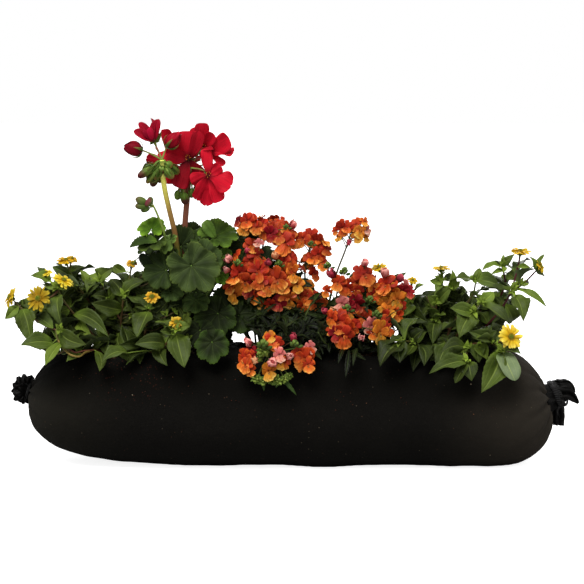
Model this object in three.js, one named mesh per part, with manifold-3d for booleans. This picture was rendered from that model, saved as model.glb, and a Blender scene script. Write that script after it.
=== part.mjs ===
// A soft black fabric sleeve filled with potting soil, tied at both ends, with creeping zinnias, a
// pelargonium and nemesias growing out of openings along its top. Millimetres, +Z up, X along the sleeve,
// the origin on the flat underside of the sleeve at its middle.
import * as THREE from "three";
import { mergeVertices } from "three/addons/utils/BufferGeometryUtils.js";
import Module from "manifold-3d";

// Driving dimensions
const SCALE = 1.145; // mm for each unit of the layout's across and down
const EYE = 1750; // how far the layout's eye stands, level with LOOK
const LOOK = 195; // height of the layout's centre
const TILT = (7 * Math.PI) / 180; // the layout is drawn from this far above the horizon
const WALL = 3; // sleeve fabric with its inner liner of packed roots and soil
const GAP = 0.38, SIMPLE = 0.1; // room between touching pieces
const HALF_DEPTH = 78; // sleeve, front to middle
const FINE_LEAF = 13, FINE_FLOWER = 7.5; // narrower leaves and smaller flowers of the layout are left to the surface finish
const OPENINGS = [[-205, 0, 44, 40], [-123, 2, 33, 38], [-8, 0, 52, 42], [80, 0, 34, 40], [172, 0, 48, 40]]; // centre x, y, half sizes
// Sleeve outline: [x in layout units, top, bottom]
const OUTLINE = [[29, 405.5, 402.5], [30, 393, 415], [33.5, 381.5, 425.5], [40, 370.5, 433], [50, 359, 441], [64, 350, 448.5], [84, 346, 454.5], [116, 344.6, 460],
  [185, 343.6, 464.5], [320, 343.2, 466.4], [462, 345, 465.6], [496, 348.4, 464.8], [515, 354, 461.8], [531, 365.5, 455], [542, 379.5, 446.5], [549.5, 396, 434.5], [552.4, 409, 425.5], [553, 416, 419.5]];
// Shoots of the two creeping zinnias: [name, stems, leaves, pairs].
// stems: polylines of [across, down, depth mm]; the first rises from the soil, each later one branches off.
// leaves: [base across, base down, base depth, tip across, tip down, tip depth, width]
const SHOOTS = [
["sanvitalia_left_shoot_1",
 [[[104,353,-20],[93,350,-44],[80,354,-60],[66,349,-64],[57.5,339,-62],[56,329,-57]],
  [[56,330,-57],[46,326,-55],[34,319,-52],[22,309,-47],[15,302,-44],[11.5,298,-43]]],
 [[54,338,-62,20.5,345.5,-80,17],[59.4,331,-60,86.5,344.5,-80,17],[61,343,-65,45.2,365.7,-86,11],[53,328.4,-58,34.8,316.3,-38,13],
  [18.5,306,-46,4.8,319,-58,10],[22.3,309,-47,31.3,343,-66,18],[34,319,-52,44,306,-40,11],[80,353,-60,66,362,-78,10]], 3],
["sanvitalia_left_shoot_2",
 [[[108,353,-5],[92,334,-18],[74,314,-28],[62,298,-33],[58,289,-34]],
  [[58,291,-34],[51,297,-42],[42,300,-46],[38.3,298.5,-48]],
  [[58,289,-34],[61,285,-32],[63.8,281,-30]],
  [[58,289,-34],[51,282,-26],[46.5,275,-20]]],
 [[57,289,-35,38,285.7,-20,12],[59,289,-35,77.8,290,-22,12],[58,296,-36,63,327.8,-62,17],[50,281.5,-25,30.6,275.5,-38,12],
  [47,274,-20,37,266.6,-10,7],[74,314,-28,108.7,337,-60,14],[80,320,-26,92,338,-48,10],[70,308,-30,54,317,-10,14]], 3],
["sanvitalia_left_shoot_3",
 [[[116,353,8],[104,326,6],[88,300,0],[74,280,-4],[66,262,-6]]],
 [[73,278,-4,52,266.6,6,11],[70,272,-5,82,266,6,9],[87,298,0,99,285,-18,13],[90,303,1,72,304,18,13],[98,318,4,86,326,24,14],[98,316,4,112,306,-14,14]], 3],
["sanvitalia_left_shoot_4",
 [[[124,353,0],[121,330,-4],[122,312,-8],[124,296,-10],[129,280,-8],[131.5,266,-8]],
  [[121.5,322,-5],[108,298,-4],[100,281,-2]]],
 [[126,272,-8,113.6,265.3,4,9],[130,268,-8,143,255,-10,8],[100,281,-2,113,268,-8,15],[100,282,-2,86,276,10,12],[110,300,-4,116,281,6,9],
  [124,296,-10,147,281.3,-16,15],[123,297,-10,110,279,4,17],[124,300,-11,133.4,317.6,-36,16],[122,310,-9,91.3,303,-24,16],
  [121,326,-5,127.3,357.5,-42,18],[121,330,-5,134,361,-54,14],[108,299,-4,92,296,-18,12]], 2],
["sanvitalia_left_shoot_5",
 [[[140,353,-16],[145,334,-28],[149,314,-36],[152,300,-38]]],
 [[149,309,-36,134.6,305,-26,11],[150,309,-37,162,305,-30,11],[148,312,-37,137.2,337.4,-62,19],[146,330,-30,164,322,-44,14],
  [144,338,-26,129,330,-34,15],[143,344,-22,158,349,-52,17],[150,318,-34,168,300,-22,14],[141,348,-18,115,352,-58,16]], 2],
["sanvitalia_left_shoot_6",
 [[[148,353,-28],[158,349,-48],[169,341,-58],[175,332,-61],[176.4,326,-62]]],
 [[174,328,-61,155,322,-66,12],[177,325,-61,188,312,-52,12],[178,328,-61,190,326,-70,11],[172,336,-60,160,331,-72,11],
  [176,333,-61,185,368,-88,25],[165,344,-55,134.6,344.4,-68,16],[160,348,-50,167.5,366,-80,13],[150,352,-32,126,365,-72,15],
  [152,350,-36,99.5,369,-86,11]], 1],
["sanvitalia_right_shoot_1",
 [[[452,353,0],[470,340,-2],[488,324,-6],[503,306,-8],[511,292,-9],[515,278,-8],[519,262,-6],[520,254,-6]],
  [[511,292,-9],[523,284,-4],[534,273,0],[539,268,2]]],
 [[513,295,-10,523.4,321.5,-34,17],[511,292,-9,482,291.6,-22,13],[513,290,-9,547,307.7,-26,11],[516,276,-8,529,266,-16,9],
  [520,286,-5,534,271,-14,16],[534,271,0,529,256,-6,8],[505,304,-8,513,321,10,14],[488,324,-6,476,310,10,15],[490,322,-6,501,306,-22,13]], 3],
["sanvitalia_right_shoot_2",
 [[[458,353,12],[480,326,14],[498,300,12],[505,284,10],[502,266,8]]],
 [[502,267,8,482,270.6,-4,12],[502,266,8,514.6,254,2,10],[503,271,8,492,276,-6,8],[505,273,8,521,283,-4,14],[501,266,8,497,254,16,10],
  [498,300,12,516,298,26,14],[496,302,12,480,308,24,14]], 3],
["sanvitalia_right_shoot_3",
 [[[440,353,6],[450,330,4],[462,310,0],[473,294,-2],[476,280,-4]],
  [[450,330,4],[440,322,6],[436,310,2],[440,292,2],[443,280,2],[441.5,270,2]]],
 [[475,282,-4,501,287,-14,14],[475,281,-4,447,281,-10,13],[476,280,-4,480,268,4,8],[462,310,0,474,308,-22,14],[450,288,0,452,269,-6,8],
  [442,280,2,429.5,280.6,-8,10],[443,280,2,455,276,12,9],[436,304,2,427.6,296,-10,11],[437,303,2,452,287,-6,12],[437,303,2,440,289,14,10],
  [436,320,4,427,309,-12,12],[436,320,4,446,315,-14,12],[436,322,4,432.7,344.4,-34,17],[450,330,4,464,322,22,14],[462,310,0,448,306,16,14]], 2],
["sanvitalia_right_shoot_4",
 [[[448,353,-12],[458,334,-28],[468,318,-36],[474,311,-38],[481,303,-38]]],
 [[480,304,-38,466,291.6,-34,13],[482,305,-38,510.4,325.3,-56,14],[474,313,-38,459,338.3,-62,20],[472,314,-38,450,308,-46,15],
  [481,303,-38,494,292,-30,12],[462,328,-32,442,330,-50,16],[460,332,-30,478,328,-54,15]], 2],
["sanvitalia_right_shoot_5",
 [[[468,353,-26],[482,344,-46],[493,344,-58],[500.5,348,-64]],
  [[493,344,-58],[502,341,-66],[509,338,-71]],
  [[482,344,-46],[473,344,-54],[466.4,348.3,-60],[467,356,-72],[468.3,363,-80]]],
 [[501,349,-65,521,354.4,-78,11],[500.5,352,-66,481.3,392.7,-94,22],[501,351,-66,506,374,-90,12],[501,352,-64,515,381,-92,18],
  [493,344,-58,468.7,331.4,-64,13],[492,343,-57,476.7,338.3,-76,10],[466.4,348,-60,440.8,353.6,-76,13],[468.3,362,-80,471.8,381.2,-92,15],
  [467,361,-78,429,374,-90,14],[467,362,-79,455,383.3,-92,13],[484,345,-48,497,331,-60,14],[496,345,-60,516,338,-50,10]], 1],
["sanvitalia_right_shoot_6",
 [[[424,353,-14],[420,348,-24],[414,344,-40],[405,341,-52],[399,344,-58]],
  [[420,348,-24],[412,338,0],[408,330,14],[398,308,12],[388,288,12],[380,271,12]],
  [[408,330,14],[411,305,10],[412,284,8]]],
 [[399,345,-58,383,370,-84,18],[399,345,-58,400,363,-84,18],[413.6,345,-42,402,360.7,-76,11],[416,344,-40,424,366,-78,16],
  [404,341,-52,388,344,-70,13],[412,341,-42,424,330,-52,14],[398,306,12,385.5,269,2,9],[388,288,12,406.6,272.3,4,10],[411,300,10,425,285,-4,11],
  [411,303,10,400,318,-14,12],[410,312,11,428,322,-14,15],[409,320,12,404,334,-20,14]], 3],
];
// Flower heads of the creeping zinnias: [name, across, down, depth, radius, facing x, y, z, number of rays]
const HEADS = [
["sanvitalia_left_flower_1",38.3,298.5,-50,13.2,-0.25,-0.88,0.40,12],
["sanvitalia_left_flower_2",63.8,279.8,-30,12.6,-0.15,-0.42,0.89,12],
["sanvitalia_left_flower_3",66.0,260.4,-6,9.8,0.05,-0.22,0.97,11],
["sanvitalia_left_flower_4",10.0,297.2,-43,10.6,-0.80,-0.44,0.41,11],
["sanvitalia_left_flower_5",152.0,297.4,-38,8.6,0.05,-0.52,0.85,10],
["sanvitalia_left_flower_6",176.5,322.8,-62,8.0,0.05,-0.62,0.78,10],
["sanvitalia_right_flower_1",520.3,251.4,-6,10.8,0.05,-0.18,0.98,11],
["sanvitalia_right_flower_2",540.3,266.4,2,7.6,0.78,-0.45,0.43,10],
["sanvitalia_right_flower_3",510.9,336.8,-72,12.8,0.20,-0.93,0.30,13],
["sanvitalia_right_flower_4",441.3,268.2,2,9.2,0.00,-0.16,0.99,11],
["sanvitalia_right_flower_5",379.0,267.4,12,8.2,-0.10,-0.35,0.93,10],
];
// Round leaves of the pelargonium: [name, hub across, down, depth, radius, facing x, y, z, way of the middle lobe in the view (degrees from right, anticlockwise)]
const ROUNDS = [
["pelargonium_leaf_01",152.5,229.5,-14,15,-0.15,-0.50,0.85,115],
["pelargonium_leaf_02",157.0,241.0,-22,21,-0.25,-0.42,0.87,190],
["pelargonium_leaf_03",170.5,240.0,-24,13,-0.62,-0.62,0.48,250],
["pelargonium_leaf_04",190.0,238.0,16,18,0.10,-0.78,0.62,80],
["pelargonium_leaf_05",213.0,234.5,-12,23,0.15,-0.66,0.74,60],
["pelargonium_leaf_06",236.5,238.0,14,17,0.45,-0.70,0.55,290],
["pelargonium_leaf_07",166.0,270.0,-26,21,-0.30,-0.80,0.52,150],
["pelargonium_leaf_08",191.5,265.3,-44,29,0.05,-0.88,0.47,290],
["pelargonium_leaf_09",229.0,311.0,-22,26,0.20,-0.86,0.46,80],
["pelargonium_leaf_10",212.0,345.0,-62,21,0.10,-0.84,0.53,300],
];
// Young and inner leaves that stay with the pelargonium's main stem: [across, down, depth, radius, facing x, y, z, way]
const INNER = [
[171,291,-34,13,-0.25,-0.80,0.55,300],[221,276,-22,9,0.35,-0.80,0.45,280],[226,253,-4,8,0.3,-0.7,0.6,20],[252,236,20,9,0.4,-0.5,0.75,10],
[160,252,44,19,-0.45,0.35,0.82,120],[205,268,50,22,0.15,0.55,0.82,60],[232,290,40,20,0.55,0.35,0.75,20],[178,300,52,21,-0.20,0.70,0.68,200],
[206,318,56,20,0.20,0.75,0.62,330],[152,282,30,17,-0.6,0.25,0.75,160],[196,300,-30,16,0.0,-0.80,0.60,270],[190,336,50,18,-0.1,0.80,0.6,250],
];
// Florets of the pelargonium: [name, centre across, down, depth, petals]; a petal is [tip across, tip down, tip depth, width]
const FLORETS = [
["pelargonium_floret_1",209.5,173,-18,[[195,200,-22,15],[206,206,-16,15],[222,198,-22,17],[232,178,-20,20],[206,158,-12,16]]],
["pelargonium_floret_2",214,165,2,[[232,150,-8,20],[222,142,-2,13],[231,164,4,10],[212,150,6,12]]],
["pelargonium_floret_3",203,148,6,[[200,124,0,9],[214,136,-4,12],[196,128,8,14],[209,150,-14,11]]],
["pelargonium_floret_4",190,161,-6,[[187,133,-2,18],[202,133,-10,15],[168,152,-4,19],[180,186,-12,16],[203,180,-4,12]]],
["pelargonium_floret_5",170,163,14,[[146,158,10,12],[160,131,12,11],[171,184,10,12],[176,140,20,13]]],
["pelargonium_floret_6",154,141,-20,[[133.5,131,-24,12],[139,122.5,-18,10],[150.6,118,-16,12],[159,119,-22,12]]],
];
// Flower racemes of the nemesia: [name, stem, flowers]; a flower is [across, down, depth, size, facing x, y, z, kind]
// kinds: 0 red-orange, 1 orange, 2 yellow-orange, 3 pink bud, 4 green bud, 5 crimson, 6 pale pink, 7 magenta bud, 8 peach bud, 9 yellow
const RACEMES = [
["nemesia_raceme_01",[[262,353,12],[256,320,8],[257,285,4],[262,250,2],[268,228,0]],
 [[251,224,-8,9.5,-0.4,-0.8,0.3,0],[243,228,-10,7,-0.7,-0.6,0.2,2],[238,221,-2,6,-0.8,-0.4,0.4,5],[260,218,-2,6.5,-0.2,-0.6,0.7,1],[266,231,-10,8.5,0.1,-0.9,0.2,0],
  [275,226,-6,7,0.2,-0.8,0.4,1],[283,223,-2,6.5,0.5,-0.6,0.5,0],[292,227,-2,5,0.5,-0.4,0.7,3],[268,217,4,4.5,0.1,-0.3,0.9,4],[256,233,10,7.5,-0.6,0.5,0.4,1],[274,222,14,8,0.4,0.8,0.3,0]]],
["nemesia_raceme_02",[[250,353,2],[246,320,-6],[243,290,-14],[242,262,-16]],
 [[252,246,-18,8.5,0.2,-0.9,0.3,1],[257,256,-24,9,0.3,-0.9,0.2,0],[247,252,-20,4,0,-0.7,0.6,7],[258.5,243,-12,5,0.4,-0.7,0.5,6],[229,261,-16,5,-0.8,-0.4,0.5,3],
  [236,256,-20,7,-0.5,-0.8,0.3,1],[238,267,-24,4,-0.1,-0.8,0.6,4],[227.5,271,-18,4.5,-0.8,-0.5,0.3,3],[234,278,-26,9,-0.4,-0.9,0.2,1],[245,282,-30,9,-0.1,-0.95,0.1,1],
  [235,294,-26,9.5,-0.4,-0.9,0.0,9],[232,270,4,8,-0.8,0.4,0.3,0],[240,286,8,8,-0.6,0.7,0.2,2]]],
["nemesia_raceme_03",[[270,353,-4],[268,325,-14],[266,298,-22],[267,270,-26]],
 [[258,271,-32,11,-0.2,-0.95,0.1,0],[275,258,-26,5,0.1,-0.7,0.6,8],[267.6,264,-30,4.5,0,-0.8,0.5,7],[276.5,280,-36,12,0.1,-0.97,0.1,1],[263.5,288,-32,9,-0.2,-0.95,0,0],
  [278.5,303,-30,8,0,-0.95,-0.1,5],[270,305,-28,6,-0.2,-0.9,0,0],[254,297,-26,7,-0.4,-0.9,0,1],[262,304,-24,6,-0.1,-0.9,-0.1,2]]],
["nemesia_raceme_04",[[282,353,0],[284,325,-10],[286,295,-16],[285,265,-16],[284,250,-14]],
 [[284,243,-20,11.5,0.05,-0.92,0.35,0],[290,259,-22,8.5,0.3,-0.9,0.2,0],[279,268,-24,4,0,-0.8,0.5,4],[292.5,273,-26,9,0.2,-0.95,0.1,2],[297,285,-24,8,0.3,-0.9,0.1,9],
  [292,290,-22,7.5,0.1,-0.95,0,5],[289,300,-26,8.5,0.1,-0.95,-0.1,2],[300,296,-18,6.5,0.5,-0.8,0.1,1],[302,268,-14,6,0.6,-0.6,0.4,0],[290,262,12,8.5,0.2,0.9,0.3,1],[280,280,14,8.5,-0.2,0.95,0.1,0]]],
["nemesia_raceme_05",[[294,353,10],[300,320,8],[305,285,4],[305,265,2],[311,244,0]],
 [[310,237,-6,8.5,0,-0.9,0.4,0],[300,241,-6,8,-0.4,-0.8,0.3,1],[322,241.5,-6,7.5,0.5,-0.8,0.3,2],[326.5,249,-8,7,0.6,-0.7,0.2,0],[312,259,-10,8.5,0,-0.95,0.2,1],
  [321.5,263,-10,8,0.4,-0.9,0.1,1],[307.5,287,-12,7.5,0.2,-0.95,0.1,9],[313,300,-16,9.5,0.4,-0.9,0.1,0],[314,274,-8,7,0.4,-0.8,0.2,0],[312,231,2,4,0.1,-0.3,0.9,4],[316,246,14,8.5,0.4,0.8,0.3,0],[308,262,18,8,0,0.95,0.2,2]]],
["nemesia_raceme_06",[[318,353,4],[326,318,0],[332,290,-4],[337.5,270.5,-6],[345,251,-6],[350,236,-6]],
 [[342.5,228,-12,9,-0.3,-0.85,0.4,0],[340,237,-10,6.5,-0.6,-0.7,0.2,2],[356,225,-8,8.5,0.1,-0.85,0.5,1],[358,236,-14,8,0.2,-0.95,0.1,2],[366,229,-8,6.5,0.7,-0.6,0.3,6],
  [366,237,-8,5.5,0.7,-0.7,0.1,9],[350,220,-2,4,0,-0.4,0.9,4],[335,231,-6,5,-0.8,-0.5,0.2,1],[352,230,4,7,0.2,0.8,0.4,0],[349,243,-8,4,0,-0.8,-0.3,7]]],
["nemesia_raceme_07",[[334,353,-12],[334,325,-22],[336,300,-28],[338,284,-28]],
 [[338.3,283,-32,8,0,-0.95,0.2,1],[332.5,276.5,-26,6,-0.4,-0.7,0.5,7],[328,270,-20,4,-0.5,-0.4,0.7,4],[344,276,-26,4.5,0.3,-0.6,0.7,4],[341.6,304,-34,7.5,0,-0.95,0.1,6],
  [333,312,-34,4.5,-0.4,-0.8,0.2,8],[326.5,313,-28,4.5,-0.7,-0.6,0.1,7],[330,291,-26,6.5,-0.5,-0.8,0.1,0],[349,293,-28,7,0.4,-0.85,0.1,0],[336,292,8,8,-0.3,0.9,0.2,1]]],
["nemesia_raceme_08",[[352,353,-4],[358,325,-14],[362,300,-20],[364,276,-22]],
 [[364,275,-26,11,0,-0.95,0.2,0],[364.5,265,-22,5.5,0,-0.7,0.7,3],[356,304,-30,9.5,-0.3,-0.9,0.1,5],[364,318,-32,9,0.1,-0.97,0,1],[369.5,304,-26,4.5,0.3,-0.8,0.3,4],
  [373,295,-22,7.5,0.5,-0.8,0.1,0],[350,313,-32,6.5,-0.4,-0.85,-0.1,2],[374,283,-16,5.5,0.6,-0.6,0.4,1],[354,283,-18,5.5,-0.6,-0.7,0.3,6],[366,290,10,9,0.2,0.95,0.2,0]]],
["nemesia_raceme_09",[[372,353,4],[380,325,-4],[385,300,-10],[387,284,-14]],
 [[386.5,285,-20,11,0.05,-0.95,0.2,0],[385,275,-14,5.5,0,-0.6,0.8,3],[398.7,280,-10,5.5,0.4,-0.6,0.6,7],[404.8,286,-10,6,0.6,-0.6,0.3,6],[409.4,292,-12,6.5,0.7,-0.6,0.2,5],
  [398,300,-18,9.5,0.3,-0.93,0,9],[400.5,308,-16,6.5,0.5,-0.85,0,0],[393.8,314,-22,8.5,0.2,-0.95,0,1],[384.6,306,-24,8.5,0,-0.95,0,9],[377,296,-18,6.5,-0.3,-0.9,0,1],[392,294,12,9,0.3,0.9,0.2,0]]],
["nemesia_raceme_10",[[344,353,-26],[346,342,-46],[350,333,-54],[358,327,-54]],
 [[338.5,322,-58,12,-0.2,-0.96,0.1,0],[343,337,-64,11,-0.1,-0.98,0,0],[355,327,-58,7,0,-0.95,0.1,0],[371.4,326,-54,8.5,0.2,-0.93,0.1,6],[379.5,333,-56,10.5,0.3,-0.94,0.1,1],
  [386,322,-48,6.5,0.5,-0.8,0.2,1],[376,318,-48,4,0.3,-0.8,0.4,4],[347,313,-44,4.5,0,-0.8,0.4,4],[361,338,-60,4.5,0.2,-0.9,-0.2,3],[331,330,-54,6,-0.6,-0.75,0,1]]],
["nemesia_raceme_11",[[282,354,-34],[279,353,-58],[275,352,-74],[270,351,-80]],
 [[250,344,-76,6,-0.6,-0.7,0.2,3],[243.7,360,-82,9.5,-0.55,-0.83,0,1],[250,370,-86,6,-0.3,-0.95,-0.2,1],[253.5,353,-82,5.5,-0.2,-0.9,0.2,5],[255,361.5,-86,4.5,-0.1,-0.95,0,8],
  [263.5,350,-86,5.5,0,-0.85,0.5,4],[269.5,337,-78,6.5,0,-0.8,0.5,9],[276.5,344.5,-82,7,0.1,-0.9,0.3,0],[279.5,355,-88,6.5,0.1,-0.97,0,6],[280,363,-88,6.5,0.1,-0.97,-0.1,9],
  [269,371.5,-90,8.5,0,-0.97,-0.1,9],[289.5,357,-86,5,0.3,-0.9,0,3],[305,359.5,-84,11,0.2,-0.95,0.1,1],[310.5,347.5,-78,6,0.3,-0.85,0.3,6],[293,340,-74,5.5,0.2,-0.8,0.5,7],[295,348.5,-82,4.5,0.2,-0.9,0.2,4]]],
];
// Leafy stems of the nemesia: [name, stems, number of leaves per stem, leaf length mm]
const LEAFY = [
["nemesia_foliage_left",[[[258,352,-10],[256,346,-10],[246,336,-20],[240,322,-22],[236,306,-20]],[[256,346,-10],[254,330,20],[246,306,38],[244,284,38]],[[256,346,-10],[262,338,-24],[266,330,-34],[262,316,-36]]],6],
["nemesia_foliage_middle",[[[298,352,-10],[298,346,-10],[300,336,-22],[304,320,-28],[310,306,-26]],[[298,346,-10],[298,326,22],[296,300,36],[298,276,36]],[[298,346,-10],[310,342,-32],[322,338,-42],[328,326,-46]],[[298,346,-10],[292,344,-38],[288,340,-52],[284,328,-58]]],6],
["nemesia_foliage_right",[[[352,352,6],[351,346,8],[344,326,28],[346,298,34],[350,276,30]],[[351,346,8],[362,344,-22],[374,338,-38],[380,326,-42]],[[351,346,8],[370,330,28],[380,316,34],[390,298,34]],[[351,346,8],[338,346,-26],[326,344,-48],[318,332,-56]]],6],
];

const wasm = await Module();
wasm.setup();

// ---- placing -------------------------------------------------------------------------------------
const V = (x, y, z) => new THREE.Vector3(x, y, z);
const EYE_AT = V(0, -EYE * Math.cos(TILT), LOOK + EYE * Math.sin(TILT));
// the point at a depth that the layout draws at (across, down)
function at(u, v, y) {
  const a = ((u - 292) * SCALE) / EYE, b = ((292 - v) * SCALE) / EYE;
  const d = V(a, Math.cos(TILT) + b * Math.sin(TILT), -Math.sin(TILT) + b * Math.cos(TILT));
  return EYE_AT.clone().addScaledVector(d, (y - EYE_AT.y) / d.y);
}
const at3 = (p) => at(p[0], p[1], p[2]);
let seed = 1;
function rnd() {
  seed = (seed * 16807) % 2147483647;
  return seed / 2147483647;
}

// ---- solids --------------------------------------------------------------------------------------
function solid(points, faces) {
  const vertProperties = new Float32Array(points.length * 3);
  points.forEach((p, i) => vertProperties.set([p.x, p.y, p.z], i * 3));
  return new wasm.Manifold(new wasm.Mesh({ numProp: 3, vertProperties, triVerts: new Uint32Array(faces.flat()) }));
}
// closed skin over rings of equally many points; a ring of one point is a tip
function loft(rings) {
  const points = [], start = [], faces = [];
  for (const r of rings) {
    start.push(points.length);
    points.push(...r);
  }
  for (let i = 0; i + 1 < rings.length; i++) {
    const a = rings[i], b = rings[i + 1], n = Math.max(a.length, b.length);
    for (let k = 0; k < n; k++) {
      const k2 = (k + 1) % n, p = start[i], q = start[i + 1];
      if (a.length === 1) faces.push([p, q + k2, q + k]);
      else if (b.length === 1) faces.push([p + k, p + k2, q]);
      else faces.push([p + k, p + k2, q + k2], [p + k, q + k2, q + k]);
    }
  }
  for (const [i, flip] of [[0, true], [rings.length - 1, false]]) {
    const n = rings[i].length;
    if (n === 1) continue;
    for (let k = 1; k + 1 < n; k++) faces.push(flip ? [start[i], start[i] + k + 1, start[i] + k] : [start[i], start[i] + k, start[i] + k + 1]);
  }
  const m = solid(points, faces);
  if (m.volume() < 0) return solid(points, faces.map(([a, b, c]) => [a, c, b]));
  return m;
}
// round bar along points, tapering from r0 to r1
function bar(points, r0, r1, sides = 5, grow = 0) {
  const rings = [];
  let side = null;
  points.forEach((p, i) => {
    const t = (points[i + 1] || p).clone().sub(points[i - 1] || p).normalize();
    if (!side) side = Math.abs(t.x) < 0.8 ? V(1, 0, 0) : V(0, 0, 1);
    side.addScaledVector(t, -side.dot(t)).normalize();
    const other = t.clone().cross(side), r = r0 + ((r1 - r0) * i) / (points.length - 1) + grow, at = p.clone();
    if (i === 0) at.addScaledVector(t, -grow);
    if (i === points.length - 1) at.addScaledVector(t, grow);
    rings.push([...Array(sides).keys()].map((k) => {
      const a = (2 * Math.PI * k) / sides;
      return at.clone().addScaledVector(side, r * Math.cos(a)).addScaledVector(other, r * Math.sin(a));
    }));
  });
  return loft(rings);
}
const curve = (points, n) => new THREE.CatmullRomCurve3(points, false, "centripetal").getPoints(n);
// leaf or petal: widths is [[share of length, share of width], ...], then the tip
function blade(base, tip, width, face, widths, arch = 0.08, thick = 1.1, grow = 0) {
  const along = tip.clone().sub(base), length = along.length(), t = along.normalize();
  const n = face.clone().addScaledVector(t, -face.dot(t)).normalize(), s = t.clone().cross(n);
  const rings = [[base.clone().addScaledVector(t, -grow * 2)]];
  for (const [f, w] of widths) {
    const c = base.clone().addScaledVector(t, f * length).addScaledVector(n, 4 * arch * length * f * (1 - f));
    const half = (w * width) / 2 + grow, h = thick / 2 + grow;
    rings.push([c.clone().addScaledVector(s, -half), c.clone().addScaledVector(n, -2 * h), c.clone().addScaledVector(s, half)]);
  }
  rings.push([tip.clone().addScaledVector(t, grow * 2)]);
  return loft(rings);
}
const LEAF = [[0.42, 1]];
const PETAL = [[0.5, 0.9], [0.85, 0.95]];
// disc with an outline [[degrees, radius, lift], ...] about a centre
function disc(centre, normal, up, outline, thick = 1.2, lift = 0, grow = 0) {
  const n = normal.clone().normalize(), y = up.clone().addScaledVector(n, -up.dot(n)).normalize(), x = y.clone().cross(n);
  const rim = outline.map(([deg, r, l]) => {
    const a = (deg * Math.PI) / 180;
    return centre.clone().addScaledVector(x, (r + grow) * Math.cos(a)).addScaledVector(y, (r + grow) * Math.sin(a)).addScaledVector(n, l);
  });
  return loft([[centre.clone().addScaledVector(n, lift - thick - grow)], rim, [centre.clone().addScaledVector(n, lift + thick + grow)]]);
}
// bud: a long drop from base to tip
function drop(base, tip, r, sides = 5, grow = 0) {
  const t = tip.clone().sub(base).normalize(), side = (Math.abs(t.x) < 0.8 ? V(1, 0, 0) : V(0, 0, 1)).addScaledVector(t, -(Math.abs(t.x) < 0.8 ? t.x : t.z)).normalize(), other = t.clone().cross(side);
  const ring = (f, w) => [...Array(sides).keys()].map((k) => {
    const a = (2 * Math.PI * k) / sides;
    return base.clone().lerp(tip, f).addScaledVector(side, (w * r + grow) * Math.cos(a)).addScaledVector(other, (w * r + grow) * Math.sin(a));
  });
  return loft([[base.clone().addScaledVector(t, -grow)], ring(0.3, 0.9), ring(0.62, 1), [tip.clone().addScaledVector(t, grow)]]);
}
const join = (list) => (list.length === 1 ? list[0] : wasm.Manifold.union(list));

// ---- pieces --------------------------------------------------------------------------------------
// Each piece is made from primitives. A primitive can also be made a little larger, and the larger ones
// of the earlier pieces are cut from the later ones, so neighbours stay GAP apart.
const largest = (m) => m.decompose().sort((a, b) => b.volume() - a.volume())[0];
// one clean body: near points become one, loose crumbs of a cut are dropped, and each edge has two faces
function cleaned(body, step) {
  for (let i = 0; i < 3; i++) {
    const { vertProperties, triVerts } = largest(body).getMesh();
    const g = new THREE.BufferGeometry();
    g.setAttribute("position", new THREE.BufferAttribute(Float32Array.from(vertProperties, (x) => Math.round(x / step) * step), 3));
    g.setIndex(new THREE.BufferAttribute(Uint32Array.from(triVerts), 1));
    const m = mergeVertices(g, step * 0.8), p = m.attributes.position, faces = [];
    for (let k = 0; k < m.index.count; k += 3) {
      const f = [m.index.getX(k), m.index.getX(k + 1), m.index.getX(k + 2)];
      if (new Set(f).size === 3) faces.push(f);
    }
    body = solid([...Array(p.count).keys()].map((k) => V(p.getX(k), p.getY(k), p.getZ(k))), faces);
    if (body.decompose().length === 1) break;
  }
  return largest(body);
}
function sound(body) {
  const { vertProperties: v, triVerts: t } = body.getMesh(), ids = new Map(), edges = new Set();
  const id = (i) => {
    const key = [0, 1, 2].map((k) => Math.round(v[3 * i + k] * 1e4)).join();
    if (!ids.has(key)) ids.set(key, ids.size);
    return ids.get(key);
  };
  for (let i = 0; i < t.length; i += 3) {
    const f = [id(t[i]), id(t[i + 1]), id(t[i + 2])];
    if (new Set(f).size < 3) continue;
    for (let k = 0; k < 3; k++) {
      const e = f[k] + "," + f[(k + 1) % 3];
      if (edges.has(e)) return false;
      edges.add(e);
    }
  }
  return true;
}
function settle(body) {
  let out = null;
  for (const tolerance of [0.05, 0.12, 0.2, 0.3]) for (const step of [0.01, 0.0043, 0.02, 0.033, 0.05]) {
    try {
      out = cleaned(body.simplify(tolerance), step);
    } catch (e) {
      continue;
    }
    if (sound(out)) return out;
  }
  return out;
}
const root = new THREE.Group();
root.name = "planted_window_box";
const made = [];
function piece(name, material, primitives, options = {}) {
  let body = join(primitives.map((f) => f(0))).simplify(SIMPLE);
  const box = body.boundingBox();
  for (const e of options.plain ? [] : made) {
    if (e.box.max.some((m, i) => m < box.min[i] - 1) || e.box.min.some((m, i) => m > box.max[i] + 1)) continue;
    body = body.subtract(e.cutter());
  }
  body = settle(body);
  let keep = null;
  made.push({ name, box: body.boundingBox(), cutter: () => (keep ??= options.cutter ? options.cutter() : join(primitives.map((f) => f(GAP)))) });
  const { vertProperties, triVerts } = body.getMesh(), b = body.boundingBox();
  const c = V((b.min[0] + b.max[0]) / 2, (b.min[1] + b.max[1]) / 2, (b.min[2] + b.max[2]) / 2);
  const geometry = new THREE.BufferGeometry();
  geometry.setAttribute("position", new THREE.BufferAttribute(Float32Array.from(vertProperties), 3));
  geometry.setIndex(new THREE.BufferAttribute(Uint32Array.from(triVerts), 1));
  geometry.translate(-c.x, -c.y, -c.z);
  geometry.computeVertexNormals();
  const mesh = new THREE.Mesh(geometry, material);
  mesh.name = name;
  mesh.position.copy(c);
  root.add(mesh);
}
const look = (color, roughness) => new THREE.MeshStandardMaterial({ color, roughness, metalness: 0 });
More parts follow.
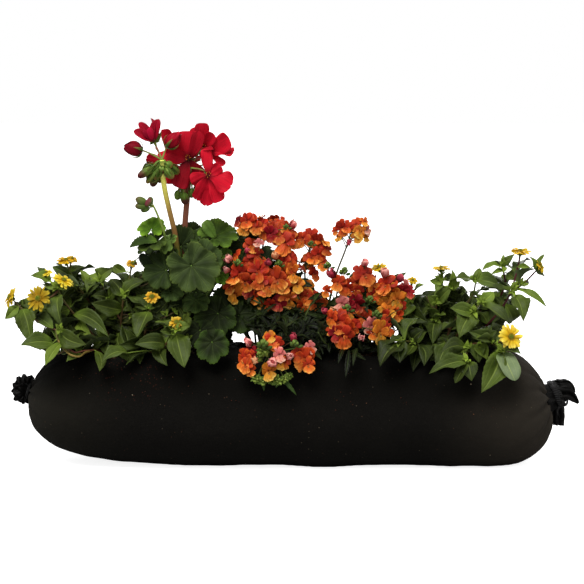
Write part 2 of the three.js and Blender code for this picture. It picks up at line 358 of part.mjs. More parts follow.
const FABRIC = look(0x14120f, 0.95), SOIL = look(0x3a2a1c, 1), CORD = look(0x0c0b0a, 0.8), GREEN = look(0x3c5a28, 0.55), PALE = look(0x7f9a3e, 0.6), STEM = look(0x6b4a34, 0.6);
const GOLD = look(0xe6b41e, 0.6), CRIMSON = look(0xbe1428, 0.5), ORANGE = look(0xdc6e14, 0.5);

// Sleeve sections along x. In each one the bottom is cut off flat where it rests.
function heightAt(v, flat) {
  return at(292, v - 4.4 * flat, 0).z;
}
function sections(inset, sides = 12) {
  const rings = [];
  OUTLINE.forEach(([u, top, low], i) => {
    const flat = Math.min(1, Math.max(0, (low - top - 50) / 60));
    const zt = heightAt(top, 0) - inset, zb = heightAt(low, flat) - 6 * flat + inset, x = at(u, 400, 0).x + (u < 290 ? inset : -inset) * (1 - flat);
    const hz = (zt - zb) / 2, zc = (zt + zb) / 2, hy = HALF_DEPTH * Math.pow(Math.min(1, (low - top) / 121), 0.92) - inset;
    if (hz < 0.8 || hy < 0.8 || (inset > 0 && i % 2)) return;
    rings.push([...Array(sides).keys()].map((k) => {
      const a = (2 * Math.PI * k) / sides, c = Math.cos(a), s = Math.sin(a), e = 2 / 2.25;
      return V(x, hy * Math.sign(c) * Math.abs(c) ** e, zc + hz * Math.sign(s) * Math.abs(s) ** e);
    }));
  });
  return rings;
}
function block(x0, y0, z0, x1, y1, z1) {
  return loft([[V(x0, y0, z0), V(x1, y0, z0), V(x1, y1, z0), V(x0, y1, z0)], [V(x0, y0, z1), V(x1, y0, z1), V(x1, y1, z1), V(x0, y1, z1)]]);
}
const outside = loft(sections(0, 14)).subtract(block(-400, -200, -60, 400, 200, 0));
const room = loft(sections(WALL)).subtract(block(-400, -200, -60, 400, 200, WALL));
const hole = ([x, y, a, b], z0, z1, grow = 0) => loft([z0, z1].map((z) => [...Array(10).keys()].map((k) => V(x + (a + grow) * Math.cos((Math.PI * k) / 5), y + (b + grow) * Math.sin((Math.PI * k) / 5), z))));
// gathered neck and ruffled tail at each end: [neck centre, axis, neck radius, tail rings [along, radius, ripple]]
const LEFT_NECK = { at: at(26.5, 389.5, 2), axis: V(-1, 0, 0.2).normalize(), r: 11, tail: [[-16, 18, 0], [-3.4, 10, 0], [2.6, 10, 0], [5.5, 14, 1], [10, 15.5, 2], [15.5, 12.5, 2.5]] };
const RIGHT_NECK = { at: at(556, 394, 0), axis: V(0.89, 0, 0.42).normalize(), r: 15, tail: [[-16, 22, 0], [-4, 13.5, 0], [4, 13.5, 0], [9, 13, 1], [17, 9, 1.5], [25, 4, 0.5]] };
function tail({ at: c, axis, tail: rings }, grow = 0) {
  const y = V(0, 1, 0), z = axis.clone().cross(y).normalize();
  return loft(rings.map(([l, r, ripple]) => [...Array(10).keys()].map((k) => {
    const a = (2 * Math.PI * k) / 10, w = r + grow + ripple * (k % 2 ? 1 : -1);
    return c.clone().addScaledVector(axis, l).addScaledVector(y, w * Math.cos(a)).addScaledVector(z, w * Math.sin(a));
  })));
}
// the right tail has a second fold that hangs down beside the neck
const FOLD = [at(569, 392, 3), at(570.5, 403, 7), at(564, 414, 6), at(559.5, 426, 2)];
const fold = (grow) => bar(FOLD, 6, 6.5, 6, grow);

// tie cords: closed rings round the necks, the right one with a knot
function ring({ at: c, axis, r }, thick, grow = 0) {
  const y = V(0, 1, 0), z = axis.clone().cross(y).normalize(), n = 12;
  const g = new THREE.TorusGeometry(r, thick + grow, 4, n);
  g.applyMatrix4(new THREE.Matrix4().makeBasis(y, z, y.clone().cross(z)).setPosition(c));
  const points = [], faces = [], p = g.attributes.position, seen = new Map(), idx = [];
  for (let i = 0; i < p.count; i++) {
    const key = [p.getX(i), p.getY(i), p.getZ(i)].map((v) => v.toFixed(3)).join();
    if (!seen.has(key)) {
      seen.set(key, points.length);
      points.push(V(p.getX(i), p.getY(i), p.getZ(i)));
    }
    idx.push(seen.get(key));
  }
  for (let i = 0; i < g.index.count; i += 3) {
    const f = [0, 1, 2].map((k) => idx[g.index.getX(i + k)]);
    if (new Set(f).size === 3) faces.push(f);
  }
  const m = solid(points, faces);
  return m.volume() < 0 ? solid(points, faces.map(([a, b, c2]) => [a, c2, b])) : m;
}
const KNOT = [at(569.8, 384.5, -6), at(572.5, 387.5, -9)];
const tieLeft = (g) => ring({ ...LEFT_NECK, r: 12.6 }, 2, g), tieRight = (g) => ring({ ...RIGHT_NECK, r: 16.9 }, 2.6, g);
piece("tie_cord_left", CORD, [tieLeft], { plain: true });
piece("tie_cord_right", CORD, [tieRight], { plain: true });

const soilRoom = loft(sections(WALL + GAP)).subtract(block(-400, -200, -60, 400, 200, WALL + GAP));
const shell = () => join([outside, tail(LEFT_NECK), tail(RIGHT_NECK), fold(0)]).subtract(room).subtract(join(OPENINGS.map((o) => hole(o, 60, 190))));
piece("planter_sleeve", FABRIC, [() => shell()], { plain: true, cutter: () => join([loft(sections(-GAP, 14)), tail(LEFT_NECK, GAP), tail(RIGHT_NECK, GAP), fold(GAP)]).subtract(soilRoom).subtract(join(OPENINGS.map((o) => hole(o, 60, 190, -GAP)))) });

// Soil: fills the room and rises a little in each opening.
const soil = () => {
  const mounds = OPENINGS.map(([x, y, a, b]) => {
    const rim = (f, z) => [...Array(10).keys()].map((k) => V(x + (a - 0.6) * f * Math.cos((Math.PI * k) / 5), y + (b - 0.6) * f * Math.sin((Math.PI * k) / 5), z));
    return loft([rim(1, 90), rim(1, 124), rim(0.6, 131), [V(x, y, 132)]]);
  });
  return join([soilRoom, ...mounds]);
};
piece("potting_soil", SOIL, [() => soil()], { plain: true, cutter: () => join([loft(sections(WALL)), ...OPENINGS.map(([x, y, a, b]) => {
  const rim = (f, z) => [...Array(10).keys()].map((k) => V(x + a * f * Math.cos((Math.PI * k) / 5), y + b * f * Math.sin((Math.PI * k) / 5), z + GAP));
  return loft([rim(1, 90), rim(1, 124), rim(0.6, 131), [V(x, y, 132 + GAP)]]);
})]) });

// the point of a polyline nearest to p
let turn = 0;
function nearest(lines, p) {
  let best = null, far = Infinity;
  for (const line of lines) for (let i = 0; i + 1 < line.length; i++) {
    const q = new THREE.Line3(line[i], line[i + 1]).closestPointToPoint(p, true, V(0, 0, 0)), d = q.distanceTo(p);
    if (d < far) [best, far] = [q, d];
  }
  turn += 1; // no two branches start from exactly the same point
  return best.clone().add(V(0.17 * Math.cos(turn * 2.4), 0.17 * Math.sin(turn * 2.4), 0.09 * Math.cos(turn)));
}
const TO_VIEW = V(0, -0.72, 0.69);

// ---- pelargonium -----------------------------------------------------------------------------------
const TRUNK = [[188, 353, 6], [187, 335, 5], [185, 312, 4], [183, 290, 3], [182, 272, 2]].map(at3);
const BRANCH = [[[184, 300, 3], [176, 285, -6], [171, 272, -12], [167, 258, -14]], [[186, 318, 4], [198, 306, 0], [210, 292, -4], [217, 276, -6]], [[187, 332, 5], [200, 336, -16], [210, 338, -34]]].map((l) => l.map(at3));
const STALK_A = [[181, 275, 2], [179, 262, -1], [175, 234, -8], [169.6, 211.3, -13], [164.5, 188, -17], [162.3, 170, -19], [162, 160, -20]].map(at3);
const STALK_B = [[183, 273, 2], [184, 255, 2], [185, 225, 0], [187, 200, -2], [188.5, 180, -5], [190, 168, -6]].map(at3);
const STALK_C = [[169, 262, -13], [166, 245, -16], [163.8, 231.8, -20], [159, 218.4, -22], [154, 206.8, -24]].map(at3);
const lobes = (r, n = 8) => {
  const out = [];
  for (let k = 0; k <= n; k++) {
    const a = -158 + (316 * k) / n;
    out.push([90 + a, r * (0.72 + 0.28 * Math.cos((a * Math.PI) / 180)) * (k % 2 ? 1.04 : 0.95), r * (k % 2 ? 0.1 : 0.02)]);
  }
  out.push([270, r * 0.1, 0]);
  return out;
};
// the disc's up is the way of the middle lobe; its hub is where the leaf stalk joins
function round(hub, r, face, way, g) {
  const a = (way * Math.PI) / 180;
  return disc(hub, face, V(Math.cos(a), 0.25 * Math.sin(a), Math.sin(a)), lobes(r), 1.1, 0, g);
}
const stemLines = [TRUNK, ...BRANCH];
function stalkTo(hub, face) {
  const from = nearest(stemLines, hub.clone().add(V(0, 8, -14))), end = hub.clone().addScaledVector(face.clone().normalize(), -0.4);
  const mid = from.clone().lerp(end, 0.5).add(V(0, 4, -5));
  return curve([from, mid, end], 3);
}
const innerParts = INNER.filter((e) => e[3] > 15).flatMap(([u, v, y, r, nx, ny, nz, way]) => {
  const hub = at(u, v, y), face = V(nx, ny, nz), line = stalkTo(hub, face);
  return [(g) => bar(line, 1.3, 1, 3, g), (g) => round(hub, r * SCALE, face, way, g)];
});
const youngBuds = [[[154, 206.8, -24], [139, 198, -25], 4.4], [[154, 206.8, -24], [137.5, 206, -24], 4.2], [[154, 206.8, -24], [148, 203, -28], 5]].map(([a, b, r]) => [at3(a), at3(b), r]);
piece("pelargonium_stem", GREEN, [
  (g) => bar(TRUNK, 5, 3.4, 7, g),
  ...BRANCH.map((l) => (g) => bar(l, 3, 2, 6, g)),
  (g) => bar(STALK_C, 1.5, 1.1, 5, g),
  ...youngBuds.map(([a, b, r]) => (g) => drop(a, b, r, 4, g)),
  ...innerParts,
]);
const HANG = [[141, 172], [148.5, 171.5], [153, 180.5], [161.5, 168], [160, 177], [171, 161], [177, 168], [171, 173]];
const hanging = HANG.map(([u, v], i) => [at(162, 160, -20), at(u - (162 - u) * 0.12, v + 6, -20 + ((i * 37) % 25) - 12), 3.9]);
piece("pelargonium_stalk_budding", GREEN, [
  (g) => bar(STALK_A, 2.6, 2, 6, g),
  (g) => drop(at(162, 165, -20), at(162, 154, -20), 4, 6, g),
  ...hanging.flatMap(([a, b, r]) => {
    const m = a.clone().lerp(b, 0.35);
    return [(g) => bar([a, m.clone().lerp(b, 0.3)], 1, 1, 3, g), (g) => drop(m, b, r, 4, g)];
  }),
  ...[[[142, 150, -22], [127, 148, -24], 9.5], [[167, 145.7, -18], [177.5, 135, -16], 8]].flatMap(([a, b, r]) => [(g) => bar([at(162, 160, -20), at3(a).lerp(at3(b), 0.2)], 1.3, 1.3, 3, g), (g) => drop(at3(a), at3(b), r, 6, g)]),
  (g) => bar([at(162, 160, -20), at(156, 147, -20)], 1.2, 1.4, 4, g),
]);
piece("pelargonium_stalk_open", GREEN, [
  (g) => bar(STALK_B, 2.8, 2.2, 6, g),
  ...[[209.5, 173, -15], [214, 165, 3], [203, 148, 8], [190, 161, -4], [170, 163, 14], [178.5, 190, -8], [183.5, 196, -8], [196, 185, 14]].map((p, i) => (g) => bar([at(190, 168, -6), at3(p)], 1.1, 0.9, 3, g)),
  ...[[[178.5, 190, -8], [177, 199, -9], 3.4], [[183.5, 194, -8], [185.5, 203, -9], 4.2], [[196, 185, 14], [198, 196, 16], 4]].map(([a, b, r]) => (g) => drop(at3(a).lerp(at3(b), -0.3), at3(b), r, 5, g)),
]);
for (const [name, u, v, y, petals] of FLORETS) {
  const c = at(u, v, y), parts = [(g) => drop(c.clone().add(V(0, 3, -2)), c.clone().add(V(0, -4, 1)), 3.2, 5, g)];
  for (const [tu, tv, ty, w] of petals) {
    const tip = at(tu, tv, ty), d = tip.clone().sub(c);
    parts.push((g) => blade(c.clone(), tip, w * SCALE, V(0, -1, 0.3).addScaledVector(d.clone().normalize(), 0.2), PETAL, 0.05, 1.2, g));
  }
  piece(name, CRIMSON, parts);
}
for (const [name, u, v, y, r, nx, ny, nz, way] of ROUNDS) {
  const hub = at(u, v, y), face = V(nx, ny, nz), line = stalkTo(hub, face);
  piece(name, GREEN, [(g) => bar(line, 1.5, 1.1, 4, g), (g) => round(hub, r * SCALE, face, way, g)]);
}

// ---- nemesia ---------------------------------------------------------------------------------------
for (const [name, stem, flowers] of RACEMES) {
  const line = stem.map(at3), parts = [(g) => bar(line, 1.5, 1, 3, g)];
  for (const [u, v, y, r, nx, ny, nz, kind] of flowers) {
    if (r < FINE_FLOWER) continue;
    const c = at(u, v, y), n = V(nx, ny, nz).normalize(), size = r * SCALE;
    const back = c.clone().addScaledVector(n, -2.5), from = nearest([line], c.clone().add(V(0, 3, -10)));
    const bud = [3, 4, 7, 8].includes(kind), way = n.clone().add(V(0, 0, bud ? 0.5 : 0)).normalize();
    const up = V(0, 0, 1).addScaledVector(way, -way.z).normalize(), side = up.clone().cross(way);
    const ringAt = (p, w, f = 0) => [...Array(5).keys()].map((k) => {
      const a = Math.PI / 2 + (2 * Math.PI * k) / 5;
      return p.clone().addScaledVector(side, w * Math.cos(a)).addScaledVector(up, w * Math.sin(a)).addScaledVector(way, f);
    });
    const stalk = (g) => ringAt(from, 0.7 + g);
    if (bud) parts.push((g) => loft([stalk(g), ringAt(back, 0.8 + g), ringAt(back, size * 0.75 + g, size * 0.6), [back.clone().addScaledVector(way, size * 1.6 + g)]]));
    else parts.push((g) => loft([stalk(g), ringAt(back, 0.9 + g, -g), ringAt(c, size + g), [c.clone().addScaledVector(n, 1.2 + g)]]));
  }
  piece(name, ORANGE, parts);
}
const foliage = (lines, count, length, start) => {
  seed = start;
  const leaves = [];
  for (const line of lines) {
    const c = new THREE.CatmullRomCurve3(line, false, "centripetal");
    for (let i = 0; i < count; i++) {
      const f = 0.22 + (0.76 * i) / (count - 1), p = c.getPoint(f), a = 2.4 * i + 1.3 * rnd(), out = V(Math.cos(a), Math.sin(a), 0.35 + 0.5 * rnd());
      const l = length * (0.75 + 0.4 * rnd());
      leaves.push([p, p.clone().addScaledVector(out.normalize(), l), l * 0.3, V(0, 0, 1).addScaledVector(out, -0.3)]);
    }
  }
  return leaves;
};
LEAFY.forEach(([name, stems, count], i) => {
  const lines = stems.map((s) => s.map(at3)), foot = lines[0][0];
  const parts = lines.map((l) => (g) => bar(l, 1.6, 1, 3, g));
  foliage(lines, count, 30, 4100 + 17 * i).forEach(([b, t, w, n], k) => k % 2 || parts.push((g) => blade(b, t, w, n, LEAF, 0.08, 1, g)));
  piece(name, GREEN, parts);
});

// ---- creeping zinnias --------------------------------------------------------------------------------
SHOOTS.forEach(([name, stems, leaves, pairs], index) => {
  seed = 900 + 31 * index;
  const lines = stems.map((s, i) => s.map((p, k) => (k ? at3(p) : at3(p).add(V(0.13 * i, 0.11 * i, -0.17 * i)))));
  const parts = lines.map((l, i) => (g) => bar(l, i ? 1.3 : 1.7, 1, 3, g));
  for (const [bu, bv, by, tu, tv, ty, w] of leaves) {
    if (w < FINE_LEAF) continue;
    const b = at(bu, bv, by), t = at(tu, tv, ty), from = nearest(lines, b);
    if (from.distanceTo(b) > 0.6) parts.push((g) => bar([from, b.clone().lerp(t, 0.06)], 0.9, 0.8, 3, g));
    const root = from.distanceTo(b) > 0.6 ? b.clone().add(V(0.19 * Math.sin(tu), 0.19 * Math.cos(tv), 0.13 * Math.sin(tv))) : from;
    parts.push((g) => blade(root, t, w * SCALE, TO_VIEW, LEAF, 0.08, 1, g));
  }
  // pairs on the far side
  const c = new THREE.CatmullRomCurve3(lines[0], false, "centripetal");
  for (let i = 0; i < pairs; i++) {
    const p = c.getPoint(0.42 + (0.5 * i) / pairs);
    for (const side of [-1, 1]) {
      const d = V(side * (0.5 + 0.5 * rnd()), 0.55 + 0.5 * rnd(), 0.1 + 0.5 * rnd()).normalize(), l = 34 + 10 * rnd();
      if (i % 2 === 0) parts.push((g) => blade(p, p.clone().addScaledVector(d, l), l * 0.42, V(0, 0.3, 1), LEAF, 0.08, 1, g));
    }
  }
  piece(name, GREEN, parts);
});
for (const [name, u, v, y, r, nx, ny, nz, rays] of HEADS) {
  const c = at(u, v, y), n = V(nx, ny, nz).normalize(), size = r * SCALE, up = V(0.1, 0.2, 1).addScaledVector(n, -V(0.1, 0.2, 1).dot(n)).normalize(), side = up.clone().cross(n), count = rays % 2 ? rays + 1 : rays;
  const ringAt = (radius, lift) => [...Array(count).keys()].map((k) => {
    const a = (2 * Math.PI * k) / count, w = radius(k);
    return c.clone().addScaledVector(side, w * Math.cos(a)).addScaledVector(up, w * Math.sin(a)).addScaledVector(n, lift);
  });
  const skin = (g) => loft([[c.clone().addScaledVector(n, -5 - g)], ringAt(() => size * 0.3 + g, -3.2 - g), ringAt((k) => size * (k % 2 ? 0.82 : 1) + g, 0), ringAt(() => size * 0.34 + g, 1.2 + g), [c.clone().addScaledVector(n, 3.6 + g)]]);
  piece(name, GOLD, [skin]);
}

export default root;
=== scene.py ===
# A planted window box: a soft black fabric sleeve of potting soil, tied at both ends, with creeping
# zinnias, a pelargonium and nemesias growing from openings along its top.
# The layout below is in millimetres, and each mesh is written in metres.
import math

import bpy
import numpy as np
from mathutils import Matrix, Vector, noise


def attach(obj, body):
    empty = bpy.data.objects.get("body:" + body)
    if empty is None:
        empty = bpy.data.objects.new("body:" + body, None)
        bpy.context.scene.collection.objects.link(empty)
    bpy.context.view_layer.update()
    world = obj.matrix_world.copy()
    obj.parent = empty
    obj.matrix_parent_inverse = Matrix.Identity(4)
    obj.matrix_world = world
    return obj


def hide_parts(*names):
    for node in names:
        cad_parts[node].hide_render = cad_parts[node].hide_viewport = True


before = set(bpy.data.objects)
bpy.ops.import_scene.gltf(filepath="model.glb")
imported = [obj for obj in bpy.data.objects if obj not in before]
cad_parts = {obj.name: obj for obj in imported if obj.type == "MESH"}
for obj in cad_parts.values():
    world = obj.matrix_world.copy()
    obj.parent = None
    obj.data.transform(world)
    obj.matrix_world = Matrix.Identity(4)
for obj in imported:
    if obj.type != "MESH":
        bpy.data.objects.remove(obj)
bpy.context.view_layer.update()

SCALE, EYE, LOOK, TILT, HALF_DEPTH = 1.145, 1750.0, 195.0, math.radians(7), 78.0
OPENINGS = [[-205, 0, 44, 40], [-123, 2, 33, 38], [-8, 0, 52, 42], [80, 0, 34, 40], [172, 0, 48, 40]]  # centre x, y, half sizes
# Sleeve outline: [x in layout units, top, bottom]
OUTLINE = [[30.8, 405.5, 402.5], [31.8, 393, 415], [35.2, 381.5, 425], [41.6, 370.5, 432.6], [51.4, 359, 440.6], [65, 350, 448], [84.5, 346, 454.2], [116, 344.6, 459.6],
  [150, 344, 462.2], [185, 343.6, 464], [215, 343.5, 464.9], [245, 343.4, 464.3], [280, 343.3, 464.5], [300, 343.2, 465.4], [325, 343.2, 467.6], [345, 343.3, 466.0], [370, 343.6, 464.4], [425, 344.4, 464.5], [462, 345, 465], [496, 348.4, 464.4], [515, 354, 461.2], [530, 366, 454.5], [540.2, 380, 445.5], [547.4, 396, 434], [550.4, 409, 425], [551.4, 416, 419.5]]
# Shoots of the two creeping zinnias: [name, stems, leaves, pairs].
# stems: polylines of [across, down, depth mm]; the first rises from the soil, each later one branches off.
# leaves: [base across, base down, base depth, tip across, tip down, tip depth, width]
SHOOTS = [
["sanvitalia_left_shoot_1",
 [[[104,353,-20],[93,350,-44],[80,354,-60],[66,349,-64],[57.5,339,-62],[56,329,-57]],
  [[56,330,-57],[46,326,-55],[34,319,-52],[22,309,-47],[15,302,-44],[11.5,298,-43]]],
 [[54,338,-62,20.5,345.5,-80,17],[59.4,331,-60,86.5,344.5,-80,17],[61,343,-65,45.2,365.7,-86,11],[53,328.4,-58,34.8,316.3,-38,13],
  [18.5,306,-46,4.8,319,-58,10],[22.3,309,-47,31.3,343,-66,18],[34,319,-52,44,306,-40,11],[80,353,-60,66,362,-78,10]], 3],
["sanvitalia_left_shoot_2",
 [[[108,353,-5],[92,334,-18],[74,314,-28],[62,298,-33],[58,289,-34]],
  [[58,291,-34],[51,297,-42],[42,300,-46],[38.3,298.5,-48]],
  [[58,289,-34],[61,285,-32],[63.8,281,-30]],
  [[58,289,-34],[51,282,-26],[46.5,275,-20]]],
 [[57,289,-35,38,285.7,-20,12],[59,289,-35,77.8,290,-22,12],[58,296,-36,63,327.8,-62,17],[50,281.5,-25,30.6,275.5,-38,12],
  [47,274,-20,37,266.6,-10,7],[74,314,-28,108.7,337,-60,14],[80,320,-26,92,338,-48,10],[70,308,-30,54,317,-10,14]], 3],
["sanvitalia_left_shoot_3",
 [[[116,353,8],[104,326,6],[88,300,0],[74,280,-4],[66,262,-6]]],
 [[73,278,-4,52,266.6,6,11],[70,272,-5,82,266,6,9],[87,298,0,99,285,-18,13],[90,303,1,72,304,18,13],[98,318,4,86,326,24,14],[98,316,4,112,306,-14,14]], 3],
["sanvitalia_left_shoot_4",
 [[[124,353,0],[121,330,-4],[122,312,-8],[124,296,-10],[129,280,-8],[131.5,266,-8]],
  [[121.5,322,-5],[108,298,-4],[100,281,-2]]],
 [[126,272,-8,113.6,265.3,4,9],[130,268,-8,143,255,-10,8],[100,281,-2,113,268,-8,15],[100,282,-2,86,276,10,12],[110,300,-4,116,281,6,9],
  [124,296,-10,147,281.3,-16,15],[123,297,-10,110,279,4,17],[124,300,-11,133.4,317.6,-36,16],[122,310,-9,91.3,303,-24,16],
  [121,326,-5,127.3,357.5,-42,18],[121,330,-5,134,361,-54,14],[108,299,-4,92,296,-18,12]], 2],
["sanvitalia_left_shoot_5",
 [[[140,353,-16],[145,334,-28],[149,314,-36],[152,300,-38]]],
 [[149,309,-36,134.6,305,-26,11],[150,309,-37,162,305,-30,11],[148,312,-37,137.2,337.4,-62,19],[146,330,-30,164,322,-44,14],
  [144,338,-26,129,330,-34,15],[143,344,-22,158,349,-52,17],[150,318,-34,168,300,-22,14],[141,348,-18,115,352,-58,16]], 2],
["sanvitalia_left_shoot_6",
 [[[148,353,-28],[158,349,-48],[169,341,-58],[175,332,-61],[176.4,326,-62]]],
 [[174,328,-61,155,322,-66,12],[177,325,-61,188,312,-52,12],[178,328,-61,190,326,-70,11],[172,336,-60,160,331,-72,11],
  [176,333,-61,185,368,-88,25],[165,344,-55,134.6,344.4,-68,16],[160,348,-50,167.5,366,-80,13],[150,352,-32,126,365,-72,15],
  [152,350,-36,99.5,369,-86,11]], 1],
["sanvitalia_right_shoot_1",
 [[[452,353,0],[470,340,-2],[488,324,-6],[503,306,-8],[511,292,-9],[515,278,-8],[519,262,-6],[520,254,-6]],
  [[511,292,-9],[523,284,-4],[534,273,0],[539,268,2]]],
 [[513,295,-10,523.4,321.5,-34,17],[511,292,-9,482,291.6,-22,13],[513,290,-9,547,307.7,-26,11],[516,276,-8,529,266,-16,9],
  [520,286,-5,534,271,-14,16],[534,271,0,529,256,-6,8],[505,304,-8,513,321,10,14],[488,324,-6,476,310,10,15],[490,322,-6,501,306,-22,13]], 3],
["sanvitalia_right_shoot_2",
 [[[458,353,12],[480,326,14],[498,300,12],[505,284,10],[502,266,8]]],
 [[502,267,8,482,270.6,-4,12],[502,266,8,514.6,254,2,10],[503,271,8,492,276,-6,8],[505,273,8,521,283,-4,14],[501,266,8,497,254,16,10],
  [498,300,12,516,298,26,14],[496,302,12,480,308,24,14]], 3],
["sanvitalia_right_shoot_3",
 [[[440,353,6],[450,330,4],[462,310,0],[473,294,-2],[476,280,-4]],
  [[450,330,4],[440,322,6],[436,310,2],[440,292,2],[443,280,2],[441.5,270,2]]],
 [[475,282,-4,501,287,-14,14],[475,281,-4,447,281,-10,13],[476,280,-4,480,268,4,8],[462,310,0,474,308,-22,14],[450,288,0,452,269,-6,8],
  [442,280,2,429.5,280.6,-8,10],[443,280,2,455,276,12,9],[436,304,2,427.6,296,-10,11],[437,303,2,452,287,-6,12],[437,303,2,440,289,14,10],
  [436,320,4,427,309,-12,12],[436,320,4,446,315,-14,12],[436,322,4,432.7,344.4,-34,17],[450,330,4,464,322,22,14],[462,310,0,448,306,16,14]], 2],
["sanvitalia_right_shoot_4",
 [[[448,353,-12],[458,334,-28],[468,318,-36],[474,311,-38],[481,303,-38]]],
 [[480,304,-38,466,291.6,-34,13],[482,305,-38,510.4,325.3,-56,14],[474,313,-38,459,338.3,-62,20],[472,314,-38,450,308,-46,15],
  [481,303,-38,494,292,-30,12],[462,328,-32,442,330,-50,16],[460,332,-30,478,328,-54,15]], 2],
["sanvitalia_right_shoot_5",
 [[[468,353,-26],[482,344,-46],[493,344,-58],[500.5,348,-64]],
  [[493,344,-58],[502,341,-66],[509,338,-71]],
  [[482,344,-46],[473,344,-54],[466.4,348.3,-60],[467,356,-72],[468.3,363,-80]]],
 [[501,349,-65,521,354.4,-78,11],[500.5,352,-66,481.3,392.7,-94,22],[501,351,-66,506,374,-90,12],[501,352,-64,515,381,-92,18],
  [493,344,-58,468.7,331.4,-64,13],[492,343,-57,476.7,338.3,-76,10],[466.4,348,-60,440.8,353.6,-76,13],[468.3,362,-80,471.8,381.2,-92,15],
  [467,361,-78,429,374,-90,14],[467,362,-79,455,383.3,-92,13],[484,345,-48,497,331,-60,14],[496,345,-60,516,338,-50,10]], 1],
["sanvitalia_right_shoot_6",
 [[[424,353,-14],[420,348,-24],[414,344,-40],[405,341,-52],[399,344,-58]],
  [[420,348,-24],[412,338,0],[408,330,14],[398,308,12],[388,288,12],[380,271,12]],
  [[408,330,14],[411,305,10],[412,284,8]]],
 [[399,345,-58,383,370,-84,18],[399,345,-58,400,363,-84,18],[413.6,345,-42,402,360.7,-76,11],[416,344,-40,424,366,-78,16],
  [404,341,-52,388,344,-70,13],[412,341,-42,424,330,-52,14],[398,306,12,385.5,269,2,9],[388,288,12,406.6,272.3,4,10],[411,300,10,425,285,-4,11],
  [411,303,10,400,318,-14,12],[410,312,11,428,322,-14,15],[409,320,12,404,334,-20,14]], 3],
]
# Flower heads of the creeping zinnias: [name, across, down, depth, radius, facing x, y, z, number of rays]
HEADS = [
["sanvitalia_left_flower_1",38.3,298.5,-50,13.2,-0.25,-0.88,0.40,12],
["sanvitalia_left_flower_2",63.8,279.8,-30,12.6,-0.15,-0.42,0.89,12],
["sanvitalia_left_flower_3",66.0,260.4,-6,9.8,0.05,-0.22,0.97,11],
["sanvitalia_left_flower_4",10.0,297.2,-43,10.6,-0.80,-0.44,0.41,11],
["sanvitalia_left_flower_5",152.0,297.4,-38,8.6,0.05,-0.52,0.85,10],
["sanvitalia_left_flower_6",176.5,322.8,-62,8.0,0.05,-0.62,0.78,10],
["sanvitalia_right_flower_1",520.3,251.4,-6,10.8,0.05,-0.18,0.98,11],
["sanvitalia_right_flower_2",540.3,266.4,2,7.6,0.78,-0.45,0.43,10],
["sanvitalia_right_flower_3",510.9,336.8,-72,12.8,0.20,-0.93,0.30,13],
["sanvitalia_right_flower_4",441.3,268.2,2,9.2,0.00,-0.16,0.99,11],
["sanvitalia_right_flower_5",379.0,267.4,12,8.2,-0.10,-0.35,0.93,10],
]
# Round leaves of the pelargonium: [name, hub across, down, depth, radius, facing x, y, z, way of the middle lobe in the view (degrees from right, anticlockwise)]
ROUNDS = [
["pelargonium_leaf_01",152.5,229.5,-14,15,-0.15,-0.50,0.85,115],
["pelargonium_leaf_02",157.0,241.0,-22,21,-0.25,-0.42,0.87,190],
["pelargonium_leaf_03",170.5,240.0,-24,13,-0.62,-0.62,0.48,250],
["pelargonium_leaf_04",190.0,238.0,16,18,0.10,-0.78,0.62,80],
["pelargonium_leaf_05",213.0,234.5,-12,23,0.15,-0.66,0.74,60],
["pelargonium_leaf_06",236.5,238.0,14,17,0.45,-0.70,0.55,290],
["pelargonium_leaf_07",166.0,270.0,-26,21,-0.30,-0.80,0.52,150],
["pelargonium_leaf_08",191.5,265.3,-44,29,0.05,-0.88,0.47,290],
["pelargonium_leaf_09",229.0,311.0,-22,26,0.20,-0.86,0.46,80],
["pelargonium_leaf_10",212.0,345.0,-62,21,0.10,-0.84,0.53,300],
]
# Young and inner leaves that stay with the pelargonium's main stem: [across, down, depth, radius, facing x, y, z, way]
INNER = [
[171,291,-34,13,-0.25,-0.80,0.55,300],[221,276,-22,9,0.35,-0.80,0.45,280],[226,253,-4,8,0.3,-0.7,0.6,20],[252,236,20,9,0.4,-0.5,0.75,10],
[160,252,44,19,-0.45,0.35,0.82,120],[205,268,50,22,0.15,0.55,0.82,60],[232,290,40,20,0.55,0.35,0.75,20],[178,300,52,21,-0.20,0.70,0.68,200],
[206,318,56,20,0.20,0.75,0.62,330],[152,282,30,17,-0.6,0.25,0.75,160],[196,300,-30,16,0.0,-0.80,0.60,270],[190,336,50,18,-0.1,0.80,0.6,250],
]
# Florets of the pelargonium: [name, centre across, down, depth, petals]; a petal is [tip across, tip down, tip depth, width]
FLORETS = [
["pelargonium_floret_1",208.3,175.5,-18,[[196,200,-22,16],[206,206,-16,14],[219,202,-22,14],[231.5,186,-20,24],[206,149,-12,12],[221,166,-14,12],[191,183,-14,14]]],
["pelargonium_floret_2",209,152,2,[[229.5,139,-8,19],[234,151.5,-6,16],[224,165.5,-4,8],[217,142,6,14]]],
["pelargonium_floret_3",203,148,6,[[202,123,0,14],[214,134,-4,12],[195,127,8,14],[209,150,-14,11]]],
["pelargonium_floret_4",188.4,159,-6,[[187,131,-2,20],[198,131,-10,14],[167,153,-4,18],[179,188,-12,17],[203,184,-4,16]]],
["pelargonium_floret_5",170,163,14,[[146,158,10,12],[165,129,12,11],[171,184,10,12],[176,140,20,14]]],
["pelargonium_floret_6",154,141,-20,[[133.5,131,-24,12],[139,122.5,-18,10],[150.6,118,-16,12],[159,119,-22,12]]]]
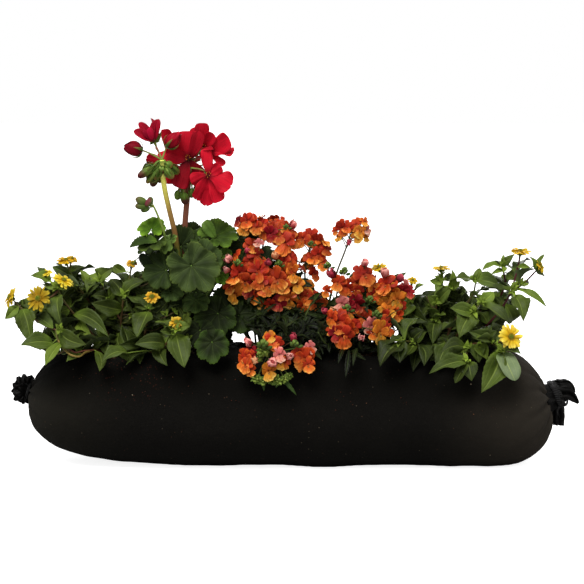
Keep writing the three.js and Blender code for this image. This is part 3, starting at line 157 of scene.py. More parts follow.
# Flower racemes of the nemesia: [name, stem, flowers]; a flower is [across, down, depth, size, facing x, y, z, kind]
# kinds: 0 red-orange, 1 orange, 2 yellow-orange, 3 pink bud, 4 green bud, 5 crimson, 6 pale pink, 7 magenta bud, 8 peach bud, 9 yellow
RACEMES = [
["nemesia_raceme_01",[[262,353,12],[256,320,8],[257,285,4],[262,250,2],[268,228,0]],
 [[251,224,-8,9.5,-0.4,-0.8,0.3,0],[243,228,-10,7,-0.7,-0.6,0.2,2],[238,221,-2,6,-0.8,-0.4,0.4,5],[260,218,-2,6.5,-0.2,-0.6,0.7,1],[266,231,-10,8.5,0.1,-0.9,0.2,0],
  [275,226,-6,7,0.2,-0.8,0.4,1],[283,223,-2,6.5,0.5,-0.6,0.5,0],[292,227,-2,5,0.5,-0.4,0.7,3],[286.5,230,-24,3.0,0.1,-0.8,0.5,4],[256,233,10,7.5,-0.6,0.5,0.4,1],[274,222,14,8,0.4,0.8,0.3,0]]],
["nemesia_raceme_02",[[250,353,2],[246,320,-6],[243,290,-14],[242,262,-16]],
 [[252,246,-18,8.5,0.2,-0.9,0.3,1],[257,256,-24,9,0.3,-0.9,0.2,0],[247,252,-20,4,0,-0.7,0.6,7],[258.5,243,-27,5.4,0.3,-0.8,0.4,6],[229,261,-16,5,-0.8,-0.4,0.5,3],
  [236,256,-20,7,-0.5,-0.8,0.3,1],[238,267,-24,4,-0.1,-0.8,0.6,4],[227.5,271,-18,4.5,-0.8,-0.5,0.3,3],[234,278,-26,9,-0.4,-0.9,0.2,1],[245,282,-30,9,-0.1,-0.95,0.1,1],
  [235,294,-26,9.5,-0.4,-0.9,0.0,9],[232,270,4,8,-0.8,0.4,0.3,0],[240,286,8,8,-0.6,0.7,0.2,2]]],
["nemesia_raceme_03",[[270,353,-4],[268,325,-14],[266,298,-22],[267,270,-26]],
 [[258,271,-32,11,-0.2,-0.95,0.1,0],[275,258,-26,5,0.1,-0.7,0.6,8],[267.6,264,-30,4.5,0,-0.8,0.5,7],[276.5,280,-36,12,0.1,-0.97,0.1,1],[263.5,288,-32,9,-0.2,-0.95,0,0],
  [278.5,303,-30,8,0,-0.95,-0.1,5],[270,305,-28,6,-0.2,-0.9,0,0],[254,297,-26,7,-0.4,-0.9,0,1],[262,304,-24,6,-0.1,-0.9,-0.1,2]]],
["nemesia_raceme_04",[[282,353,0],[284,325,-10],[286,295,-16],[285,265,-16],[284,250,-14]],
 [[284,243,-20,11.5,0.05,-0.92,0.35,0],[290,259,-22,8.5,0.3,-0.9,0.2,0],[279,268,-24,4,0,-0.8,0.5,4],[292.5,273,-26,9,0.2,-0.95,0.1,2],[297,285,-24,8,0.3,-0.9,0.1,9],
  [292,290,-22,7.5,0.1,-0.95,0,5],[289,300,-26,8.5,0.1,-0.95,-0.1,2],[300,296,-18,6.5,0.5,-0.8,0.1,1],[302,268,-14,6,0.6,-0.6,0.4,0],[290,262,12,8.5,0.2,0.9,0.3,1],[280,280,14,8.5,-0.2,0.95,0.1,0]]],
["nemesia_raceme_05",[[294,353,10],[300,320,8],[305,285,4],[305,265,2],[311,244,0]],
 [[310,237,-6,8.5,0,-0.9,0.4,0],[300,241,-6,8,-0.4,-0.8,0.3,1],[322,241.5,-6,7.5,0.5,-0.8,0.3,2],[326.5,249,-8,7,0.6,-0.7,0.2,0],[312,259,-10,8.5,0,-0.95,0.2,1],
  [321.5,263,-10,8,0.4,-0.9,0.1,1],[307.5,287,-12,7.5,0.2,-0.95,0.1,9],[313,300,-16,9.5,0.4,-0.9,0.1,0],[314,274,-8,7,0.4,-0.8,0.2,0],[311,247,-16,3.0,0.1,-0.8,0.4,4],[316,246,14,8.5,0.4,0.8,0.3,0],[308,262,18,8,0,0.95,0.2,2]]],
["nemesia_raceme_06",[[318,353,4],[326,318,0],[332,290,-4],[337.5,270.5,-6],[345,251,-6],[350,236,-6]],
 [[342.5,228,-12,9,-0.3,-0.85,0.4,0],[340,237,-10,6.5,-0.6,-0.7,0.2,9],[356,225,-8,8.5,0.1,-0.85,0.5,1],[358,236,-14,8,0.2,-0.95,0.1,9],[366,229,-8,6.5,0.7,-0.6,0.3,6],
  [366,237,-8,5.5,0.7,-0.7,0.1,9],[350,242,-4,2.0,0,-0.6,0.5,4],[335,231,-6,5,-0.8,-0.5,0.2,1],[352,230,4,7,0.2,0.8,0.4,0],[349,243,-8,4,0,-0.8,-0.3,7]]],
["nemesia_raceme_07",[[334,353,-12],[334,325,-22],[336,300,-28],[338,284,-28]],
 [[338.3,283,-32,8,0,-0.95,0.2,1],[332.5,276.5,-26,6,-0.4,-0.7,0.5,7],[328,270,-20,4,-0.5,-0.4,0.7,4],[344,276,-26,4.5,0.3,-0.6,0.7,4],[341.6,304,-34,7.5,0,-0.95,0.1,6],
  [333,312,-34,4.5,-0.4,-0.8,0.2,8],[326.5,313,-28,4.5,-0.7,-0.6,0.1,7],[327,291,-26,5.8,-0.5,-0.8,0.1,1],[350,291,-28,4.6,0.4,-0.85,0.1,0],[338,283,0,5,-0.3,0.9,0.2,1]]],
["nemesia_raceme_08",[[352,353,-4],[358,325,-14],[362,300,-20],[364,276,-22]],
 [[364,275,-26,11,0,-0.95,0.2,0],[364.5,265,-22,5.5,0,-0.7,0.7,3],[356,304,-30,9.5,-0.3,-0.9,0.1,5],[364,318,-32,9,0.1,-0.97,0,1],[369.5,304,-26,4.5,0.3,-0.8,0.3,4],
  [373,295,-22,7.5,0.5,-0.8,0.1,0],[350,313,-32,6.5,-0.4,-0.85,-0.1,2],[374,283,-16,5.5,0.6,-0.6,0.4,1],[354,283,-18,5.5,-0.6,-0.7,0.3,6],[366,290,10,9,0.2,0.95,0.2,0]]],
["nemesia_raceme_09",[[372,353,4],[380,325,-4],[385,300,-10],[387,284,-14]],
 [[386.5,285,-20,11,0.05,-0.95,0.2,0],[385,275,-14,5.5,0,-0.6,0.8,3],[398.7,280,-10,5.5,0.4,-0.6,0.6,7],[404.8,286,-10,6,0.6,-0.6,0.3,6],[409.4,292,-12,6.5,0.7,-0.6,0.2,5],
  [398,300,-18,9.5,0.3,-0.93,0,9],[400.5,308,-16,6.5,0.5,-0.85,0,0],[393.8,314,-22,8.5,0.2,-0.95,0,1],[384.6,306,-24,8.5,0,-0.95,0,9],[377,296,-18,6.5,-0.3,-0.9,0,1],[392,294,12,9,0.3,0.9,0.2,0]]],
["nemesia_raceme_10",[[344,353,-26],[346,342,-46],[350,333,-54],[358,327,-54]],
 [[338.5,322,-58,12,-0.2,-0.96,0.1,0],[343,337,-64,11,-0.1,-0.98,0,0],[355,327,-58,7,0,-0.95,0.1,0],[371.4,326,-54,8.5,0.2,-0.93,0.1,6],[380,332.5,-60,11.5,0.2,-0.94,0.1,9],
  [386,322,-48,6.5,0.5,-0.8,0.2,1],[376,318,-48,4,0.3,-0.8,0.4,4],[347,313,-44,4.5,0,-0.8,0.4,4],[361,338,-60,4.5,0.2,-0.9,-0.2,3],[331,330,-54,6,-0.6,-0.75,0,1]]],
["nemesia_raceme_11",[[282,354,-34],[279,353,-58],[275,352,-74],[270,351,-80]],
 [[250,344,-76,6,-0.6,-0.7,0.2,3],[243.7,360,-82,9.5,-0.55,-0.83,0,1],[250,370,-86,6,-0.3,-0.95,-0.2,1],[253.5,353,-82,5.5,-0.2,-0.9,0.2,5],[255,361.5,-86,4.5,-0.1,-0.95,0,8],
  [263.5,350,-86,5.5,0,-0.85,0.5,4],[269.5,337,-78,6.5,0,-0.8,0.5,9],[276.5,344.5,-82,7,0.1,-0.9,0.3,0],[279.5,355,-88,6.5,0.1,-0.97,0,6],[280,363,-88,6.5,0.1,-0.97,-0.1,9],
  [269,371.5,-90,8.5,0,-0.97,-0.1,9],[289.5,357,-86,5,0.3,-0.9,0,3],[305,359.5,-84,11,0.2,-0.95,0.1,1],[310.5,347.5,-78,6,0.3,-0.85,0.3,6],[293,340,-74,5.5,0.2,-0.8,0.5,7],[295,348.5,-82,4.5,0.2,-0.9,0.2,4]]],
]
# Leafy stems of the nemesia: [name, stems, number of leaves per stem]
LEAFY = [
["nemesia_foliage_left",[[[258,352,-10],[256,346,-10],[246,336,-20],[240,322,-22],[236,306,-20]],[[256,346,-10],[254,330,20],[246,306,38],[244,284,38]],[[256,346,-10],[262,338,-24],[266,330,-34],[262,316,-36]]],6],
["nemesia_foliage_middle",[[[298,352,-10],[298,346,-10],[300,336,-22],[304,320,-28],[310,306,-26]],[[298,346,-10],[298,326,22],[296,300,36],[298,276,36]],[[298,346,-10],[310,342,-32],[322,338,-42],[328,326,-46]],[[298,346,-10],[292,344,-38],[288,340,-52],[284,328,-58]]],6],
["nemesia_foliage_right",[[[352,352,6],[351,346,8],[344,326,28],[346,298,34],[350,276,30]],[[351,346,8],[362,344,-22],[374,338,-38],[380,326,-42]],[[351,346,8],[370,330,28],[380,316,34],[390,298,34]],[[351,346,8],[338,346,-26],[326,344,-48],[318,332,-56]]],6],
]

# ---- placing -------------------------------------------------------------------------------------
EYE_AT = np.array([0.0, -EYE * math.cos(TILT), LOOK + EYE * math.sin(TILT)])


def V(x, y, z):
    return np.array([x, y, z], float)


def at(u, v, y):
    """The point at a depth that the layout draws at (across, down)."""
    a, b = (u - 292) * SCALE / EYE, (292 - v) * SCALE / EYE
    d = V(a, math.cos(TILT) + b * math.sin(TILT), -math.sin(TILT) + b * math.cos(TILT))
    return EYE_AT + d * (y - EYE_AT[1]) / d[1]


def at3(p):
    return at(p[0], p[1], p[2])


def drawn(p):
    """Where the layout draws a point: (across, down)."""
    d = np.asarray(p, float) - EYE_AT
    ahead = d[..., 1] * math.cos(TILT) - d[..., 2] * math.sin(TILT)
    rise = d[..., 1] * math.sin(TILT) + d[..., 2] * math.cos(TILT)
    return 292 + d[..., 0] / ahead * EYE / SCALE, 292 - rise / ahead * EYE / SCALE


class Dice:
    """The same steps of chance that the solids use."""

    def __init__(self, seed):
        self.seed = seed

    def __call__(self):
        self.seed = (self.seed * 16807) % 2147483647
        return self.seed / 2147483647


def unit(v):
    v = np.asarray(v, float)
    return v / (np.linalg.norm(v) + 1e-12)


def across_of(v, t):
    """v without its share along t, as a unit vector."""
    v = np.asarray(v, float) - np.dot(v, t) * t
    return unit(v) if np.linalg.norm(v) > 1e-6 else unit(np.cross(t, V(0.3, 0.8, 0.52)))


def curve_point(points, f):
    """Centripetal Catmull-Rom through points, at f from 0 to 1."""
    points = [np.asarray(p, float) for p in points]
    last = len(points) - 1
    k = min(int(last * f), last - 1)
    w = last * f - k
    p1, p2 = points[k], points[k + 1]
    p0 = points[k - 1] if k else 2 * points[0] - points[1]
    p3 = points[k + 2] if k + 2 <= last else 2 * points[-1] - points[-2]
    d0, d1, d2 = (max(np.linalg.norm(b - a) ** 0.5, 1e-4) for a, b in ((p0, p1), (p1, p2), (p2, p3)))
    t1 = ((p1 - p0) / d0 - (p2 - p0) / (d0 + d1) + (p2 - p1) / d1) * d1
    t2 = ((p2 - p1) / d1 - (p3 - p1) / (d1 + d2) + (p3 - p2) / d2) * d1
    return p1 + t1 * w + (-3 * p1 + 3 * p2 - 2 * t1 - t2) * w**2 + (2 * p1 - 2 * p2 + t1 + t2) * w**3


def smooth(points, n):
    return np.array([curve_point(points, i / n) for i in range(n + 1)])


def nearest(lines, p):
    best, far = None, 1e9
    for line in lines:
        for a, b in zip(line[:-1], line[1:]):
            d = b - a
            q = a + d * min(1.0, max(0.0, np.dot(p - a, d) / np.dot(d, d)))
            if np.linalg.norm(q - p) < far:
                best, far = q, np.linalg.norm(q - p)
    return best


def rgb(r, g, b):
    """A colour of the usual 0 to 255 kind as light."""
    c = np.array([r, g, b], float) / 255
    return np.where(c <= 0.04045, c / 12.92, ((c + 0.055) / 1.055) ** 2.4)


def mixed(a, b, f):
    return np.asarray(a) * (1 - f) + np.asarray(b) * f


# ---- surfaces --------------------------------------------------------------------------------------
class Skin:
    """The surfaces of one piece. Each point has a tint, and lam: across, along, and which side."""

    def __init__(self, seed=1):
        self.points, self.tints, self.lams, self.faces, self.count = [], [], [], [], 0
        self.chance = np.random.RandomState(seed)

    def add(self, points, faces, tint, lam, mat):
        points = np.asarray(points, float).reshape(-1, 3)
        self.points.append(points)
        tint = np.asarray(tint, float)
        self.tints.append(np.broadcast_to(tint.reshape(-1, 3) if tint.ndim > 1 else tint, points.shape))
        self.lams.append(np.broadcast_to(np.asarray(lam, float).reshape(-1, 3), points.shape))
        self.faces += [(np.asarray(f) + self.count, mat) for f in faces]
        self.count += len(points)

    def sheet(self, G, tint, mat, thick=0.35, lx=0, ly=0, edge=0.4):
        """A thin closed sheet over a grid of points; its upper side is the one that the grid turns round to the left."""
        m, n, _ = G.shape
        N = np.cross(np.gradient(G, axis=0), np.gradient(G, axis=1))
        N /= np.linalg.norm(N, axis=2, keepdims=True) + 1e-12
        h = np.full((m, n), thick / 2)
        for part in (np.s_[0], np.s_[-1], np.s_[:, 0], np.s_[:, -1]):
            h[part] = thick / 2 * edge
        idx = np.arange(m * n).reshape(m, n)
        q = np.stack([idx[:-1, :-1], idx[1:, :-1], idx[1:, 1:], idx[:-1, 1:]], -1).reshape(-1, 4)
        loop = np.concatenate([idx[:, 0], idx[-1, 1:], idx[::-1, -1][1:], idx[0, ::-1][1:-1]])
        b, k = np.roll(loop, -1), m * n
        rim = np.stack([b, loop, loop + k, b + k], -1)
        tint = np.asarray(tint, float)
        tint = np.broadcast_to(tint if tint.ndim == 3 else tint.reshape(1, 1, 3), (m, n, 3)).reshape(-1, 3)
        lam = np.stack([np.broadcast_to(lx, (m, n)), np.broadcast_to(ly, (m, n))], -1).reshape(-1, 2)
        lam = np.concatenate([np.c_[lam, np.zeros(k)], np.c_[lam, np.ones(k)]])
        self.add(np.concatenate([(G + N * h[..., None]).reshape(-1, 3), (G - N * h[..., None]).reshape(-1, 3)]),
                 [q, q[:, ::-1] + k, rim], np.concatenate([tint, tint]), lam, mat)

    def loft(self, rings, tint, mat, lam=None):
        """A closed skin over rings of equally many points, which go round to the left as seen from the far end."""
        R = np.asarray(rings, float)
        m, n, _ = R.shape
        tint = np.asarray(tint, float)
        if tint.ndim == 2:
            tint = tint[:, None, :]
        tint = np.broadcast_to(tint, (m, n, 3)).reshape(-1, 3)
        if lam is None:
            ly, lx = np.meshgrid(np.linspace(0, 1, m), np.linspace(0, 1, n), indexing="ij")
            lam = np.stack([lx, ly, np.zeros((m, n))], -1)
        lam = np.asarray(lam, float).reshape(-1, 3)
        idx = np.arange(m * n).reshape(m, n)
        nx = np.roll(idx, -1, axis=1)
        q = np.stack([idx[:-1], nx[:-1], nx[1:], idx[1:]], -1).reshape(-1, 4)
        a, z = m * n, m * n + 1
        first = np.stack([np.full(n, a), nx[0], idx[0]], -1)
        last = np.stack([np.full(n, z), idx[-1], nx[-1]], -1)
        P = np.concatenate([R.reshape(-1, 3), [R[0].mean(0)], [R[-1].mean(0)]])
        self.add(P, [q, first, last], np.concatenate([tint, tint[:1], tint[-1:]]), np.concatenate([lam, lam[:1], lam[-1:]]), mat)

    def tube(self, points, radii, tint, mat, sides=8, rough=0.0):
        P = np.asarray(points, float)
        m = len(P)
        radii = np.interp(np.linspace(0, 1, m), np.linspace(0, 1, len(np.atleast_1d(radii))), np.atleast_1d(radii))
        if rough:
            radii = radii * (1 + rough * self.chance.uniform(-1, 1, m))
        T = np.gradient(P, axis=0)
        T /= np.linalg.norm(T, axis=1, keepdims=True) + 1e-12
        side = across_of(V(1, 0, 0) if abs(T[0][0]) < 0.8 else V(0, 0, 1), T[0])
        rings, a = [], 2 * np.pi * np.arange(sides) / sides
        for p, t, r in zip(P, T, radii):
            side = across_of(side, t)
            other = np.cross(t, side)
            rings.append(p + r * (np.cos(a)[:, None] * side + np.sin(a)[:, None] * other))
        tint = np.asarray(tint, float)
        if tint.ndim == 2 and len(tint) != m:
            tint = np.stack([np.interp(np.linspace(0, 1, m), np.linspace(0, 1, len(tint)), tint[:, k]) for k in range(3)], -1)
        self.loft(rings, tint, mat)

    def pod(self, base, tip, r, tints, mat, sides=10, rings=8, ridges=0, depth=0.1, shape=(0.75, 0.55), curl=0.0, up=(0, 0, 1)):
        """A bud: fullest where shape says, with ridges round it."""
        base, tip = np.asarray(base, float), np.asarray(tip, float)
        t = unit(tip - base)
        s = across_of(up, t)
        o = np.cross(t, s)
        a, b = shape
        p = a / (a + b)
        f = 0.5 - 0.5 * np.cos(np.pi * np.linspace(0.03, 0.985, rings + 1))
        w = (f / p) ** a * ((1 - f) / (1 - p)) ** b
        phi = 2 * np.pi * np.arange(sides) / sides
        out = []
        for fi, wi in zip(f, w):
            c = base + (tip - base) * fi + s * curl * np.linalg.norm(tip - base) * fi**2
            k = wi * r * (1 + (depth * np.cos(ridges * phi) if ridges else 0))
            out.append(c + np.asarray(k * np.cos(phi))[:, None] * s + np.asarray(k * np.sin(phi))[:, None] * o)
        tints = np.asarray(tints, float)
        if tints.ndim == 2:
            tints = np.stack([np.interp(f, np.linspace(0, 1, len(tints)), tints[:, k]) for k in range(3)], -1)
        self.loft(out, tints, mat)

    def blade(self, base, tip, width, face, tint, mat, shape=(0.62, 0.93), arch=0.08, fold=0.2, wave=0.0, waves=3.0, cup=0.0, bend=0.0,
              twist=0.0, rows=12, cols=6, neck=0.04, notch=0.0, teeth=0.0, thick=0.35, tip_tint=None, base_tint=None, blunt=1.0, pleats=0.0):
        """A leaf or petal from base to tip, its upper side towards face."""
        base, tip = np.asarray(base, float), np.asarray(tip, float)
        length = np.linalg.norm(tip - base)
        t = (tip - base) / length
        n = across_of(face, t)
        s = np.cross(t, n)
        f = np.linspace(0, 1, rows + 1)
        f = f if blunt == 1 else 1 - (1 - f) ** blunt
        a, b = shape
        p = a / (a + b)
        g = np.clip(f, 1e-4, 1 - 1e-4)
        w = (g / p) ** a * ((1 - g) / (1 - p)) ** b
        w = np.maximum(w, neck * (1 - f))
        w = np.maximum(w, 0.012)
        if teeth:
            w = w * (1 - teeth * (0.5 + 0.5 * np.cos(np.pi * np.arange(rows + 1))) * (f > 0.15) * (f < 0.95))
        x = np.linspace(1, -1, cols + 1)
        ph = self.chance.uniform(0, 6.28)
        F, X = np.meshgrid(f, x, indexing="ij")
        W = w[:, None] * width / 2
        rise = fold * np.abs(X) * W + cup * X**2 * W + wave * W * X * np.abs(X) * np.sin(2 * np.pi * waves * F + ph) * np.minimum(1, F * 4)
        if pleats:
            rise = rise + pleats * W * np.cos(2.5 * np.pi * X + ph * 1.7) * np.clip(F * 1.4, 0, 1)
        wide = X * W
        tw = twist * (F - 0.3)
        rise, wide = rise * np.cos(tw) - wide * np.sin(tw), wide * np.cos(tw) + rise * np.sin(tw)
        along = F * length - notch * length * np.cos(np.pi * X) ** 2 * np.clip((F - 0.6) / 0.4, 0, 1) ** 2
        hump = 4 * arch * length * F * (1 - F) + rise
        sway = 4 * bend * length * F * (1 - F) + wide
        G = base + along[..., None] * t + hump[..., None] * n + sway[..., None] * s
        tint = np.asarray(tint, float)
        T = np.broadcast_to(tint, (rows + 1, cols + 1, 3)).copy()
        if base_tint is not None:
            k = (np.clip(1 - F / 0.35, 0, 1) ** 1.2)[..., None]
            T = T * (1 - k) + np.asarray(base_tint) * k
        if tip_tint is not None:
            k = (np.clip((F - 0.45) / 0.55, 0, 1) ** 1.2)[..., None]
            T = T * (1 - k) + np.asarray(tip_tint) * k
        self.sheet(G, T, mat, thick, X, F)

    def build(self, name, mats, *nodes, slot=None, smooth_faces=True):
        P = np.concatenate(self.points) * 0.001
        used, where = [], {}
        for _, m in self.faces:
            if m not in where:
                where[m] = len(used)
                used.append(m)
        loops = np.concatenate([f.reshape(-1) for f, _ in self.faces]).astype(np.int32)
        totals = np.concatenate([np.full(len(f), f.shape[1]) for f, _ in self.faces])
        starts = np.concatenate([[0], np.cumsum(totals)[:-1]]).astype(np.int32)
        mesh = bpy.data.meshes.new(name)
        mesh.vertices.add(len(P))
        mesh.vertices.foreach_set("co", P.astype(np.float32).reshape(-1))
        mesh.loops.add(len(loops))
        mesh.loops.foreach_set("vertex_index", loops)
        mesh.polygons.add(len(totals))
        mesh.polygons.foreach_set("loop_start", starts)
        mesh.polygons.foreach_set("material_index", np.concatenate([np.full(len(f), where[m]) for f, m in self.faces]).astype(np.int32))
        mesh.update(calc_edges=True)
        mesh.validate()
        T = np.concatenate(self.tints)
        a = mesh.attributes.new("tint", "FLOAT_COLOR", "POINT")
        a.data.foreach_set("color", np.c_[T, np.ones(len(T))].astype(np.float32).reshape(-1))
        a = mesh.attributes.new("lam", "FLOAT_VECTOR", "POINT")
        a.data.foreach_set("vector", np.concatenate(self.lams).astype(np.float32).reshape(-1))
        if smooth_faces:
            mesh.shade_smooth()
        o = bpy.data.objects.new(name, mesh)
        bpy.context.scene.collection.objects.link(o)
        for m in used:
            mesh.materials.append(mats[m])
        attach(o, "root")
        if nodes:
            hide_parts(*nodes)
        return o


# ---- materials -----------------------------------------------------------------------------------
class Finish:
    """A material and the nodes that make it."""

    def __init__(self, name):
        self.mat = bpy.data.materials.new(name)
        self.mat.use_nodes = True
        self.tree = self.mat.node_tree
        self.tree.nodes.clear()

    def new(self, kind, **settings):
        n = self.tree.nodes.new("ShaderNode" + kind)
        for k, v in settings.items():
            setattr(n, k, v)
        return n

    def put(self, socket, value):
        if isinstance(value, bpy.types.NodeSocket):
            self.tree.links.new(value, socket)
        elif value is not None:
            if hasattr(socket.default_value, "__len__"):
                v = list(value)
                socket.default_value = v + [1.0] * (len(socket.default_value) - len(v))
            else:
                socket.default_value = value

    def math(self, op, a, b=None, clamp=False):
        n = self.new("Math", operation=op, use_clamp=clamp)
        self.put(n.inputs[0], a)
        self.put(n.inputs[1], b)
        return n.outputs[0]

    def mix(self, fac, a, b, blend="MIX"):
        n = self.new("Mix", data_type="RGBA", blend_type=blend)
        self.put(n.inputs[0], fac)
        self.put(n.inputs[6], a)
        self.put(n.inputs[7], b)
        return n.outputs[2]

    def step(self, x, low, high, to_low=0.0, to_high=1.0):
        n = self.new("MapRange", interpolation_type="SMOOTHSTEP")
        for i, v in enumerate((x, low, high, to_low, to_high)):
            self.put(n.inputs[i], v)
        return n.outputs[0]

    def noise(self, scale, detail=3.0, vector=None, rough=0.55, distortion=0.0):
        n = self.new("TexNoise")
        self.put(n.inputs["Scale"], scale)
        self.put(n.inputs["Detail"], detail)
        self.put(n.inputs["Roughness"], rough)
        self.put(n.inputs["Distortion"], distortion)
        self.put(n.inputs["Vector"], vector if vector is not None else self.place())
        return n.outputs["Fac"]

    def cells(self, scale, vector=None, feature="F1"):
        n = self.new("TexVoronoi", feature=feature)
        self.put(n.inputs["Scale"], scale)
        self.put(n.inputs["Vector"], vector if vector is not None else self.place())
        return n.outputs["Distance"], n.outputs.get("Color")

    def place(self):
        return self.new("TexCoord").outputs["Object"]

    def tint(self):
        return self.new("Attribute", attribute_name="tint").outputs["Color"]

    def lam(self):
        n = self.new("SeparateXYZ")
        self.put(n.inputs[0], self.new("Attribute", attribute_name="lam").outputs["Vector"])
        return n.outputs[0], n.outputs[1], n.outputs[2]

    def together(self, x, y, z=0.0):
        n = self.new("CombineXYZ")
        for i, v in enumerate((x, y, z)):
            self.put(n.inputs[i], v)
        return n.outputs[0]

    def bump(self, height, strength, distance=0.0006, normal=None):
        n = self.new("Bump")
        self.put(n.inputs["Strength"], strength)
        self.put(n.inputs["Distance"], distance)
        self.put(n.inputs["Height"], height)
        if normal is not None:
            self.put(n.inputs["Normal"], normal)
        return n.outputs[0]

    def done(self, colour, rough=0.5, normal=None, specular=0.4, sheen=0.0, sheen_rough=0.5, through=0.0, through_colour=None):
        b = self.new("BsdfPrincipled")
        self.put(b.inputs["Base Color"], colour)
        self.put(b.inputs["Roughness"], rough)
        b.inputs["Specular IOR Level"].default_value = specular
        b.inputs["Sheen Weight"].default_value = sheen
        b.inputs["Sheen Roughness"].default_value = sheen_rough
        if normal is not None:
            self.put(b.inputs["Normal"], normal)
        out = self.new("OutputMaterial")
        surface = b.outputs[0]
        if through:
            t, m = self.new("BsdfTranslucent"), self.new("MixShader")
            self.put(t.inputs[0], through_colour if through_colour is not None else colour)
            m.inputs[0].default_value = through
            self.tree.links.new(surface, m.inputs[1])
            self.tree.links.new(t.outputs[0], m.inputs[2])
            surface = m.outputs[0]
        self.tree.links.new(surface, out.inputs[0])
        return self.mat


def leaf_finish(name, veins, rough=0.42, pale=(0.30, 0.42, 0.10), vein_strength=0.55, specular=0.45, through=0.12):
    m = Finish(name)
    tint, (x, y, side) = m.tint(), m.lam()
    ax = m.math("ABSOLUTE", x)
    if veins == "three":
        mid = m.step(ax, 0.03, 0.1, 1, 0)
        lateral = m.math("ABSOLUTE", m.math("SUBTRACT", ax, m.math("MULTIPLY", 0.52, m.step(y, 0.0, 0.28))))
        lateral = m.math("MULTIPLY", m.step(lateral, 0.02, 0.06, 0.26, 0), m.step(y, 0.9, 0.98, 1, 0))
        fine = m.math("SUBTRACT", m.math("MULTIPLY", y, 9.0), m.math("MULTIPLY", ax, 2.4))
        fine = m.math("ABSOLUTE", m.math("SUBTRACT", m.math("FRACT", fine), 0.5))
        fine = m.step(fine, 0.0, 0.12, 0.14, 0)
        vein = m.math("MAXIMUM", m.math("MAXIMUM", mid, lateral), fine)
    elif veins == "pinnate":
        mid = m.step(ax, 0.08, 0.2, 1, 0)
        fine = m.math("SUBTRACT", m.math("MULTIPLY", y, 7.0), m.math("MULTIPLY", ax, 1.8))
        fine = m.math("ABSOLUTE", m.math("SUBTRACT", m.math("FRACT", fine), 0.5))
        vein = m.math("MAXIMUM", mid, m.step(fine, 0.0, 0.14, 0.35, 0))
    else:  # palmate: x counts lobes, y runs from the hub to the rim
        lobe = m.math("ABSOLUTE", m.math("SUBTRACT", x, m.math("ROUND", x)))
        wide = m.math("MULTIPLY", lobe, m.math("ADD", y, 0.02))
        main = m.math("MULTIPLY", m.step(wide, 0.006, 0.03, 1, 0), m.step(y, 0.7, 1.0, 1, 0.15))
        fork = m.math("ABSOLUTE", m.math("SUBTRACT", wide, m.math("MULTIPLY", 0.42, m.math("MAXIMUM", m.math("SUBTRACT", y, 0.42), 0.0))))
        fork = m.math("MULTIPLY", m.step(fork, 0.004, 0.022, 0.7, 0), m.step(y, 0.45, 0.55))
        hub = m.step(y, 0.03, 0.12, 0.8, 0)
        vein = m.math("MAXIMUM", m.math("MAXIMUM", main, fork), hub)
    patch = m.noise(55.0, 4.0)
    grain = m.noise(900.0, 3.0)
    c = m.mix(m.step(patch, 0.3, 0.7, 0.0, 0.6), tint, m.mix(1.0, tint, (0.5, 0.58, 0.45), "MULTIPLY"))
    c = m.mix(m.step(grain, 0.35, 0.75, 0.0, 0.28), c, m.mix(1.0, c, (1.5, 1.4, 1.2), "MULTIPLY"))
    lighter = m.mix(0.45, m.mix(1.0, tint, (2.3, 2.1, 1.7), "MULTIPLY"), pale)
    c = m.mix(m.math("MULTIPLY", vein, vein_strength), c, lighter)
    if veins == "palmate":
        c = m.mix(m.step(y, 0.93, 1.0, 0, 0.45), c, m.mix(1.0, tint, (1.9, 1.7, 1.2), "MULTIPLY"))
        zone = m.math("MULTIPLY", m.step(y, 0.38, 0.5), m.step(y, 0.55, 0.72, 1, 0))
        c = m.mix(m.math("MULTIPLY", zone, 0.3), c, m.mix(1.0, tint, (0.55, 0.6, 0.5), "MULTIPLY"))
    else:
        c = m.mix(m.step(ax, 0.9, 1.0, 0, 0.2), c, m.mix(1.0, tint, (1.6, 1.5, 1.2), "MULTIPLY"))
    under = m.mix(0.5, m.mix(1.0, tint, (1.4, 1.35, 1.5), "MULTIPLY"), (0.085, 0.115, 0.055))
    c = m.mix(m.step(side, 0.4, 0.6, 0, 0.85), c, under)
    height = m.math("ADD", m.math("MULTIPLY", m.math("MULTIPLY", vein, -1.0), m.math("SUBTRACT", 1.0, m.math("MULTIPLY", side, 2.0))), m.math("MULTIPLY", grain, 0.35))
    height = m.math("ADD", height, m.math("MULTIPLY", m.noise(200.0, 2.0), 1.1))
    normal = m.bump(height, 0.7, 0.0011)
    r = m.step(grain, 0.2, 0.8, rough - 0.08, rough + 0.12)
    return m.done(c, r, normal, specular, through=through, through_colour=m.mix(1.0, tint, (1.8, 2.0, 0.9), "MULTIPLY"))


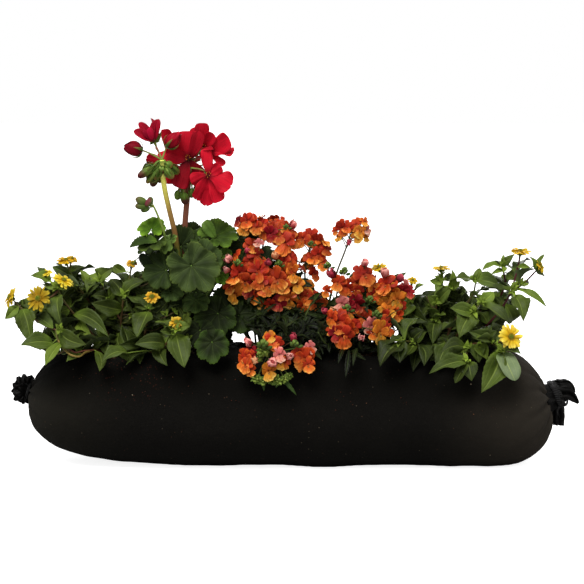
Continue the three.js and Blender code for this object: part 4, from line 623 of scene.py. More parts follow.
def petal_finish(name, rough=0.5, streaks=16.0, streak=0.3, sheen=0.25, through=0.25, specular=0.25, dark=(0.55, 0.35, 0.4), rim=0.3):
    m = Finish(name)
    tint, (x, y, side) = m.tint(), m.lam()
    lines = m.noise(1.0, 3.0, m.together(m.math("MULTIPLY", x, streaks), m.math("MULTIPLY", y, 2.2), m.math("MULTIPLY", side, 7.0)))
    patch = m.noise(90.0, 3.0)
    grain = m.noise(1600.0, 2.0)
    c = m.mix(m.step(lines, 0.38, 0.68, 0.0, streak), tint, m.mix(1.0, tint, dark, "MULTIPLY"))
    c = m.mix(m.step(patch, 0.35, 0.7, 0.0, 0.3), c, m.mix(1.0, tint, (1.35, 1.2, 1.2), "MULTIPLY"))
    c = m.mix(m.step(y, 0.0, 0.3, 0.35, 0.0), c, m.mix(1.0, tint, dark, "MULTIPLY"))
    c = m.mix(m.math("MULTIPLY", side, 0.35), c, m.mix(1.0, tint, (1.25, 1.15, 1.3), "MULTIPLY"))
    # paler, whiter tips: partly a paler edge of the petal, partly painted highlight
    c = m.mix(m.math("MULTIPLY", m.step(y, 0.72, 1.0), rim), c, m.mix(1.0, tint, (1.35, 1.45, 1.5), "MULTIPLY"))
    height = m.math("ADD", m.math("MULTIPLY", lines, 1.0), m.math("MULTIPLY", grain, 0.25))
    return m.done(c, m.step(grain, 0.2, 0.8, rough - 0.06, rough + 0.1), m.bump(height, 0.35, 0.0006), specular, sheen, 0.4, through, m.mix(1.0, tint, (1.6, 1.3, 1.1), "MULTIPLY"))


def plain_finish(name, rough=0.5, scale=300.0, change=0.3, bump=0.4, distance=0.0004, specular=0.35, stretch=None):
    """Stems, buds and other small green parts: the tint with soft blotches, fine grain and lines along it."""
    m = Finish(name)
    tint, (x, y, side) = m.tint(), m.lam()
    blotch = m.noise(scale, 4.0)
    lines = m.noise(1.0, 2.0, m.together(m.math("MULTIPLY", x, 9.0), m.math("MULTIPLY", y, 1.5), 0.0))
    c = m.mix(m.step(blotch, 0.3, 0.7, 0.0, change), tint, m.mix(1.0, tint, (0.55, 0.55, 0.5), "MULTIPLY"))
    c = m.mix(m.step(lines, 0.45, 0.7, 0.0, change), c, m.mix(1.0, tint, (1.5, 1.4, 1.3), "MULTIPLY"))
    height = m.math("ADD", m.math("MULTIPLY", lines, 0.7), m.math("MULTIPLY", m.noise(scale * 5, 2.0), 0.5))
    return m.done(c, m.step(blotch, 0.2, 0.8, rough - 0.08, rough + 0.1), m.bump(height, bump, distance), specular)


def fabric_finish():
    """Soft black felt-like fabric with specks of compost: lighter and warmer towards the end with the long tail, partly
    dust and partly painted light, a little lighter towards the left end, and darker over its top with painted shade
    under the plants.
    """
    m = Finish("sleeve_fabric_finish")
    where = m.place()
    sep = m.new("SeparateXYZ")
    m.put(sep.inputs[0], where)
    fine, fibre, cloud = m.noise(1400.0, 4.0, rough=0.7), m.noise(420.0, 3.0, rough=0.65, distortion=1.5), m.noise(14.0, 5.0)
    c = m.mix(m.step(fine, 0.3, 0.75), (0.0034, 0.0031, 0.0026), (0.0082, 0.0074, 0.0062))
    c = m.mix(m.step(fibre, 0.5, 0.72, 0, 0.5), c, (0.0105, 0.0096, 0.0082))
    # painted light and dust: lighter, warmer colour towards the end with the long tail, in cloudy patches
    right_end_light_and_dust = m.math("MULTIPLY", m.step(sep.outputs[0], 0.14, 0.30), m.step(cloud, 0.25, 0.7, 0.55, 1.0))
    c = m.mix(m.math("MULTIPLY", right_end_light_and_dust, 0.8), c, (0.048, 0.040, 0.030))
    c = m.mix(m.step(sep.outputs[0], -0.30, -0.16, 0.7, 0.0), c, (0.0190, 0.0172, 0.0126))
    c = m.mix(m.step(cloud, 0.5, 0.75, 0, 0.35), c, (0.0095, 0.0085, 0.0068))
    # painted shade: the top of the sleeve, under the plants, is painted much darker, far less towards the end with the
    # long tail
    painted_top_shade = m.math("MULTIPLY", m.step(sep.outputs[2], 0.066, 0.106, 0.0, 0.92), m.step(sep.outputs[0], 0.20, 0.27, 1.0, 0.1))
    c = m.mix(painted_top_shade, c, (0.0022, 0.0020, 0.0014))
    # reddish crumbs washed out below the left plant
    washed = m.math("MULTIPLY", m.math("MULTIPLY", m.step(sep.outputs[0], -0.225, -0.195), m.step(sep.outputs[0], -0.165, -0.13, 1, 0)), m.step(sep.outputs[2], 0.074, 0.092))
    crumbs, _ = m.cells(330.0)
    c = m.mix(m.math("MULTIPLY", m.math("MULTIPLY", washed, m.step(crumbs, 0.12, 0.28, 1, 0)), m.step(m.noise(120.0, 2.0), 0.42, 0.56, 0, 0.8)), c, (0.060, 0.016, 0.009))
    spots, _ = m.cells(150.0)
    chance = m.noise(60.0, 2.0)
    speck = m.math("MULTIPLY", m.step(spots, 0.05, 0.11, 1, 0), m.step(chance, 0.54, 0.6))
    c = m.mix(m.math("MULTIPLY", speck, 0.8), c, (0.065, 0.034, 0.02))
    lint, _ = m.cells(48.0)
    fleck = m.math("MULTIPLY", m.step(lint, 0.024, 0.04, 1, 0), m.step(m.noise(25.0, 2.0), 0.42, 0.5))
    c = m.mix(m.math("MULTIPLY", fleck, 0.8), c, (0.24, 0.19, 0.13))
    small, _ = m.cells(95.0)
    c = m.mix(m.math("MULTIPLY", m.step(small, 0.045, 0.07, 1, 0), m.step(m.noise(31.0, 2.0), 0.44, 0.52, 0, 0.6)), c, (0.11, 0.09, 0.06))
    height = m.math("ADD", m.math("MULTIPLY", fine, 0.6), m.math("ADD", fibre, m.math("MULTIPLY", m.noise(90.0, 3.0), 2.2)))
    return m.done(c, m.step(fine, 0.2, 0.8, 0.86, 0.99), m.bump(height, 0.55, 0.0009), 0.032, 0.012, 0.7)


def tail_finish():
    """The gathered ends: the same fabric, its smoother inner face catching the light."""
    m = Finish("gathered_fabric_finish")
    fine, fibre = m.noise(1300.0, 4.0, rough=0.7), m.noise(300.0, 3.0, distortion=1.2)
    c = m.mix(m.step(fine, 0.3, 0.75), (0.0013, 0.0012, 0.0011), (0.0036, 0.0032, 0.0029))
    c = m.mix(m.step(fibre, 0.5, 0.75, 0, 0.5), c, (0.0075, 0.0072, 0.0075))
    height = m.math("ADD", m.math("MULTIPLY", fine, 0.6), fibre)
    return m.done(c, m.step(fibre, 0.3, 0.7, 0.38, 0.6), m.bump(height, 0.5, 0.0008), 0.09, 0.004, 0.5)


def soil_finish():
    m = Finish("soil_finish")
    tint = m.tint()
    crumb, _ = m.cells(260.0)
    big, fine = m.noise(70.0, 5.0, rough=0.7), m.noise(700.0, 4.0, rough=0.7)
    c = m.mix(m.step(crumb, 0.1, 0.6), m.mix(1.0, tint, (1.7, 1.6, 1.5), "MULTIPLY"), m.mix(1.0, tint, (0.35, 0.32, 0.3), "MULTIPLY"))
    c = m.mix(m.step(big, 0.4, 0.7, 0, 0.5), c, m.mix(1.0, tint, (2.2, 1.7, 1.2), "MULTIPLY"))
    c = m.mix(m.step(fine, 0.6, 0.8, 0, 0.5), c, (0.16, 0.10, 0.05))
    height = m.math("ADD", m.math("SUBTRACT", big, crumb), m.math("MULTIPLY", fine, 0.5))
    return m.done(c, m.step(fine, 0.2, 0.8, 0.85, 1.0), m.bump(height, 0.9, 0.0025), 0.15)


def cord_finish():
    """A flat black tie cord, its strands laid slantwise."""
    m = Finish("tie_cord_finish")
    x, y, side = m.lam()
    strand = m.math("SINE", m.math("ADD", m.math("MULTIPLY", y, 260.0), m.math("MULTIPLY", x, 12.566)))
    fine = m.noise(1500.0, 3.0)
    c = m.mix(m.step(strand, -0.6, 0.8), (0.002, 0.002, 0.002), (0.008, 0.0076, 0.0076))
    c = m.mix(m.step(fine, 0.4, 0.8, 0, 0.5), c, (0.012, 0.0115, 0.012))
    return m.done(c, m.step(fine, 0.2, 0.8, 0.55, 0.8), m.bump(m.math("ADD", strand, m.math("MULTIPLY", fine, 0.5)), 0.6, 0.0007), 0.2, 0.02)


MATS = {
    "sanvitalia_leaf": leaf_finish("creeping_zinnia_leaf_finish", "three", 0.45, (0.26, 0.34, 0.075), 0.66, 0.17, 0.1),
    "nemesia_leaf": leaf_finish("nemesia_leaf_finish", "pinnate", 0.42, (0.12, 0.2, 0.05), 0.45, 0.14, 0.1),
    "pelargonium_leaf": leaf_finish("pelargonium_leaf_finish", "palmate", 0.6, (0.10, 0.15, 0.045), 0.55, 0.1, 0.08),
    "golden_petal": petal_finish("golden_petal_finish", 0.55, 5.0, 0.45, 0.0, 0.15, 0.1, dark=(0.72, 0.5, 0.3)),
    "crimson_petal": petal_finish("crimson_petal_finish", 0.55, 12.0, 0.5, 0.05, 0.14, 0.1, dark=(0.45, 0.3, 0.5)),
    "orange_petal": petal_finish("orange_petal_finish", 0.5, 5.0, 0.8, 0.02, 0.16, 0.16, dark=(0.62, 0.26, 0.25), rim=0.75),
    "disc_floret": plain_finish("disc_floret_finish", 0.6, 900.0, 0.35, 0.4, specular=0.15),
    "bud": plain_finish("bud_finish", 0.5, 500.0, 0.35, 0.45, specular=0.18),
    "pelargonium_stem": plain_finish("pelargonium_stem_finish", 0.5, 260.0, 0.35, 0.5, specular=0.2),
    "stem": plain_finish("stem_finish", 0.45, 400.0, 0.35, 0.4, specular=0.2),
    "fabric": fabric_finish(),
    "tail": tail_finish(),
    "soil": soil_finish(),
    "cord": cord_finish(),
}


# ---- sleeve --------------------------------------------------------------------------------------
def section(i):
    """x, middle height, half height, half depth of the sleeve's outline at row i."""
    u, top, low = OUTLINE[i]
    flat = min(1.0, max(0.0, (low - top - 50) / 60))
    zt, zb = at(292, top, 0)[2], at(292, low - 4.4 * flat, 0)[2] - 3.4 * flat
    return V(at(u, 400, 0)[0], (zt + zb) / 2, (zt - zb) / 2), HALF_DEPTH * min(1.0, (low - top) / 121) ** 0.92


SECTIONS = [np.r_[section(i)[0], section(i)[1]] for i in range(len(OUTLINE))]  # x, zc, hz, hy
LEFT_NECK = (at(29.5, 389.5, 2), unit(V(-1, 0, 0.2)), 12.6)
RIGHT_NECK = (at(556, 394, 0), unit(V(0.89, 0, 0.42)), 16.9)


def lump(p, size, seed=0.0):
    return noise.noise(Vector((p[0] / size + seed, p[1] / size, p[2] / size)))


def front_of(u, v, lift=0.0):
    """Where a line of sight meets the front of the sleeve."""
    xs = [s[0] for s in SECTIONS]
    lo, hi = -130.0, 10.0
    def inside(y):
        p = at(u, v, y)
        if not xs[0] < p[0] < xs[-1]:
            return False
        zc, hz, hy = (np.interp(p[0], xs, [s[k] for s in SECTIONS]) for k in (1, 2, 3))
        return abs(p[1] / hy) ** 2.25 + abs((p[2] - zc) / hz) ** 2.25 < 1
    for y in np.linspace(lo, hi, 281):
        if inside(y):
            return at(u, v, y - lift)
    return at(u, v, hi)


def make_sleeve():
    m, n = 240, 176
    dense = smooth(SECTIONS, m)
    # more rows at the ends, where the outline turns
    a = 2 * np.pi * np.arange(n) / n
    e = 2 / 2.25
    c, s = np.cos(a), np.sin(a)
    P = np.zeros((m + 1, n, 3))
    for i, (x, zc, hz, hy) in enumerate(dense):
        hz, hy = max(hz, 0.5), max(hy, 0.5)
        P[i, :, 0] = x
        P[i, :, 1] = hy * np.sign(c) * np.abs(c) ** e
        P[i, :, 2] = zc + hz * np.sign(s) * np.abs(s) ** e
    N = np.cross(np.gradient(P, axis=0), np.roll(P, -1, 1) - np.roll(P, 1, 1))
    N /= np.linalg.norm(N, axis=2, keepdims=True) + 1e-9
    mid = P.mean(axis=1, keepdims=True)
    N *= np.sign((N * (P - mid)).sum(-1, keepdims=True))
    for i in range(m + 1):
        for j in range(n):
            p = P[i, j]
            d = 1.5 * lump(p, 70) + 0.9 * lump(p, 30, 5.0) + 0.35 * lump(p, 11, 9.0)
            for (neck, axis, _), reach, folds in ((LEFT_NECK, 42, 13), (RIGHT_NECK, 60, 15)):
                away = p - neck
                along = np.dot(away, axis)
                ray = away - along * axis
                dist = np.linalg.norm(away)
                if dist < reach * 1.6:
                    phi = math.atan2(ray[2], ray[1])
                    k = math.exp(-((dist / reach) ** 2)) * min(1.0, dist / 12)
                    d += 1.9 * k * (math.cos(folds * phi + 1.7 * lump(p, 25, 3.0)) + 0.5 * math.cos((folds * 2 + 1) * phi + 1))
            # two slack folds that run down from the long tail
            q = p - RIGHT_NECK[0]
            if p[0] > 240 and p[1] < 30:
                for du, slope, deep in ((-14, 0.42, 1.6), (-4, -0.35, 1.2)):
                    far = q[0] - du + slope * q[2]
                    d -= deep * math.exp(-((far / 3.2) ** 2)) * math.exp(-((q[2] / 26) ** 2))
            P[i, j] = p + N[i, j] * d
    P[:, :, 2] = np.maximum(P[:, :, 2], 0.0)
    # openings: points near a rim move onto it, and what is inside goes
    flat = P.reshape(-1, 3)
    gone = np.zeros(len(flat), bool)
    for x, y, ha, hb in OPENINGS:
        dx, dy = flat[:, 0] - x, flat[:, 1] - y
        phi = np.arctan2(dy / hb, dx / ha)
        wob = 1 + 0.035 * np.sin(3 * phi + x) + 0.02 * np.sin(7 * phi + 2 * x)
        r = np.sqrt((dx / ha) ** 2 + (dy / hb) ** 2) / wob
        top = flat[:, 2] > 70
        near = top & (r > 0.93) & (r < 1.03)
        flat[near, 0] = x + dx[near] / r[near]
        flat[near, 1] = y + dy[near] / r[near]
        pucker = top & (r > 0.9) & (r < 1.35)
        flat[pucker, 2] += 1.2 * np.cos(16 * phi[pucker] + x) * np.exp(-(((r[pucker] - 1.0) / 0.12) ** 2)) - 1.5 * np.exp(-(((r[pucker] - 1.0) / 0.07) ** 2))
        gone |= top & (r < 0.95)
    P = flat.reshape(m + 1, n, 3)
    gone = gone.reshape(m + 1, n)
    sk = Skin(3)
    idx = np.arange((m + 1) * n).reshape(m + 1, n)
    nx = np.roll(idx, -1, axis=1)
    q = np.stack([idx[:-1], nx[:-1], nx[1:], idx[1:]], -1).reshape(-1, 4)
    q = q[~gone.reshape(-1)[q].any(axis=1)]
    caps = []
    for row, flip in ((0, False), (m, True)):
        centre = len(flat) + len(caps)
        ring = idx[row]
        tri = np.stack([np.full(n, centre), np.roll(ring, -1), ring], -1)
        caps.append((P[row].mean(0), tri[:, ::-1] if flip else tri))
    pts = np.concatenate([P.reshape(-1, 3), [c for c, _ in caps]])
    used = np.zeros(len(pts), bool)
    used[q.reshape(-1)] = True
    for _, tri in caps:
        used[tri.reshape(-1)] = True
    new = np.cumsum(used) - 1
    faces = [new[q]] + [new[t] for _, t in caps]
    # turn faces outwards: at the front, the first face's normal points away from the middle
    sk.add(pts[used], faces, (0.01, 0.01, 0.01), np.zeros(3), "fabric")
    o = sk.build("planter_sleeve", MATS, "planter_sleeve", slot="sleeve_fabric")
    import bmesh
    bm = bmesh.new()
    bm.from_mesh(o.data)
    bmesh.ops.recalc_face_normals(bm, faces=bm.faces)
    bm.to_mesh(o.data)
    bm.free()
    solid = o.modifiers.new("wall", "SOLIDIFY")
    solid.thickness, solid.offset = 0.0014, -1.0
    return o


def ruffle(sk, neck, axis, rings, folds, seed, mat="tail", lean=(0, 0, 0), twist=0.0, n=72, hollow=True):
    """Gathered cloth that opens from a neck: rings of [along, radius, ripple]."""
    y = across_of(V(0, 1, 0), axis)
    z = np.cross(axis, y)
    a = 2 * np.pi * np.arange(n) / n
    lean = np.asarray(lean, float)
    chance = np.random.RandomState(seed)
    ph = chance.uniform(0, 6.28, 6)
    out = []
    span = rings[-1][0] - rings[0][0]
    dense = smooth([V(*r[:3]) for r in rings], 26)
    for l, r, ripple in dense:
        f = (l - rings[0][0]) / span
        w = r + ripple * (np.cos(folds * a + ph[0] + 1.2 * np.sin(a + ph[4])) + 0.45 * np.cos((folds * 2 - 3) * a + ph[1]) + 0.3 * np.cos((folds // 2) * a + ph[2]))
        w = np.maximum(w, 1.2)
        turn = a + twist * f
        c = neck + axis * l + lean * max(0.0, f) ** 2
        l_wave = 0.25 * ripple * np.cos((folds - 2) * a + ph[3])
        out.append(c + w[:, None] * (np.cos(turn)[:, None] * y + np.sin(turn)[:, None] * z) + l_wave[:, None] * axis)
    if hollow:
        for k, share in ((-1, 0.93), (-4, 0.8), (-8, 0.62), (-12, 0.4)):
            ring = out[k]
            c = ring.mean(0)
            out_ring = c + (ring - c) * share
            out.append(out_ring)
    sk.loft(out, (0.01, 0.01, 0.01), mat)


def ribbon(sk, path, widths, normal, folds, seed, thick=1.2, mat="tail", cols=10, rows=26):
    """A folded strip of cloth along a path."""
    P = smooth(path, rows)
    chance = np.random.RandomState(seed)
    T = np.gradient(P, axis=0)
    W = np.interp(np.linspace(0, 1, rows + 1), np.linspace(0, 1, len(widths)), widths)
    x = np.linspace(1, -1, cols + 1)
    ph = chance.uniform(0, 6.28, 3)
    G = np.zeros((rows + 1, cols + 1, 3))
    for i, (p, t, w) in enumerate(zip(P, T, W)):
        t = unit(t)
        nn = across_of(normal, t)
        s = np.cross(t, nn)
        crease = 0.22 * w * np.cos(folds * np.pi * x + ph[0] + 0.6 * math.sin(i * 0.35 + ph[1]))
        G[i] = p + (x * w / 2)[:, None] * s + (crease + 0.12 * w * math.sin(i * 0.5 + ph[2]) * x**2)[:, None] * nn
    f = np.linspace(0, 1, rows + 1)
    sk.sheet(G, (0.01, 0.01, 0.01), mat, thick, x[None, :], f[:, None])


def make_tails():
    sk = Skin(11)
    neck, axis, _ = LEFT_NECK
    ruffle(sk, neck, axis, [[-16, 17, 0.2], [-9, 13, 0.8], [-3.4, 10.3, 0.9], [2.6, 10.3, 0.9], [5.0, 12.4, 1.3], [7.8, 13.6, 2.0], [10.6, 12.2, 2.6]], 8, 5, twist=0.35)
    ruffle(sk, neck + V(-1, -3, 1), axis, [[-2, 6, 0.6], [3, 7.5, 1.0], [7, 9, 1.9], [10.5, 9.0, 2.4], [14, 7, 2.4]], 7, 8, twist=-0.4, lean=(-1, -2, -1))
    # small curls at the tuft's upper edge
    for k, (u, v, y, w) in enumerate(((31, 377.5, -4, 8), (25, 376.8, -7, 8), (19.6, 378.5, -3, 8), (15.6, 384.5, -4, 8), (14.6, 391, -6, 8), (16, 398.5, -4, 7), (22, 401.5, -6, 8), (28, 401, -5, 7))):
        c = at(u, v, y)
        d = unit(c - (neck + axis * 3))
        ribbon(sk, [neck + axis * 1 + d * 5 + V(0, -4, 0), mixed(neck, c, 0.75) + V(0, -5, 0), c, c + V(0, 5, -2.5) - d * 2], [5, w * 1.1, w, w * 0.7], V(0.2, -0.8, 0.5), 1.6, 40 + k, 0.9, cols=8, rows=14)
    neck, axis, _ = RIGHT_NECK
    # cloth gathered under the cord, then the lobe that lies over to the right and ends in a beak
    ruffle(sk, neck, axis, [[-15, 19, 0.3], [-9, 16.5, 0.8], [-4, 14.4, 1.0], [2, 13.0, 1.0], [6, 11.5, 1.2], [9, 9, 1.2], [12, 5, 0.6]], 10, 21, twist=0.3)
    for k, (pts, widths, lean) in enumerate((
            ([at(550, 384, 2), at(556, 383.5, -2), at(562, 384.5, -4), at(568, 384.5, -5), at(573, 388.5, -5)], [5, 7.5, 8.5, 9.5, 5], V(0.1, -0.9, 0.35)),
            ([at(552, 388, -4), at(559, 388, -8), at(566, 388, -10), at(571, 390, -10), at(573.5, 394, -9)], [8, 11, 12, 10, 6], V(0, -1, 0.15)),
            ([at(555, 393, -8), at(561, 393, -12), at(567, 393.5, -12), at(572, 396.5, -11), at(576, 400.5, -9), at(578.2, 403.3, -8)], [9, 12.5, 12, 9.5, 6, 2.2], V(0.1, -1, 0.1)),
            ([at(556, 397, -6), at(562, 396.5, -8), at(568, 397, -8), at(573, 399.5, -7), at(577, 402.8, -6)], [6, 7.5, 7, 5, 2], V(0.1, -0.9, -0.3)),
            ([at(556, 386, 8), at(562, 387, 10), at(568, 389, 10), at(572, 393, 6)], [14, 19, 17, 8], V(0, 1, 0.1)),
            ([at(558, 393, 8), at(565, 394.5, 9), at(571, 397, 4), at(576.5, 402, -2)], [10, 13, 9, 3], V(0, 1, 0.0)))):
        ribbon(sk, pts, widths, lean, 1.4, 61 + k, 1.6)
    # two folds that hang beside the neck
    ribbon(sk, [at(559, 401, -8), at(560.5, 407, -7), at(561.3, 413, -5), at(561, 419, -4), at(559.5, 425.2, -3)], [8, 7.5, 7.5, 8, 7.5], V(0.3, -0.95, 0.1), 1.2, 71, 2.2)
    ribbon(sk, [at(556, 404, -8), at(555.5, 410, -8), at(555.6, 416, -6), at(556, 420, -5), at(556.3, 425.2, -4)], [6, 6.5, 7, 7.5, 7], V(-0.1, -1, 0.1), 1.2, 72, 2.0)
    ribbon(sk, [at(559, 402, 0), at(559.5, 409, 3), at(559, 417, 3), at(558.4, 425.4, 1)], [9, 11.5, 12.5, 12.5], V(0.1, 0.9, 0.2), 2.2, 73, 1.6)
    return sk


def band(sk, neck, axis, r, width, thick, turns, mat="cord"):
    """A flat cord wound round a neck."""
    y = across_of(V(0, 1, 0), axis)
    z = np.cross(axis, y)
    steps = int(54 * turns)
    rows = []
    for i in range(steps + 1):
        a = 2 * np.pi * turns * i / steps
        d = math.cos(a) * y + math.sin(a) * z
        rr = r + 0.35 * math.sin(5 * a + 1) + 0.25 * math.sin(11 * a)
        c = neck + axis * ((i / steps - 0.5) * width * 0.55 * (turns - 1) + 0.5 * math.sin(3 * a)) + d * rr
        w, h = width / 2, thick / 2
        prof = [(w * math.cos(b), h * math.sin(b)) for b in np.linspace(0, 2 * np.pi, 12, endpoint=False)]
        rows.append([c + axis * p + d * q for p, q in prof])
    sk.loft(rows, (0.01, 0.01, 0.01), mat)


def make_cords():
    sk = Skin(12)
    neck, axis, r = LEFT_NECK
    band(sk, neck, axis, r - 1.0, 2.6, 2.2, 2.06)
    for e, (dx, dy, dz) in enumerate(((2, -3, 9), (4, -5, 6))):
        start = neck + V(0, -r * 0.8, r * 0.5)
        sk.tube(smooth([start, start + V(-1, -2, 2), start + V(-3 - dx, -2 - dy * 0.3, dz * 0.4), start + V(-5 - dx, dy * 0.2, -2)], 12), [0.8, 0.8, 0.7], (0.01, 0.01, 0.01), "cord", 8)
    sk.build("tie_cord_left", MATS, "tie_cord_left", slot="tie_cord")
    sk = Skin(13)
    neck, axis, r = RIGHT_NECK
    band(sk, neck + axis * -1.0, axis, r - 1.0, 6.0, 2.4, 1.04)
    band(sk, neck + axis * 3.0, axis, r - 2.4, 4.4, 2.2, 1.04)
    knot = at(560.5, 402.5, -14)
    for k in range(3):
        d = unit(V(0.5 * math.sin(k * 2.1), -0.3, math.cos(k * 2.1)))
        ring = [knot + 2.8 * (math.cos(b) * unit(np.cross(d, V(0.3, 1, 0.2))) + math.sin(b) * d) + V(0, -0.8 * math.sin(2 * b), 0) for b in np.linspace(0, 2 * np.pi, 15)]
        sk.tube(ring, [1.25], (0.01, 0.01, 0.01), "cord", 8)
    loop = [knot, at(561.2, 398.3, -12), at(564.5, 397.6, -12), at(567.2, 400.2, -11), at(566.4, 404.4, -11), at(563.4, 405.6, -12), at(560.9, 403.6, -13), knot]
    sk.tube(smooth(loop, 36), [1.25], (0.01, 0.01, 0.01), "cord", 8)
    sk.tube(smooth([knot, at(559.5, 406.5, -15), at(557.5, 411, -14), at(557.8, 415, -13)], 14), [1.1, 1.1, 1.0, 0.8], (0.01, 0.01, 0.01), "cord", 8)
    sk.build("tie_cord_right", MATS, "tie_cord_right", slot="tie_cord")


def crumb(sk, p, r, tint, squash=0.7):
    """A small rough grain."""
    n, rows = 6, 4
    chance = sk.chance
    axis = unit(chance.normal(size=3))
    s = across_of(V(0.3, 0.9, 0.1), axis)
    o = np.cross(axis, s)
    rings = []
    for i in range(rows):
        f = -0.8 + 1.6 * i / (rows - 1)
        w = math.sqrt(1 - f * f) * r * chance.uniform(0.75, 1.15, n)
        a = 2 * np.pi * np.arange(n) / n + 0.4 * i
        rings.append(p + axis * f * r * squash + (w * np.cos(a))[:, None] * s + (w * np.sin(a))[:, None] * o)
    sk.loft(rings, tint, "soil")


def make_soil():
    sk = Skin(21)
    chance = sk.chance
    base = rgb(50, 34, 22)
    for x, y, a, b in OPENINGS:
        # a mound, and a skirt that goes down inside the sleeve
        m, n = 16, 72
        phi = 2 * np.pi * np.arange(n) / n
        rings = []
        for k, (share, z) in enumerate([(0.98, 96), (0.99, 108), (0.985, 118), (0.97, 123)] + [(math.cos(0.5 * math.pi * q), 0) for q in np.linspace(0.12, 0.97, m)]):
            ring = np.stack([x + a * share * np.cos(phi), y + b * share * np.sin(phi), np.full(n, z, float)], -1)
            if z == 0:
                ring[:, 2] = 124 + 7 * (1 - share**2)
                ring[:, 2] += [1.6 * lump(p, 9, 2.0) + 0.8 * lump(p, 3.5, 7.0) for p in ring]
            rings.append(ring)
        sk.loft(rings, base, "soil")
        for _ in range(130):
            r, t = math.sqrt(chance.uniform(0, 0.95)), chance.uniform(0, 6.283)
            p = V(x + a * r * math.cos(t), y + b * r * math.sin(t), 125.3 + 6.8 * (1 - r * r))
            crumb(sk, p, chance.uniform(0.8, 2.3), base * chance.uniform(0.5, 1.8) * V(1.15, 1, 0.85))
        for _ in range(16):
            r, t, d = math.sqrt(chance.uniform(0, 0.9)), chance.uniform(0, 6.283), chance.uniform(0, 6.283)
            p = V(x + a * r * math.cos(t), y + b * r * math.sin(t), 126.5 + 6.5 * (1 - r * r))
            e = V(math.cos(d), math.sin(d), 0) * chance.uniform(4, 9)
            sk.tube(smooth([p - e, p + V(0, 0, 1.6), p + e * 0.8 + V(0.8, 0.5, 0.2)], 8), [0.22, 0.3, 0.16], rgb(110, 72, 38) * chance.uniform(0.5, 1.1), "soil", 5)
    # crumbs that fell on the front of the sleeve
    spill = [(126, 376, 15, 9, 34), (306, 388, 22, 10, 26), (84, 372, 12, 8, 10), (170, 374, 40, 12, 16), (400, 392, 60, 14, 18), (235, 392, 40, 14, 14), (500, 396, 18, 12, 8), (300, 372, 60, 5, 18)]
    for u, v, su, sv, count in spill:
        for _ in range(count):
            pu, pv = u + su * chance.normal() * 0.7, v + abs(sv * chance.normal() * 0.8)
            p = front_of(pu, pv, 0.2)
            crumb(sk, p, chance.uniform(0.22, 0.75), mixed(rgb(95, 48, 30), rgb(120, 95, 70), chance.uniform(0, 0.8) ** 2) * chance.uniform(0.4, 1.0), 0.6)
    sk.build("potting_soil", MATS, "potting_soil", slot="soil")


# ---- leafy parts -----------------------------------------------------------------------------------
TO_VIEW = V(0, -0.72, 0.69)
GAPS = [(188.5, 251, 3.5), (204, 308, 3), (210.5, 289.5, 2.5), (231, 306, 5), (245, 337, 8), (37, 329, 8.5), (33, 337, 4), (54, 345, 4), (20, 349, 6), (309, 290, 3.5), (108, 285, 2), (108, 291, 2), (109.5, 298, 1.6), (76, 282.5, 1.5),
        (129, 281, 1.8), (21.7, 310, 2), (52.3, 313, 2), (318, 284, 5), (328, 300, 3), (464, 304.8, 4.5), (486, 311.6, 4), (429, 304.6, 1.8), (455.3, 297, 3), (479, 291, 6), (494, 327, 2.5), (499, 281, 7), (511.5, 284, 3.5),
        (263, 240, 2), (274.5, 244, 3.5), (302, 248, 2.5), (302, 266, 2.5), (311.7, 274, 4), (319.6, 267.7, 4), (230, 305.6, 4), (332.6, 291, 4), (334, 300.4, 3.5), (343.8, 294, 3), (364, 288, 2.5), (367.3, 296.5, 3), (372.5, 302.4, 2.5),
        (522, 260, 4), (395, 336, 3.5), (391, 340, 2.5), (407.5, 343, 2), (335, 296, 2.5), (530, 320, 6), (339, 291, 2.5), (284, 253, 2.5), (294, 260.5, 2), (302.5, 247.5, 2)]


def within(poly, u, v):
    inside = False
    for (a, b), (c, d) in zip(poly, poly[1:] + poly[:1]):
        if (b > v) != (d > v) and u < (c - a) * (v - b) / (d - b) + a:
            inside = not inside
    return inside


def clear(poly, *pts):
    for p in pts:
        u, v = drawn(p)
        if not within(poly, u, v) or any(math.hypot(u - a, v - b) < r for a, b, r in GAPS):
            return False
    return True


LEFT_MASS = [(10, 302), (6, 316), (15, 320), (28, 340), (22, 345), (38, 350), (46, 362), (54, 358), (66, 350), (78, 352), (96, 366), (128, 364), (150, 364), (172, 359), (184, 362), (192, 340), (194, 314), (180, 300),
             (164, 288), (150, 276), (140, 270), (130, 276), (120, 284), (112, 282), (104, 280), (96, 286), (88, 280), (78, 274), (68, 270), (58, 278), (48, 288), (38, 292), (26, 298)]
RIGHT_MASS = [(390, 280), (386, 292), (396, 302), (398, 330), (392, 345), (378, 350), (382, 366), (402, 362), (416, 361), (430, 372), (455, 380), (470, 376), (482, 388), (500, 376), (517, 378), (519, 354), (512, 336), (502, 322),
              (516, 316), (514, 300), (508, 292), (500, 296), (492, 294), (484, 296), (472, 294), (464, 286), (454, 288), (444, 288), (434, 290), (424, 296), (412, 294), (402, 282)]
NEMESIA_MASS = [(238, 304), (242, 328), (252, 332), (260, 345), (266, 352), (292, 364), (318, 360), (345, 364), (372, 360), (398, 350), (396, 310), (390, 292), (372, 286), (350, 292), (338, 286), (330, 304), (312, 268), (300, 256), (285, 250), (262, 246), (242, 266), (238, 284)]


def green(chance, young=0.0):
    base = mixed(rgb(50, 61, 28), rgb(78, 95, 40), chance.uniform(0, 1))
    base = base * (0.42 + 1.22 * chance.uniform() ** 1.9)
    return mixed(base, rgb(144, 170, 60), young)


